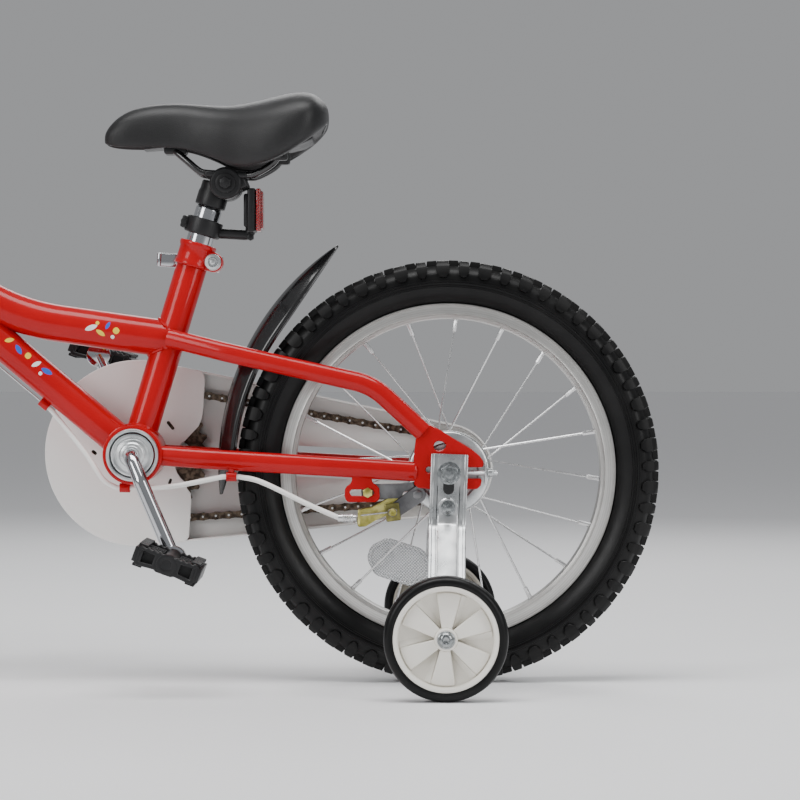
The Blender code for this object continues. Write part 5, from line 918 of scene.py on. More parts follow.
# %% Welds
def weld(pipe_point, pipe_way, pipe_radius, branch_point, branch_way, branch_radius, bead=1.9):
    """A rippled bead where a branch tube runs into a pipe."""
    side = branch_way.orthogonal().normalized()
    other = branch_way.cross(side)
    count = 3 * int(2 * pi * branch_radius / 4.2)
    line, widths = [], []
    for step in range(count):
        angle = 2 * pi * step / count
        start = branch_point + (side * cos(angle) + other * sin(angle)) * (branch_radius * mm)
        offset = start - pipe_point
        offset -= pipe_way * offset.dot(pipe_way)
        flat_way = branch_way - pipe_way * branch_way.dot(pipe_way)
        a, b = flat_way.dot(flat_way), 2 * offset.dot(flat_way)
        c = offset.dot(offset) - (pipe_radius * mm) ** 2
        root = b * b - 4 * a * c
        if root < 0:
            continue
        line.append(start + branch_way * ((-b - sqrt(root)) / (2 * a)))
        widths.append(bead * (0.8 + 0.32 * sin(2 * pi * step / 3) ** 2))
    line.append(line[0].copy())
    return swept(line, widths + [widths[0]], 8)


# %% Fork ends and tabs
fork_end = [(-33, -11), (-33.5, 15), (-31.5, 32), (-29, 40), (-25, 44.5), (-18, 45.5), (-8, 40.5),
            (2, 34), (21, 22.5), (29, 16), (32.5, 11), (33, 7.5), (31.5, 5.2), (0, 5.2), (-3, 4.3),
            (-5.3, 2), (-5.8, 0), (-5.3, -2), (-3, -4.3), (0, -5.2), (30, -5.2), (31, -7),
            (30, -12), (27, -15), (24, -15.5), (-17, -15.5), (-29, -14.2)]
fork_end_slot = [(-14, 22), (-14.6, 25.5), (-13.6, 28.4), (-10.5, 30.4), (-6, 29.4), (-2.6, 27),
                 (-3, 24), (-5.6, 22), (-9.5, 20.9)]


def fork_end_plate(side):
    holes = [circle(by_axle(19, 3), 3, 24), around(rear_axle, fork_end_slot)]
    return sheet_cut(around(rear_axle, fork_end), side * 58, side * 63, holes, 0.7)


tab_middle = by_axle(77, -19)
tab_plane = -52.1
tab_shape = [(-22, -3), (-21, -6.4), (-18.6, -9), (7, -9), (10.4, -7.4), (11.4, -4), (11, 4),
             (8.4, 7), (5, 9.4), (4, 12), (4, 16), (-15, 16), (-15, 11.6), (-16.4, 8.6), (-20, 6),
             (-21.6, 3)]
tab_slot = [(-15, -3), (4, -3), (5.6, -1.8), (6, 0), (5.6, 1.8), (4, 3), (-15, 3), (-16.6, 1.8),
            (-17, 0), (-16.6, -1.8)]
brake_tab = sheet_cut(around(tab_middle, tab_shape), tab_plane - 4, tab_plane,
                      [around(tab_middle, tab_slot)], 0.7)


# %% Cable sleeves
def below_down_tube(forward):
    """A point under the down tube, forward of the bottom bracket, in mm."""
    below = Vector((-down_slope.z, 0, down_slope.x))
    below = below if below.z < 0 else -below
    return bottom_bracket + down_slope * (forward * mm) + below * (19.4 * mm)


def sleeve(centre, way, up):
    """A short open sleeve on a small foot."""
    return gathered(tube(3.1, 4.5, -5, 5, centre, way, 28), pin(centre, up, 3.9, 12, 3, 16))


rear_stop, front_stop = below_down_tube(98), below_down_tube(250)
shell_clip = bottom_bracket + Vector((-8, -22, -31.7)) * mm
stay_clip = bottom_bracket + Vector((95, -38, -20.5)) * mm
sleeves = [tube(3.1, 4.5, -5, 5, stop, down_slope, 28) for stop in (rear_stop, front_stop)]
sleeves += [sleeve(clip, backward, upright) for clip in (shell_clip, stay_clip)]

# %% The frame as one welded piece
top_radius, down_radius, seat_radius, head_radius, shell_radius = 18, 16, 15, 18.5, 28.5
seat_tube = [(13, 46), (seat_radius, 0), (seat_radius, 211), (13, 211)]
head_tube = [(15.2, 10), (18.1, 10), (head_radius, 13), (head_radius, 117), (18.1, 120),
             (15.2, 120)]
works = [tube(23.9, shell_radius, -33.5, 33.5, bottom_bracket, steps=80, edge=0.5),
         turned(seat_tube, bottom_bracket, seat_up, 56, 0.3),
         swept(top_line, top_radius, 48), swept(down_line, down_radius, 48),
         turned(head_tube, crown, steer_up, 56, 0.3)]
for side in (-1, 1):
    stay = chainstay_line(side)
    stay_end = stay.pop()
    stay_way = (stay_end - stay[-1]).normalized()
    stay_radii = [9.5] * len(stay)
    for back, radius in ((9, 9.5), (4, 9.1), (1.2, 8), (0, 6)):  # the pinched end, in mm
        stay.append(stay_end - stay_way * back * mm)
        stay_radii.append(radius)
    works += [swept(stay, stay_radii, 32, 0.68), swept(seatstay_line(side), 9, 32, 0.72),
              fork_end_plate(side)]
works += [brake_tab, *sleeves]
bridge, bridge_angle = by_axle(212, 114), radians(13.5)
bridge_turn = Matrix.Rotation(bridge_angle, 3, "Y")
works.append(block(bridge, (22, 66, 4), bridge_turn))
top_slope = (top_line[1] - top_line[0]).normalized()
head_slope = (top_line[-1] - top_line[-2]).normalized()
seat_joint, head_joint = (bottom_bracket, seat_up, seat_radius), (crown, steer_up, head_radius)
shell_joint = (bottom_bracket, across, shell_radius)
seat_foot = bottom_bracket + seat_up * 60 * mm
down_foot, down_top = bottom_bracket + down_slope * 70 * mm, down_line[1] - down_slope * 80 * mm
works += [weld(*seat_joint, top_line[0] + top_slope * 60 * mm, -top_slope, top_radius),
          weld(*head_joint, top_line[-2], head_slope, top_radius),
          weld(*head_joint, down_top, down_slope, down_radius),
          weld(*shell_joint, seat_foot, -seat_up, seat_radius),
          weld(*shell_joint, down_foot, -down_slope, down_radius)]
piece("frame", gathered(*works), red_paint, "frame")
print("frame:", triangles["frame"], "triangles")

# %% [markdown]
# ## Chain and sprockets
#
# A bicycle chain repeats two links: narrow inner plates round a roller, then wide outer plates
# on pins. One of each is modelled at the origin and stamped on every second pitch of the loop,
# which runs round the pitch circles of a 33-tooth chainring and a 15-tooth freewheel.

# %% The chain's loop
pitch, chain_side = 12.7 * mm, 44.5
chainring_teeth, freewheel_teeth = 33, 15
ring_radius = pitch / (2 * sin(pi / chainring_teeth))
wheel_radius = pitch / (2 * sin(pi / freewheel_teeth))
drive_line = rear_axle - bottom_bracket
drive_length = drive_line.length
drive_along = drive_line.normalized()
drive_up = Vector((-drive_along.z, 0, drive_along.x))


def by_drive(along, angle, radius):
    """A point about a place on the line from the bottom bracket to the rear axle."""
    return (bottom_bracket + drive_along * (along + radius * cos(angle))
            + drive_up * radius * sin(angle))


ring_pins = [by_drive(0, pi + (i - 8.5) * 2 * pi / chainring_teeth, ring_radius)
             for i in range(18)]
wheel_pins = [by_drive(drive_length, (i - 3.5) * 2 * pi / freewheel_teeth, wheel_radius)
              for i in range(8)]
run_links = 24
lower_run = [ring_pins[-1].lerp(wheel_pins[0], i / run_links) for i in range(1, run_links)]
upper_run = [wheel_pins[-1].lerp(ring_pins[0], i / run_links) for i in range(1, run_links)]
pins = ring_pins + lower_run + wheel_pins + upper_run
print("chain links:", len(pins))


# %% Links
def link_plate(near, far, lobe, waist):
    """A plate with two round lobes and a waist, a pitch long, about the origin."""
    outline = []
    for end in (1, -1):
        for angle in (-75, -40, 0, 40, 75):
            turn = radians(angle) + (0 if end > 0 else pi)
            outline.append((end * pitch / 2 + lobe * mm * cos(turn), lobe * mm * sin(turn)))
        outline.append((0, waist * mm * end))
    return sheet_cut(outline, near, far, edge=0)


def link_places(first):
    places = []
    for number in range(first, len(pins), 2):
        a, b = pins[number], pins[(number + 1) % len(pins)]
        way = (b - a).normalized()
        turn = Matrix((way, across, way.cross(across))).transposed().to_4x4()
        places.append(Matrix.Translation((a + b) / 2 + across * (chain_side * mm)) @ turn)
    return places


outer_link, inner_link = [], []
for side in (-1, 1):
    outer_link.append(link_plate(side * 2.75, side * 3.6, 3.9, 2.9))
    inner_link.append(link_plate(side * 1.75, side * 2.65, 4.1, 3.1))
for end in (-1, 1):
    spot = Vector((end * pitch / 2, 0, 0))
    outer_link.append(pin(spot, across, -4.2, 4.2, 1.8, 8, 0))
    inner_link.append(pin(spot, across, -1.75, 1.75, 3.85, 10, 0))
chain = gathered(stamped(gathered(*outer_link), link_places(0)),
                 stamped(gathered(*inner_link), link_places(1)))
piece("chain", chain, chain_steel, "frame")
pin_ends = [Matrix.Translation(spot + across * (chain_side * mm)) for spot in pins]
chain_pins = stamped(pin(Vector(), across, -4.45, 4.45, 1.1, 8, 0), pin_ends)
piece("chain_pins", chain_pins, spoke_steel, "frame")
print("chain:", triangles["chain"] + triangles["chain_pins"], "triangles")


# %% Sprockets
def toothed(along, teeth, radius, phase):
    """A sprocket's outline: a round seat for each roller and a tapered tooth between."""
    outline = []
    for number in range(teeth):
        for share, depth in ((-0.22, -1.9), (0, -4.3), (0.22, -1.9), (0.4, 1.7), (0.6, 1.7)):
            outline.append(flat_pair(by_drive(along, phase + (number + share) * 2 * pi / teeth,
                                              radius + depth * mm)))
    return outline


ring_phase = pi - 17 * pi / chainring_teeth
windows = [circle(by_drive(0, 2 * pi * i / 5, 38 * mm), 14, 28) for i in range(5)]
chainring = sheet_cut(toothed(0, chainring_teeth, ring_radius, ring_phase), chain_side - 1.5,
                      chain_side + 1.5, [circle(bottom_bracket, 14.3), *windows], 0.25)
piece("chainring", chainring, chain_steel, "crank")
wheel_phase = -7 * pi / freewheel_teeth
freewheel = [sheet_cut(toothed(drive_length, freewheel_teeth, wheel_radius, wheel_phase),
                       chain_side - 1.5, chain_side + 1.5, [circle(rear_axle, 13.2)], 0.25),
             tube(13.2, 19, 31.6, 43.4, rear_axle, edge=0.5)]
piece("freewheel", gathered(*freewheel), chain_steel, "freewheel")

# %% [markdown]
# ## Bottom bracket and one-piece crank
#
# This crank is one forged bar: it comes up from the left pedal, bends through the bottom
# bracket and goes on up to the right pedal. Sweeping one line keeps it whole. Pressed cups and a
# screwed cone close the shell; they are turned parts with clear steps that catch the light.

# %% Cups, cones and the bent bar
face = 33.8
for name, side in both_sides:
    cup = [(21.4, -9), (23.5, -9), (23.5, 0), (25.4, 0), (25.4, 1.6), (24.6, 3.0), (22.6, 3.0),
           (22.0, 2.2), (21.8, -2.6), (21.4, -2.6)]
    work = turned([(r, face + d) for r, d in cup], bottom_bracket, across * side, 72, 0.3)
    piece(f"bottom_bracket_cup_{name}", work, zinc, "frame")
swing, arm_length = radians(24), 105
arm_way = Vector((sin(swing), 0, -cos(swing)))
pedal_eyes = (("left", -1, 78), ("right", 1, 82))  # how far out each arm's eye is, in mm


def on_arm(distance, side):
    """A point along the left arm's direction from the bottom bracket, in mm."""
    return bottom_bracket + arm_way * distance * mm + across * side * mm


bar_line = rounded([on_arm(arm_length, -78), on_arm(arm_length / 4, -67), on_arm(0, -55),
                    on_arm(0, 68), on_arm(-arm_length / 4, 76), on_arm(-arm_length, 82)], 16, 8)
works = [swept(bar_line, 7, 32)]
for label, side, reach in pedal_eyes:
    eye, out = on_arm(-side * arm_length, 0), across * side
    works += [tube(0, 12, reach - 6.5, reach + 6.5, eye, out, 48, 1.2),
              turned([(0, reach + 5.5), (4.5, reach + 5.5), (4.5, reach + 89.5),
                      (3.6, reach + 90.5), (0, reach + 90.5)], eye, out, 24)]
    cone = [(6.5, -6), (19.5, -6), (20.6, 1.2), (20.2, 1.9), (18.2, 2.0), (17.6, 1.5), (15.6, 1.5),
            (15.0, 2.4), (12.4, 2.8), (11.6, 4.0), (10.6, 4.6), (8.8, 4.8), (8.2, 6.0), (6.5, 6.0)]
    ring_nut = turned([(r, face + d) for r, d in cone], bottom_bracket, out, 72, 0.2)
    piece(f"bearing_cone_{label}", ring_nut, zinc, "crank")
works.append(turned([(6.5, 35), (14, 35), (14, 46.3), (18, 46.3), (18, 48.5), (6.5, 48.5)],
                    bottom_bracket, across, 48, 0.3))
piece("crank", gathered(*works), chrome, "crank")
print("crank:", triangles["crank"], "triangles")

# %% [markdown]
# ## Pedals
#
# A child's pedal is one moulding: a barrel on the spindle, two ribbed treads and two end walls,
# with grip teeth along the treads. Blocks with eased edges and a stamped rib make it quickly.

# %% Pedals
pedal_turn = tilted(20)
pedal_along, pedal_up = pedal_turn @ backward, pedal_turn @ upright
wall_edge = [(29, -7), (29, 7), (26.5, 9.6)]
for notch in range(9):
    wall_edge += [(24.5 - notch * 5.6, 9.6), (22.4 - notch * 5.6, 7.8)]
wall_edge += [(-26.5, 9.6), (-29, 7), (-29, -7), (-26.5, -9.6), (-10, -8), (-7, -9.4), (7, -9.4),
              (10, -8), (26.5, -9.6)]
wall_window = [(12.5, -4.6), (25, -5.6), (26, -4), (26, 4), (25, 5.4), (12.5, 4.6)]
wall_windows = [around(Vector(), [(sign * x, z) for x, z in wall_window]) for sign in (-1, 1)]
for label, side, reach in pedal_eyes:
    near = reach + 6.5 + 1.2
    eye = on_arm(-side * arm_length, 0)
    middle = eye + across * side * (near + 44) * mm
    barrel = [(4.8, 0), (9.5, 0), (9.5, 6), (8, 9), (8, 78), (9.5, 82), (9.5, 88), (4.8, 88)]
    works = [turned([(r, near + d) for r, d in barrel], eye, across * side, 32, 0.4)]
    for end in (-1, 1):
        tread = middle + pedal_along * end * 25.5 * mm
        works += [block(tread, (4, 86, 18.4), pedal_turn, 1),
                  block(tread + pedal_along * end * 4.6 * mm, (3.6, 86, 14), pedal_turn, 0.8)]
        wall_place = Matrix.Translation(middle + across * end * 40.4 * mm) @ pedal_turn.to_4x4()
        wall = around(Vector(), wall_edge)
        works.append(sheet_cut(wall, -3.2, 3.2, wall_windows, 0.6, wall_place))
        for level in (-1, 1):
            teeth = [Matrix.Translation(tread + pedal_up * level * 9.6 * mm
                                        + across * (k - 3.5) * 10.6 * mm) for k in range(8)]
            works.append(stamped(block(Vector(), (9, 4.2, 2.8), pedal_turn, 0.5, 1), teeth))
        for k in range(5):
            rib = middle + across * (k - 2) * 15.5 * mm + pedal_along * end * 16.5 * mm
            works.append(block(rib, (19, 2, 13), pedal_turn, 0.4, 1))
    piece(f"pedal_{label}", gathered(*works), black_plastic, f"pedal_{label}")
print("pedals:", triangles["pedal_left"], "triangles each")

# %% [markdown]
# ## Chain case
#
# The case is a thin moulded shell: a flat outer wall round two circles and their tangents, a
# rounded corner and a wall turned in round the chain. The flat is filled with its openings, its
# outer edge is extruded inwards, the corner is bevelled, and Solidify gives the wall.

# %% Outer shell
case_front, case_rear = 91 * mm, 44.5 * mm
spread = acos((case_front - case_rear) / drive_length)


def case_outline(shrink, front_steps=64, rear_steps=28):
    """Two circles joined by their outer tangents."""
    front, rear = case_front - shrink, case_rear - shrink
    line = [by_drive(0, spread + (2 * pi - 2 * spread) * i / front_steps, front)
            for i in range(front_steps + 1)]
    line += [by_drive(drive_length, -spread + 2 * spread * i / rear_steps, rear)
             for i in range(rear_steps + 1)]
    return [flat_pair(point) for point in line]


def shell_with_wall(outline, holes, outside, inside, corner):
    """A flat with openings whose outer edge turns in through a rounded corner."""
    work = bmesh.new()
    rims = [closed_loop(work, [(x, outside * mm, z) for x, z in loop])
            for loop in (outline, *holes)]
    bmesh.ops.triangle_fill(work, use_beauty=True, use_dissolve=False, edges=work.edges)
    new = bmesh.ops.extrude_edge_only(work, edges=rims[0])["geom"]
    bmesh.ops.translate(work, vec=(0, (inside - outside) * mm, 0),
                        verts=[g for g in new if isinstance(g, bmesh.types.BMVert)])
    bmesh.ops.bevel(work, geom=rims[0], offset=corner * mm, segments=5, profile=0.5,
                    affect="EDGES", material=-1)
    return work


window = [flat_pair(by_drive(drive_length - 165 * mm, pi * (0.5 + i / 12), 15 * mm))
          for i in range(13)]
window += [flat_pair(by_drive(drive_length, pi * (i / 12 - 0.5), 15 * mm)) for i in range(13)]
shell = shell_with_wall(case_outline(0), [circle(bottom_bracket, 32, 56), window], 52.8, 36.2, 3.4)
case = piece("chain_guard", shell, white_plastic, "frame", crease=50)
wall = case.modifiers.new("wall", "SOLIDIFY")
wall.thickness, wall.offset = 1.8 * mm, -1

# %% Inner cover
taper = case_rear - case_front
tangent_drop = taper * sin(spread) / (drive_length + taper * cos(spread))


def tangent_height(along):
    """How high the case's straight upper edge is above the drive line."""
    start = case_front * cos(spread)
    return case_front * sin(spread) + tangent_drop * (along - start)


def in_drive(along, up):
    return flat_pair(bottom_bracket + drive_along * along * mm + drive_up * up * mm)


cover = [flat_pair(by_drive(0, spread + (2 * pi - 2 * spread) * i / 64, case_front))
         for i in range(65)]
low_edge = -tangent_height(54 * mm) / mm
cover += [in_drive(48, -tangent_height(48 * mm) / mm), in_drive(52, low_edge + 1.2),
          in_drive(54, low_edge + 5), in_drive(54.5, -44), in_drive(53.4, -36.4),
          in_drive(50, -32.5)]
cover += [in_drive(61 + 25 * cos(radians(a)), -5 + 25 * sin(radians(a)))
          for a in (236, 224, 210, 195, 180, 165, 150, 138, 128)]
high_edge = tangent_height(62 * mm) / mm
cover += [in_drive(51.5, 22), in_drive(57.6, 29), in_drive(60.6, 37), in_drive(61.4, 48),
          in_drive(61.4, high_edge - 6), in_drive(59.8, high_edge - 1.8),
          in_drive(56, high_edge + 1)]


def slit(x, z, angle, long, half):
    """A small slot with round ends, seen from the side, in mm."""
    way = Vector((cos(radians(angle)), 0, sin(radians(angle))))
    off = Vector((-way.z, 0, way.x))
    ends = []
    for sign in (1, -1):
        for turn in (-90, -45, 0, 45, 90):
            a = radians(turn)
            along = Vector((x, 0, z)) * mm + way * sign * (long / 2 + half * cos(a)) * mm
            ends.append(along + off * sign * half * sin(a) * mm)
    return [flat_pair(point) for point in ends]


cover_holes = [circle(bottom_bracket, 26.4, 56), slit(99.5, 246, -52, 7, 1.6),
               slit(25, 219.6, -40, 3, 1.6), slit(99, 191, 70, 4, 1.4)]
inner_cover = sheet_cut(cover, 34.4, 35.9, cover_holes, 0.5)
piece("chain_guard_inner_cover", inner_cover, white_plastic, "frame")
print("chain case:", triangles["chain_guard"], triangles["chain_guard_inner_cover"])

# %% [markdown]
# ## Band brake
#
# A band brake hides a lined band round the drum on the left of the hub. Its pressed cover has
# stepped rings, an arm to the frame that stops it turning, and a strap that holds the cable. A
# short lever pulls the band tight. The steps are part of the turned section.

# %% Cover and reaction arm
plane = -46  # the drum's outer face, in mm from the middle of the bike
brake_face = plane - 2.5
pressed = [(9, -2.5), (15, -2.5), (16.5, -1.4), (27, -1.4), (28.5, -2.5), (35.5, -2.5), (38, -1.7),
           (39.5, 0.4), (39.5, 17), (37.5, 17), (37.5, 1.2), (34, 0), (9, 0)]
works = [turned([(r, plane + d) for r, d in pressed], rear_axle, across, 96, 0.35)]
lever_plane = brake_face - 1.8
tab_outer = tab_plane - 4
arm_shape = [(-6, -4), (-3, -6.6), (2, -7), (46, -6), (50, -2), (53, 12), (30, 8.5), (6, 8),
             (-2, 7), (-6.4, 4)]
arm = sheet_cut(around(tab_middle, arm_shape), brake_face, plane + 0.5, edge=0.7)
piece("brake_reaction_arm", arm, dark_steel, "frame")
screw_head = [(0, 1.2), (1.3, 1.2), (1.6, 2.6), (3.0, 2.6), (3.9, 1.9), (4.1, -0.5), (0, -0.5)]
screws = [turned([(r, d - brake_face) for r, d in screw_head], spot, -across, 32)
          for spot in (by_axle(40, -21.5), by_axle(32.5, -25))]
piece("brake_arm_screws", gathered(*screws), zinc, "frame")
works.append(pin(tab_middle, across, tab_outer - 2, plane + 0.5, 2.4, 20, 0.3))
piece("band_brake_housing", gathered(*works), zinc, "frame")
nut = pin(tab_middle, across, tab_outer - 3.5, tab_outer - 0.3, 5, 6, 0.6)

# %% Yellow zinc cable stop
cable_tab = by_axle(85, -42)
cable_end = by_axle(104, -43, lever_plane - 5.5)
strap = [(329, 181), (334, 176), (331, 171.5), (300, 157), (291, 151.5), (284, 151), (283, 154),
         (283.4, 164), (286, 168.5), (297, 170.5), (316, 181)]
depth = plane + 6.5 - cable_end.y / mm
stop_strap = [sheet_cut(around(Vector(), strap), brake_face + 0.1, plane + 0.3, edge=0.8),
              block(Vector((cable_tab.x, (plane + 0.5 - depth / 2) * mm, cable_tab.z)),
                    (2.6, depth, 14), edge=0.8), nut]
piece("brake_cable_stop", gathered(*stop_strap), yellow_zinc, "frame")

# %% Lever
brake_pivot = by_axle(29.5, -21)
slope = radians(35)
lever_way = -Vector((cos(slope), 0, sin(slope)))
cable_anchor = brake_pivot + lever_way * 29 * mm
lever_off = Vector((-lever_way.z, 0, lever_way.x))
outline = []
for centre, sign, reach in ((brake_pivot, -1, 8), (cable_anchor, 1, 7)):
    for angle in range(-90, 91, 18):
        a = radians(angle) * sign
        spot = centre + lever_way * sign * reach * mm * cos(a) + lever_off * reach * mm * sin(a)
        outline.append(flat_pair(spot))
works = [sheet_cut(outline, lever_plane - 1.5, lever_plane + 1.5, edge=0.6)]
for spot, size, tall in ((brake_pivot, 5, 3), (cable_anchor, 4.8, 5)):
    works.append(pin(spot, across, lever_plane - 1.5 - tall, lever_plane - 0.5, size, 6, 0.6))
piece("brake_arm", gathered(*works), dark_steel, "brake_arm")
clamp_face = cable_anchor + across * (lever_plane - 1.4) * mm
works = [block(clamp_face - across * 2 * mm, (14, 4, 17), tilted(-8), 1.4),
         pin(clamp_face, across, -3.8, -4.8, 5.4, 32, 0.5)]
piece("brake_cable_clamp", gathered(*works), olive_zinc, "brake_arm")
bolt_head = [(0, 1), (1.4, 1), (1.7, 2.8), (2.9, 2.8), (3.6, 2.0), (3.7, 0), (0, 0)]
clamp_bolt = turned(bolt_head, clamp_face - across * 4.6 * mm, -across, 32)
piece("brake_clamp_bolt", clamp_bolt, yellow_zinc, "brake_arm")
print("band brake:", triangles["band_brake_housing"], triangles["brake_cable_stop"])

# %% [markdown]
# ## Rear brake cable
#
# A steel wire pulls inside a plastic housing. On the bare stretch under the down tube only the
# wire shows; from the stop on, the white housing runs through clips under the shell and along
# the chainstay to a barrel adjuster. Smooth curves between straight guides keep it natural.

# %% Housing, wire and barrel
guard = backward * 8 * mm
bends = [[rear_stop - down_slope * 8 * mm, bottom_bracket + Vector((-48, -12, 3)) * mm,
          bottom_bracket + Vector((-29, -21, -23.5)) * mm, shell_clip - guard],
         [shell_clip + guard, bottom_bracket + Vector((38, -30, -30)) * mm, stay_clip - guard],
         [stay_clip + guard, stay_clip + Vector((30, -12, -5)) * mm,
          cable_end - Vector((30, -2, -13)) * mm, cable_end.copy()]]
line = [rear_stop + down_slope * 4 * mm]
for bend in bends:
    line.extend(smooth(bend, 10))
piece("rear_brake_housing", swept(line, 2.5, 20), white_plastic, "frame", node="rear_brake_cable")
bare_run = [rear_stop, rear_stop.lerp(front_stop, 0.5), front_stop - down_slope * 2 * mm]
wires = [swept(bare_run, 0.8, 8)]
grip = Vector((cable_anchor.x - 5 * mm, cable_end.y, cable_anchor.z))
wires.append(swept([cable_end, cable_end.lerp(grip, 0.5), grip], 0.8, 8))
barrel_steps = [(2.6, 0), (3.6, 0), (3.6, 4), (4.2, 4.2)]
for ring in range(6):
    barrel_steps += [(4.2, 4.6 + ring * 1.3), (3.8, 5.1 + ring * 1.3), (4.2, 5.6 + ring * 1.3)]
barrel_steps += [(4.2, 13.6), (3.0, 14), (3.0, 17), (0.9, 17), (0.9, 0)]
wires.append(turned(barrel_steps, cable_end - backward * mm, backward, 32))
piece("brake_wire_and_barrel", gathered(*wires), spoke_steel, "frame")

# %% Chain adjusters
for name, side in both_sides:
    near = 63.3
    start = by_axle(-9, 0, side * (near - 0.5))
    threads = [(2.4 - 0.25 * (i % 2), i * 0.5) for i in range(75)]
    works = [tube(5.4, 11, near, near + 2, rear_axle, across * side),
             turned([(0, 0), *threads, (0, 37.2)], start, backward, 16),
             block(by_axle(-35, 0, side * (near - 3)), (2.4, 11, 22)),
             pin(start, backward, 27.5, 32, 4.6, 6, 0.5)]
    piece(f"chain_adjuster_{name}", gathered(*works), zinc, "frame")
print("adjusters:", triangles["chain_adjuster_left"])

# %% [markdown]
# ## Training wheels
#
# Each training wheel is a moulded disc with a solid tyre. Six raised, slightly dished blades
# spread from the hub to the rim and stand above six recessed ones, and painted shade darkens
# what lies deeper than the blade tops. A blade is cut to its outline, extruded and its outer
# edge sunk a little. The steel bracket is strip bent twice, with a pressed rib for stiffness, a
# slot for the axle drawn as a thin dark sheet of painted shadow, and a second bolt through an
# arched boss.

# %% Blades and rim
lean = about_axle(rear_axle, radians(2))
training_hub = Vector((rear_axle.x, 0, 57 * mm))
training_centre = lean @ training_hub
training_centre.y = 0


def blade(centre, angle, half_root, half_tip, near, far):
    """One wedge of the disc between two angles, from the hub to the rim."""
    shape = []
    for radius, half, count in ((10.4, half_root, 3), (42.6, half_tip, 9)):
        turns = [angle + half * (2 * i / (count - 1) - 1) for i in range(count)]
        ring = [(centre.x + radius * mm * sin(t), centre.z + radius * mm * cos(t)) for t in turns]
        shape += ring if radius < 20 else ring[::-1]
    return sheet_cut(shape, near, far, edge=0.9)


def training_wheel(name, side, body):
    middle = training_centre + across * side * 186 * mm
    out = across * side
    rim = [(43.2, 2.5), (43.6, 10.2), (44.6, 12.4), (47.2, 13), (48.2, 12.4), (48.5, 9), (48.5, 0)]
    works = [turned(both_halves(rim), middle, out, 96, 0.3)]
    bush = [(4.3, 14), (9.2, 14), (10.4, 12.8), (11, 6), (11, -6), (10, -14), (4.3, -14)]
    works += [turned(bush, middle, out, 48, 0.4),
              turned([(10, -2.5), (10, 1.5), (44, 4.6), (44, -2.5)], middle, out, 96)]
    for number in range(6):
        angle = radians(4 + number * 60)
        wedge = blade(training_centre, angle, radians(26), radians(15.5), side * 184, side * 198.6)
        for vert in wedge.verts:
            if (vert.co.y - side * 190 * mm) * side > 0:
                offset = (vert.co - training_centre) * Vector((1, 0, 1))
                reach = min(offset.length / (42.6 * mm), 1)
                vert.co.y -= side * (1.2 + 5.2 * reach ** 2) * mm
        works.append(wedge)
        angle += radians(30)
        hollow = blade(training_centre, angle, radians(3.6), radians(14.4), side * 184, side * 194)
        tangent = Vector((cos(angle), 0, -sin(angle)))
        for vert in hollow.verts:
            if (vert.co.y - side * 190 * mm) * side > 0:
                vert.co.y -= side * (5.2 * mm + 0.36 * (vert.co - training_centre).dot(tangent))
        works.append(hollow)
    piece(f"training_wheel_{name}", gathered(*works), moulded_white, body, crease=28)
    tread = [(48.6, 12.2), (50, 12.9), (53, 12.6), (55.6, 10.6), (56.6, 8), (56.6, 6.4), (57, 6),
             (57, 0)]
    piece(f"training_tyre_{name}", turned(both_halves(tread), middle, out, 128), tyre_rubber, body)


for name, side in both_sides:
    training_wheel(name, side, f"training_wheel_{name}")
print("training wheel:", triangles["training_wheel_left"], triangles["training_tyre_left"])


# %% Bent brackets
def bent_strip(line, thickness, half_width, centre_x, edge):
    """Strip bent along a (y, z) line: the line's offset outline extruded across the strip."""
    work = bmesh.new()
    loops = []
    for sign in (1, -1):
        loop = []
        for index, point in enumerate(line):
            before, after = line[max(index - 1, 0)], line[min(index + 1, len(line) - 1)]
            way = (after - before).normalized()
            loop.append(point + Vector((0, -way.z, way.y)) * (thickness * mm) / 2 * sign)
        loops.append(loop)
    near_edge = Vector((centre_x - half_width * mm, 0, 0))
    rim = closed_loop(work, [spot + near_edge for spot in loops[0] + loops[1][::-1]])
    bmesh.ops.contextual_create(work, geom=work.verts[:] + rim)
    extruded(work, (2 * half_width * mm, 0, 0))
    return softened(work, edge, 2, 50)


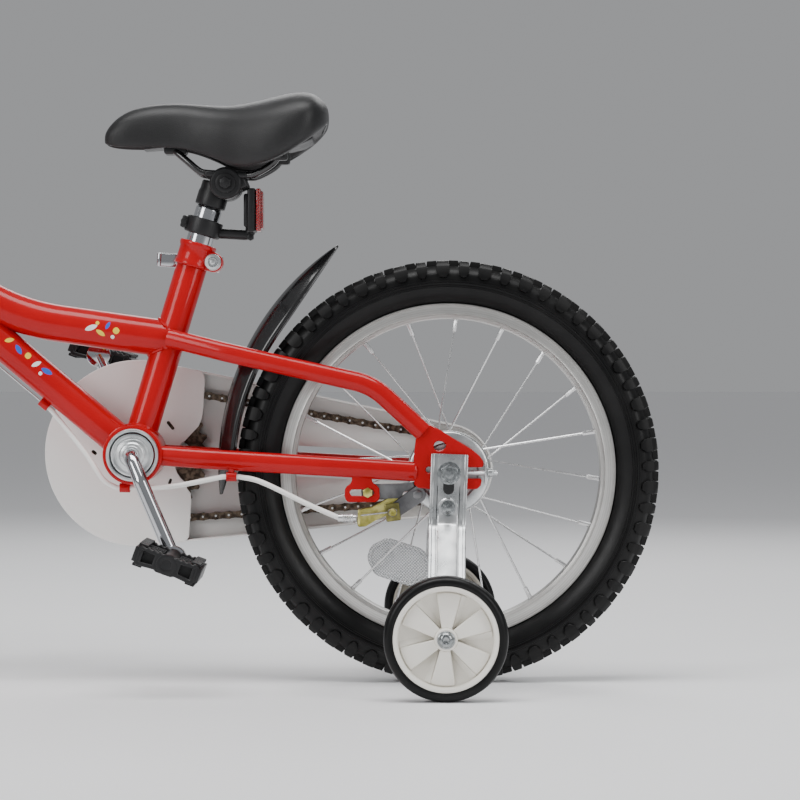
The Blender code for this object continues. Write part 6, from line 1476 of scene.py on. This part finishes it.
for name, side in both_sides:
    inner = 65.6
    out = across * side
    stations = [(inner + 1.5, 221), (inner + 1.5, 153), (165.5, 72), (168.5, 42)]
    points = [Vector((0, side * y, z)) * mm for y, z in stations]
    line = rounded(points, 16, 6)
    works = [bent_strip(line, 3, 11.4, rear_axle.x, 0.5)]
    for edge_side in (-1, 1):
        works += [bent_strip([p + out * 1.3 * mm for p in line], 5.4, 1.6,
                             rear_axle.x + edge_side * 15.9 * mm, 0.9),
                  bent_strip(line, 3, 3.6, rear_axle.x + edge_side * 13.4 * mm, 0.4)]
    stations = [(inner + 3.0, 164), (inner + 4.6, 154), (167.6, 78), (169.4, 70)]
    web = rounded([Vector((0, side * y, z)) * mm for y, z in stations], 10, 5)
    works.append(bent_strip(web, 5, 9.6, rear_axle.x, 1.1))
    boss = by_axle(0, -33)
    arch = circle(boss, 9.8)[:17] + [(boss.x - 9.8 * mm, 152 * mm), (boss.x + 9.8 * mm, 152 * mm)]
    works.append(sheet_cut(arch, side * inner, side * (inner + 5.6), edge=1.2))
    heads = []
    for reach, far, size, sides in ((inner + 5.4, inner + 7.0, 7.4, 40),
                                    (inner + 6.8, inner + 11, 5.6, 6),
                                    (inner + 10.8, inner + 11.8, 3.4, 32)):
        heads.append(pin(boss, out, reach, far, size, sides, 0.5))
    works.append(pin(boss, out, inner - 4, inner + 1, 6, 6, 0.5))
    foot = 168.5
    works += [pin(training_hub, out, foot - 6, 205, 4, 24, 0.5),
              tube(4, 7.5, foot, 171.7, training_hub, out, 36, 0),
              pin(training_hub, out, foot - 9, foot - 2, 7, 6, 0.6)]
    whole = gathered(*works)
    whole.transform(lean)
    piece(f"training_bracket_{name}", whole, zinc, "frame")
    cap = [(0, 200.3), (8.2, 200.3), (8.2, 202), (6.8, 202.4), (6.6, 204.6), (4.8, 206.2),
           (3.4, 206.6), (3.0, 205.4), (0, 205.2)]
    heads.append(turned(cap, training_hub, out, 48, 0.3))
    bolts = gathered(*heads)
    bolts.transform(lean)
    piece(f"bracket_bolts_{name}", bolts, bolt_steel, "frame")
    # A thin dark sheet on the bracket's face stands for the axle slot: painted shadow, with no
    # hole cut.
    slot = by_axle(0, -15)
    oval = circle(slot, 5.2, 20)[10:] + around(slot, [(5.2, 0), (5.2, 14), (-5.2, 14)])
    shadow = sheet_cut(oval, side * (inner + 2.9), side * (inner + 3.15), edge=0)
    shadow.transform(lean)
    piece(f"axle_slot_{name}", shadow, gloss_black, "frame")
print("bracket:", triangles["training_bracket_left"], "triangles")

# %% [markdown]
# ## Rear mudguard
#
# A short glossy guard curves between the seat tube and the tyre and ends in a point. It starts as
# a flat grid, is wrapped onto an arc with its sides turned down, narrowed to its tip, then given
# its wall with Solidify. Two raised lines run along it.

# %% Mudguard blade and strap
guard_centre = by_axle(-35, 4)
low_angle, high_angle = radians(186), radians(123.5)
work = bmesh.new()
bmesh.ops.create_grid(work, x_segments=56, y_segments=20, size=1.0)
for vert in work.verts:
    along, over = (vert.co.x + 1) / 2, vert.co.y
    angle = low_angle + (high_angle - low_angle) * along
    at_tip = 0.95 * max(along - 0.62, 0) ** 1.9 / 0.38 ** 1.9
    at_root = 0.88 * max(0.15 - along, 0) ** 1.4 / 0.15 ** 1.4
    narrow = 1 - at_tip - at_root
    half = 24.5 * mm * narrow
    ridge = 1.1 * mm * exp(-((abs(over) - 0.5) / 0.09) ** 2) * narrow
    radius = 256 * mm - (13 + 10 * along) * mm * narrow * over ** 2 + ridge
    vert.co = guard_centre + Vector((radius * cos(angle), half * over, radius * sin(angle)))
bmesh.ops.recalc_face_normals(work, faces=work.faces)
guard_blade = piece("rear_mudguard", work, gloss_black, "frame", crease=60)
thick = guard_blade.modifiers.new("wall", "SOLIDIFY")
thick.thickness, thick.offset = 1.8 * mm, 0
strap_back = Vector((cos(bridge_angle), 0, -sin(bridge_angle)))
strap_up = Vector((-strap_back.z, 0, strap_back.x))
works = [block(bridge + strap_up * 3.3 * mm + strap_back * 5 * mm, (30, 16, 2), bridge_turn, 0.7),
         pin(bridge, strap_up, -7, 8, 2.5, 20), pin(bridge, strap_up, 4.3, 8, 5, 6, 0.6),
         pin(bridge, strap_up, -7, -2.3, 5, 6, 0.6)]
piece("mudguard_bolt", gathered(*works), zinc, "frame")
print("mudguard:", triangles["rear_mudguard"], "triangles")

# %% [markdown]
# ## Seat post, clamp and rails
#
# The chromed post is swaged thinner at the top to take a clamp. Two toothed discs in the clamp
# grip the saddle's rails, one bent wire that starts behind, runs through the clamp and bows round
# under the nose. The post is a turned section and the wire is one sweep.

# %% Post and clamp
seat_turn = Matrix((seat_back, across, seat_up)).transposed()


def along_seat(section, steps=64):
    """A turned section along the seat tube, its (radius, height) points in mm."""
    return turned(section, bottom_bracket, seat_up, steps, 0.3)


seatpost = along_seat([(0, 58), (12.2, 58), (12.7, 59), (12.7, 246.6), (11.2, 249), (11, 249.4),
                       (11, 271.6), (10.4, 272), (0, 272)])
piece("seatpost", seatpost, chrome, "seat")
clamp_centre = at_seat(275, 9.6)


def from_clamp(forward, up, side=0.0):
    """A point in front of, above and beside the saddle clamp's middle, in mm."""
    return clamp_centre + Vector((-forward, side, up)) * mm


works = [along_seat([(11.3, 249.3), (13.8, 249.3), (14.8, 250.3), (14.8, 262), (14, 265),
                     (14, 272), (13, 273.4), (11.3, 273.4)])]
teeth = [(13.6, -27), (15.5, -25.4), (15.5, -15), (14.6, -14), (14.6, -13), (15.5, -12),
         (15.5, -4), (14.4, -3), (14.4, 3), (15.5, 4), (15.5, 12), (14.6, 13), (14.6, 14),
         (15.5, 15), (15.5, 25.4), (13.6, 27)]
works.append(turned([(0, -27), *teeth, (0, 27)], clamp_centre, across, 56, 0.3))
notches = [Matrix.Translation(clamp_centre) @ Matrix.Rotation(radians(15 * k), 4, "Y")
           for k in range(24)]
notch = block(Vector((0, 0, 14.6 * mm)), (1.7, 7, 2.4), edge=0.3, segments=1)
works.append(stamped(notch, notches))
for side in (-1, 1):
    seat_plate = from_clamp(0, 8.4, side * 21)
    works += [block(seat_plate, (42, 10.5, 6.5), tilted(2.4), 2.6, 3),
              block(from_clamp(-13, 1, side * 19), (14, 9, 15), tilted(-24), 3, 3)]
    washer = [(0, 26.6), (9, 26.6), (9.6, 27.4), (9.4, 28.6), (8.2, 29), (6, 29), (0, 29)]
    works += [turned(washer, clamp_centre, across * side, 40),
              pin(clamp_centre, across * side, 28.5, 33.6, 6, 6, 0.8),
              pin(clamp_centre, across * side, 33, 34, 3, 20, 0.3)]
piece("saddle_clamp", gathered(*works), black_plastic, "seat")

# %% Rails
half_rail = [from_clamp(*spot)
             for spot in ((-53, 31, 33), (-46, 19, 31), (-29, 9, 25), (-18, 8, 21), (0, 8.8, 21),
                          (18, 9.6, 21), (26, 12, 20), (38, 22, 16), (50, 32, 9))]
other_rail = [Vector((p.x, -p.y, p.z)) for p in reversed(half_rail)]
rail_line = smooth(half_rail + [from_clamp(54, 33.5)] + other_rail, 7)
piece("saddle_rails", swept(rail_line, 3.5, 20), gloss_black, "seat")
print("rails:", triangles["saddle_rails"], "triangles")

# %% [markdown]
# ## Saddle
#
# A child's saddle is a moulded foam pad with a grained skin on a stiff base. The pad starts as a
# cage of sixteen rings. Each ring goes over the crown, round a drawn-in edge and across
# a hollow underneath. Subdivision Surface rounds the cage, and its own smooth falls make the
# cushion swell between the edges. A thin welt runs round the lower edge, where the skin is glued.

# %% Foam pad
nose_reach, saddle_length, saddle_width = 118, 217, 138
stations = [  # share of the length, share of the half width, top, lower edge, recess
    (0.0, 0.2, 48, 38.5, 3), (0.03, 0.28, 58.5, 35.8, 4), (0.09, 0.335, 69.6, 34.2, 5),
    (0.18, 0.355, 76, 34, 6), (0.29, 0.375, 78.4, 34, 8), (0.39, 0.42, 77.6, 31, 12),
    (0.485, 0.54, 75.6, 23, 17), (0.56, 0.69, 75.6, 14.8, 21), (0.63, 0.82, 77.4, 12.6, 24),
    (0.70, 0.93, 80.6, 14.4, 23), (0.77, 1.0, 84.6, 19.5, 19), (0.83, 1.03, 87.4, 26.5, 14),
    (0.885, 1.03, 88.4, 34.5, 9), (0.93, 0.97, 86.8, 41.5, 7), (0.96, 0.86, 83, 47.5, 5),
    (1.0, 0.6, 74, 57, 3)]


def saddle_ring(station, grow=0.0):
    """One ring of the pad; grow pushes it outwards, in mm."""
    share, width, top, low, recess = station
    half, tall = width * saddle_width / 2 + grow, top - low
    shape = [(0, top + grow), (0.34 * half, top - 0.012 * tall + grow),
             (0.64 * half, top - 0.075 * tall), (0.88 * half, top - 0.22 * tall),
             (0.99 * half, top - 0.44 * tall), (0.985 * half, low + 0.26 * tall),
             (0.95 * half, low + 0.08 * tall), (0.86 * half, low),
             (0.75 * half, low + 0.2 * recess), (0.68 * half, low + recess), (0, low + recess)]
    forward = nose_reach - share * saddle_length
    shape += [(-side, up) for side, up in shape[-2:0:-1]]
    return [from_clamp(forward, up, side) for side, up in shape]


def ringed(rings):
    """A closed skin through rings: the first is filled and extruded on, ring by ring."""
    work = bmesh.new()
    loops = [closed_loop(work, ring) for ring in rings]
    for first, second in zip(loops, loops[1:]):
        bmesh.ops.bridge_loops(work, edges=first + second)
    for loop in (loops[0], loops[-1]):
        bmesh.ops.edgeloop_fill(work, edges=loop)
    bmesh.ops.recalc_face_normals(work, faces=work.faces)
    return work


pad = piece("saddle_pad", ringed([saddle_ring(s) for s in stations]), saddle_skin, "seat",
            crease=180)
rounding = pad.modifiers.new("rounding", "SUBSURF")
rounding.levels = rounding.render_levels = 3

# %% Welt and stiff base
def welt_spot(station, side):
    share, width, top, low, recess = station
    return from_clamp(nose_reach - share * saddle_length, low + 2.6,
                      side * width * saddle_width / 2 * 0.8)


left_welt = [welt_spot(s, -1) for s in stations[1:-1]]
right_welt = [welt_spot(s, 1) for s in stations[1:-1]]
nose_bow = from_clamp(nose_reach - 4, 40, 0)
tail_bow = from_clamp(nose_reach - saddle_length + 3, 57.5, 0)
welt_line = smooth([nose_bow, *right_welt, tail_bow, *left_welt[::-1], nose_bow], 5)
piece("saddle_welt", swept(welt_line, 1.0, 10), black_plastic, "seat")


def base_ring(station):
    share, width, top, low, recess = station
    half = width * saddle_width / 2 * 0.62
    upper = low + recess - 3.4
    forward = nose_reach - share * saddle_length
    shape = [(-half, upper - 3.5), (-half * 0.5, upper - 5), (half * 0.5, upper - 5),
             (half, upper - 3.5), (half, upper), (0, upper + 0.4), (-half, upper)]
    return [from_clamp(forward, up, side) for side, up in shape]


works = [softened(ringed([base_ring(s) for s in stations[3:-2]]), 0.6, 1, 50),
         block(from_clamp(49, 33.5), (22, 26, 10), None, 2.5, 3)]
for side in (-1, 1):
    works += [block(from_clamp(-52, 28, side * 33), (16, 14, 14), None, 2.5, 3),
              pin(from_clamp(-30, 0, side * 16), upright, 34, 44, 5, 20, 0.8)]
piece("saddle_base", gathered(*works), black_plastic, "seat")
print("saddle:", triangles["saddle_pad"], triangles["saddle_base"])

# %% [markdown]
# ## Rear reflector and seat collar
#
# The reflector hangs on a moulded bracket clipped round the post: a red prism lens in a black
# tray. Below it the red collar closes the split seat tube. Its bolt runs through two ears to a
# lever, which pulls the ears together as it turns about a round barrel.

# %% Bracket, tray and lens
ring_middle = at_seat(229)
lens_front = ring_middle.x + 51.4 * mm
lens_height = ring_middle.z + 15.8 * mm
works = [along_seat([(12.9, 221), (16.5, 221), (17.5, 222), (17.5, 236), (16.5, 237),
                     (12.9, 237)]), block(at_seat(229, -18.5), (7, 15, 12), seat_turn, 1.6),
         pin(at_seat(229, -19.5), across, -9.6, 9.6, 3.2, 6, 0.5)]
arm_start = at_seat(227, 14)
arm_end = Vector((lens_front - 6 * mm, 0, arm_start.z - 2 * mm))
arm_line = rounded([arm_start, arm_end, arm_end + Vector((0, 0, 16 * mm))], 5, 6)
works += [swept(arm_line, 5, 20),
          block(arm_end + Vector((-12 * mm, 0, 1 * mm)), (20, 9, 5), None, 1.2),
          pin(arm_end - upright * 2 * mm, across, -7, 7, 3.4, 6, 0.5)]
tray = Vector((lens_front - 6.4 * mm, 0, lens_height))
works += [block(tray + Vector((2 * mm, 0, 0)), (8, 40, 42), None, 2, 3),
          block(tray - Vector((3 * mm, 0, 0)), (5.4, 30, 32), None, 2, 3)]
piece("rear_reflector_bracket", gathered(*works), black_plastic, "seat")
works = [block(Vector((lens_front + 2.4 * mm, 0, lens_height)), (4.6, 44, 41), None, 1.4, 3),
         block(Vector((lens_front + 5.2 * mm, 0, lens_height)), (3.4, 39, 36), None, 1.4, 3)]
piece("rear_reflector_lens", gathered(*works), red_lens, "seat")

# %% Collar and quick-release lever
ear = at_seat(199, 19)
collar = [(15.3, 189), (16.6, 189), (17.6, 190), (17.6, 192.6), (16.8, 194), (16.8, 207),
          (17.6, 208.4), (18, 210), (18, 212), (17, 213), (15.3, 213)]
works = [along_seat(collar, 72)]
for side in (-1, 1):
    lug_middle = ear + across * side * 6.2 * mm
    works += [pin(lug_middle, across, -4.7, 4.7, 9.5, 40, 1),
              block(at_seat(199, 14, side * 6.2), (11, 9.4, 17), seat_turn, 1)]
piece("seat_clamp", gathered(*works), plain_red, "frame")
nut = [(0, 10.7), (8, 10.7), (8.2, 12), (8.2, 14.4), (7.4, 15.6), (5.0, 16), (4.4, 15),
       (4.0, 12.6), (0, 12.4)]
works = [turned(nut, ear, -across, 48), pin(ear, across, -14.8, 10.4, 2.5, 20)]
piece("collar_bolt", gathered(*works), zinc, "frame")
barrel = ear + across * 18.3 * mm
side_step = across * 4.6 * mm
level_turn = tilted(4)
lever_back, lever_rise = level_turn @ backward, level_turn @ upright
tip = barrel + side_step - lever_back * 54 * mm
works = [pin(barrel, seat_up, -8, 8, 7, 40, 1),
         block(barrel + side_step - lever_back * 24 * mm, (50, 3.6, 9), level_turn, 1.6, 3),
         block(barrel + side_step * 1.1 - lever_back * 46 * mm, (19, 4.6, 13.4), level_turn, 2, 3),
         pin(tip, lever_rise, -6.4, 6.4, 2.6, 24, 1.2)]
piece("quick_release_lever", gathered(*works), chrome, "quick_release")
print("collar:", triangles["seat_clamp"], triangles["quick_release_lever"])

# %% [markdown]
# ## Fork and headset
#
# A unicrown fork is two bent legs welded to the steerer at an arch, so one sweep over the arch
# makes both. The headset's cups are pressed into the head tube and hold the bearings on which
# the fork turns. Their stepped sections are what the eye reads as a bearing.

# %% Headset cups
cup = [(13.46, 9.7), (17.3, 9.7), (18.6, 8.8), (19.5, 6.5), (19.5, 2.6), (18.9, 2.0), (18.9, 1.2),
       (19.3, 0.8), (19.3, 0.3), (14.9, 0.3), (14.9, -9), (13.46, -9)]
for name, up, way in (("lower", 10, -1), ("upper", 120, 1)):
    work = turned(cup, at_fork(up), steer_up * way, 80, 0.2)
    piece(f"headset_cup_{name}", work, chrome, "frame")


# %% Fork
def brake_boss(side, forward=0.0):
    """A point on the line of a front brake arm's boss."""
    return at_fork(-134, forward, side * 45)


def fork_leg(side):
    """The middle line of a fork leg, from its tip up to the crown."""
    return [at_fork(-248, 29, side * 51), at_fork(-193, 9, side * 47),
            at_fork(-120.6, 0, side * 44), at_fork(-48, 0, side * 42.7)]


arch = [at_fork(-25, 0, -30.8), at_fork(-14), at_fork(-25, 0, 30.8)]
fork_line = smooth(fork_leg(-1) + arch + fork_leg(1)[::-1], 10)
reach = len(fork_line) - 1
fork_radii = [8.6 + 2.4 * min(1, 4.2 * min(i, reach - i) / reach) for i in range(reach + 1)]
works = [swept(fork_line, fork_radii, 32)]
crown_race = [(0, -10), (16, -10), (18.5, -6), (18.5, -2), (17.6, -0.4), (0, -0.4)]
works += [turned(crown_race, crown, steer_up, 64, 0.3),
          tube(11.1, 12.6, -14, 137.9, crown, steer_up, edge=0.2)]
for side in (-1, 1):
    tip_shape = [(-234, 22), (-233, 30), (-236, 36), (-250, 41), (-262, 44.4), (-271, 45),
                 (-276.4, 42.5), (-278.4, 37.4), (-272, 37.1), (-268, 37.1), (-264.9, 35.6),
                 (-263, 32), (-264.9, 28.4), (-268, 26.9), (-272, 26.9), (-278.6, 26.6),
                 (-277, 21.4), (-270, 18.6), (-262, 19)]
    outline = [flat_pair(at_fork(up, forward)) for up, forward in tip_shape]
    works.append(sheet_cut(outline, side * 48, side * 52, edge=0.5))
    boss = [(0, -1.2), (8.2, -1.2), (8.5, 0), (8.5, 14), (7.6, 15.4), (0, 15.4)]
    works += [turned(boss, brake_boss(side), steer_forward, 40, 0.3),
              pin(brake_boss(side), steer_forward, 14, 31, 3.46, 24)]
piece("fork", gathered(*works), plain_red, "steering")
locknut = [rod(at_fork(130.3), at_fork(137.3), 17, 6, 0.8),
           turned([(11.2, 136.8), (14, 136.8), (13.4, 138.6), (11.2, 138.6)], crown, steer_up, 40)]
for side in (-1, 1):
    locknut.append(pin(brake_boss(side), steer_forward, 28.6, 31.4, 5.4, 6, 0.6))
piece("fork_nuts", gathered(*locknut), zinc, "steering")
print("fork:", triangles["fork"], "triangles")

# %% [markdown]
# ## Stem and handlebar
#
# The quill slides down inside the steerer and its forged head reaches forward to a split clamp.
# The black bar is one tube: flat in the clamp, bent up to the shoulders, then out to the grips.

# %% Stem
quill = [(0, 66), (9.5, 66), (11, 68), (11, 170), (15, 171), (15, 199.6), (13.4, 201), (6.5, 201),
         (6.1, 198), (0, 198)]
works = [turned(quill, crown, steer_up, 56, 0.5)]
neck = [at_fork(186, 4), at_fork(189, 14), at_fork(189, 24), at_fork(189, 33)]
works.append(swept(smooth(neck, 5), 14, 36))
clamp_spot = at_fork(189, 36)
half_clamp = [(11.3, -23), (17, -23), (18.5, -21.4), (18.5, 21.4), (17, 23), (11.3, 23)]
works.append(turned(half_clamp, clamp_spot, across, 64, 0.3))
steer_turn = Matrix((steer_forward, across, steer_up)).transposed()
works.append(block(at_fork(172.5, 40), (17, 24, 6), steer_turn, 1.6, 3))
piece("stem", gathered(*works), alloy, "steering")
works = [rod(at_fork(168.6, 41), at_fork(164, 41), 5, 6, 0.6),
         rod(at_fork(198.2), at_fork(201.2), 5.4, 6, 0.6)]
piece("stem_bolts", gathered(*works), zinc, "steering")


# %% Handlebar
def at_bar(side, up, back):
    """A point beside, above and behind the stem's clamp, in mm."""
    return at_fork(189 + up, 36 - back, side)


def grip_line(side):
    """The straight end of the bar: where it starts and ends, and its direction outwards."""
    start, end = at_bar(side * 98, 88, 6), at_bar(side * 236, 92, 30)
    return start, end, (end - start).normalized()


bar_corners = [grip_line(-1)[1], grip_line(-1)[0], at_bar(-44, 0, 0), at_bar(44, 0, 0),
               grip_line(1)[0], grip_line(1)[1]]
bar_line = rounded(bar_corners, 34, 14)
piece("handlebar", swept(bar_line, 11.1, 40), gloss_black, "steering")
print("handlebar:", triangles["handlebar"], "triangles")


# %% [markdown]
# ## Grips and brake levers
#
# A grip is soft rubber with a hand stop at each end and rings moulded between them, all in one
# turned section. A lever turns on a pin between two ears of its clamp. Its blade is flat and
# narrow and curls away at the tip, so a small hand can hook it.

# %% Grips
grip_over, grip_length = 4, 104
for name, side in both_sides:
    start, end, outward = grip_line(side)
    grip_end = end + outward * grip_over * mm
    grip_start = grip_end - outward * grip_length * mm
    profile = [(11.2, 0), (19, 0), (20, 1), (20, 3), (18.6, 4.4), (15.2, 6)]
    for ring in range(16):
        profile += [(15.5, 8 + ring * 5), (15.5, 10.4 + ring * 5), (14.2, 11.2 + ring * 5),
                    (14.2, 12.2 + ring * 5)]
    profile += [(15.5, 89), (17.5, 93), (19.5, 97), (19, 101), (16.5, 104), (6, 104), (5, 103.2),
                (0, 103), (0, 100.5), (11.2, 100.4)]
    grip = turned(profile, grip_start, outward, 56)
    piece(f"grip_{name}", grip, grip_rubber, "steering", crease=50)
print("grip:", triangles["grip_left"], "triangles")


# %% Levers
def lever_axes(side):
    """The middle of a lever's clamp, with the directions out along the bar, forward and up."""
    start, end, outward = grip_line(side)
    ahead = (steer_forward - outward * steer_forward.dot(outward)).normalized()
    upward = ahead.cross(outward).normalized() * -side
    collar_gap, half_collar = 4, 7.5
    inwards = grip_over - grip_length - collar_gap - half_collar
    return end + outward * inwards * mm, outward, ahead, upward


for name, side in both_sides:
    middle, outward, ahead, upward = lever_axes(side)
    turn = Matrix((outward, ahead, upward)).transposed()
    collar = [(11.3, -7.5), (14.6, -7.5), (16, -6), (16, 6), (14.6, 7.5), (11.3, 7.5)]
    works = [turned(collar, middle, outward, 48, 0.3)]
    for level in (-1, 1):
        ear_spot = middle + ahead * 22 * mm + upward * level * 8.3 * mm
        works.append(block(ear_spot, (14, 29, 4), turn, 1.6, 3))
    wall_spot = middle + ahead * 16 * mm - outward * 5 * mm
    works.append(block(wall_spot, (4, 14, 16.6), turn, 0.8))
    ferrule = [(2.6, 0), (4, 0), (4, 5), (3.4, 5.6), (4, 6.2), (4, 7.8), (3.4, 8.4), (4, 9),
               (4, 15), (3.4, 17), (2.6, 17)]
    works.append(turned(ferrule, wall_spot, -outward, 28))
    lever_pin = middle + ahead * 30 * mm
    works.append(pin(lever_pin, upward, -9.3, 9.3, 1.96, 16, 0.3))
    for level in (-1, 1):
        works.append(pin(lever_pin, upward * level, 10, 11.3, 4, 20, 0.4))
    piece(f"lever_bracket_{name}", gathered(*works), black_plastic, "steering")
    blade_line = smooth([lever_pin, lever_pin + ahead * 10 * mm + outward * 12 * mm,
                         middle + ahead * 47 * mm + outward * 34 * mm,
                         middle + ahead * 43 * mm + outward * 66 * mm,
                         middle + ahead * 46 * mm + outward * 88 * mm,
                         middle + ahead * 52 * mm + outward * 97 * mm], 7)
    last = len(blade_line) - 1
    widths = [5 + 0.7 * sin(pi * i / last) for i in range(last + 1)]
    lever_blade = swept(blade_line, widths, 24)
    for vert in lever_blade.verts:
        lift = (vert.co - lever_pin).dot(upward)
        near = min(blade_line, key=lambda spot: (spot - vert.co).length)
        vert.co = near + (vert.co - near - upward * lift) * 0.72 + upward * lift
    hub = [(2.06, -6), (5.4, -6), (6, -5.4), (6, 5.4), (5.4, 6), (2.06, 6)]
    works = [lever_blade, turned(hub, lever_pin, upward, 32, 0.2)]
    piece(f"brake_lever_{name}", gathered(*works), alloy, f"brake_lever_{name}")
print("lever:", triangles["brake_lever_left"], "triangles")

# %% [markdown]
# ## Front brake and hanging cables
#
# Two arms turn on bosses and press rubber pads on the rim. Their housing ends at the left arm
# and its bare wire crosses to the right one. The rear brake's housing hangs in a loop from the
# turning bar to the fixed frame.

# %% Brake arms and pads
rim_edge, half_pad, axle_drop = 161, 7.5, 268
pad_up = rim_edge - half_pad - axle_drop
for name, side in both_sides:
    pivot, top = brake_boss(side, 22), at_fork(-30, 22, side * 40)
    arm_line = smooth([pivot, at_fork(-118, 22.6, side * 45.6), at_fork(-80, 22.6, side * 44),
                       top], 6)
    arm_count = len(arm_line)
    works = [swept(arm_line, [6 - 1.6 * i / arm_count for i in range(arm_count)], 28),
             pin(pivot, steer_forward, -6, 6, 8.5, 36, 1),
             pin(top, steer_forward, -5, 5, 5, 6, 0.8)]
    stub = at_fork(pad_up, 22, side * 51)
    works += [rod(stub, at_fork(pad_up, 22, side * 26), 3.5, 20, 0.4),
              pin(stub, across * side, -0.4, -4, 5.6, 6, 0.6)]
    piece(f"front_brake_arm_{name}", gathered(*works), alloy, f"front_brake_arm_{name}")
    pad_spot = at_fork(pad_up, 19, side * 21)
    works = [block(pad_spot, (46, 10, 9), steer_turn, 1.6, 3)]
    works += [block(at_fork(pad_up, 19 + k * 11, side * 16.7), (8, 1.6, 8), steer_turn, 0.5, 1)
              for k in (-1, 0, 1)]
    piece(f"brake_pad_{name}", gathered(*works), grip_rubber, f"front_brake_arm_{name}")


# %% Hanging cables
def cable_start(side):
    """Where a cable leaves the barrel of a lever, and the direction out along the bar."""
    middle, outward, ahead, upward = lever_axes(side)
    wall, barrel, clear = 5, 17, 0.9
    return middle + ahead * 16 * mm - outward * (wall + barrel + clear) * mm, outward


begin, outward = cable_start(-1)
noodle, other_arm = at_fork(-28, 22, -28), at_fork(-28, 22, 40)
loop_line = smooth([begin, begin - outward * 6 * mm, begin - outward * 13 * mm,
                    at_fork(239, 80, -64), at_fork(159, 92, -56), at_fork(80, 74, -64),
                    at_fork(16, 46, -68), at_fork(-14, 26, -52), noodle], 10)
front_cable = piece("front_brake_cable", swept(loop_line, 2.5, 20), grip_rubber, None)
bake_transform(front_cable)
wire = piece("front_brake_wire", rod(noodle, other_arm, 0.8, 12, 0), spoke_steel, None)
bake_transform(wire)
begin, outward = cable_start(1)
meets = front_stop + down_slope * 5.3 * mm
rear_loop = smooth([begin, begin - outward * 6 * mm, begin - outward * 13 * mm,
                    at_fork(235, 78, 66), at_fork(149, 66, 70), at_fork(60, 20, 62),
                    at_fork(6, -32, 44), meets + down_slope * 30 * mm + Vector((0, 4, -3)) * mm,
                    meets], 10)
hanging = piece("rear_brake_cable_loop", swept(rear_loop, 2.5, 20), white_plastic, None)
meets + down_slope * 8 * mm
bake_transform(hanging)
print("cables:", triangles["front_brake_cable"], triangles["rear_brake_cable_loop"])

# %% [markdown]
# ## Last measures
#
# The last line prints how many triangles all the pieces have.

# %% Measure and finish
print("triangles made:", sum(triangles.values()))
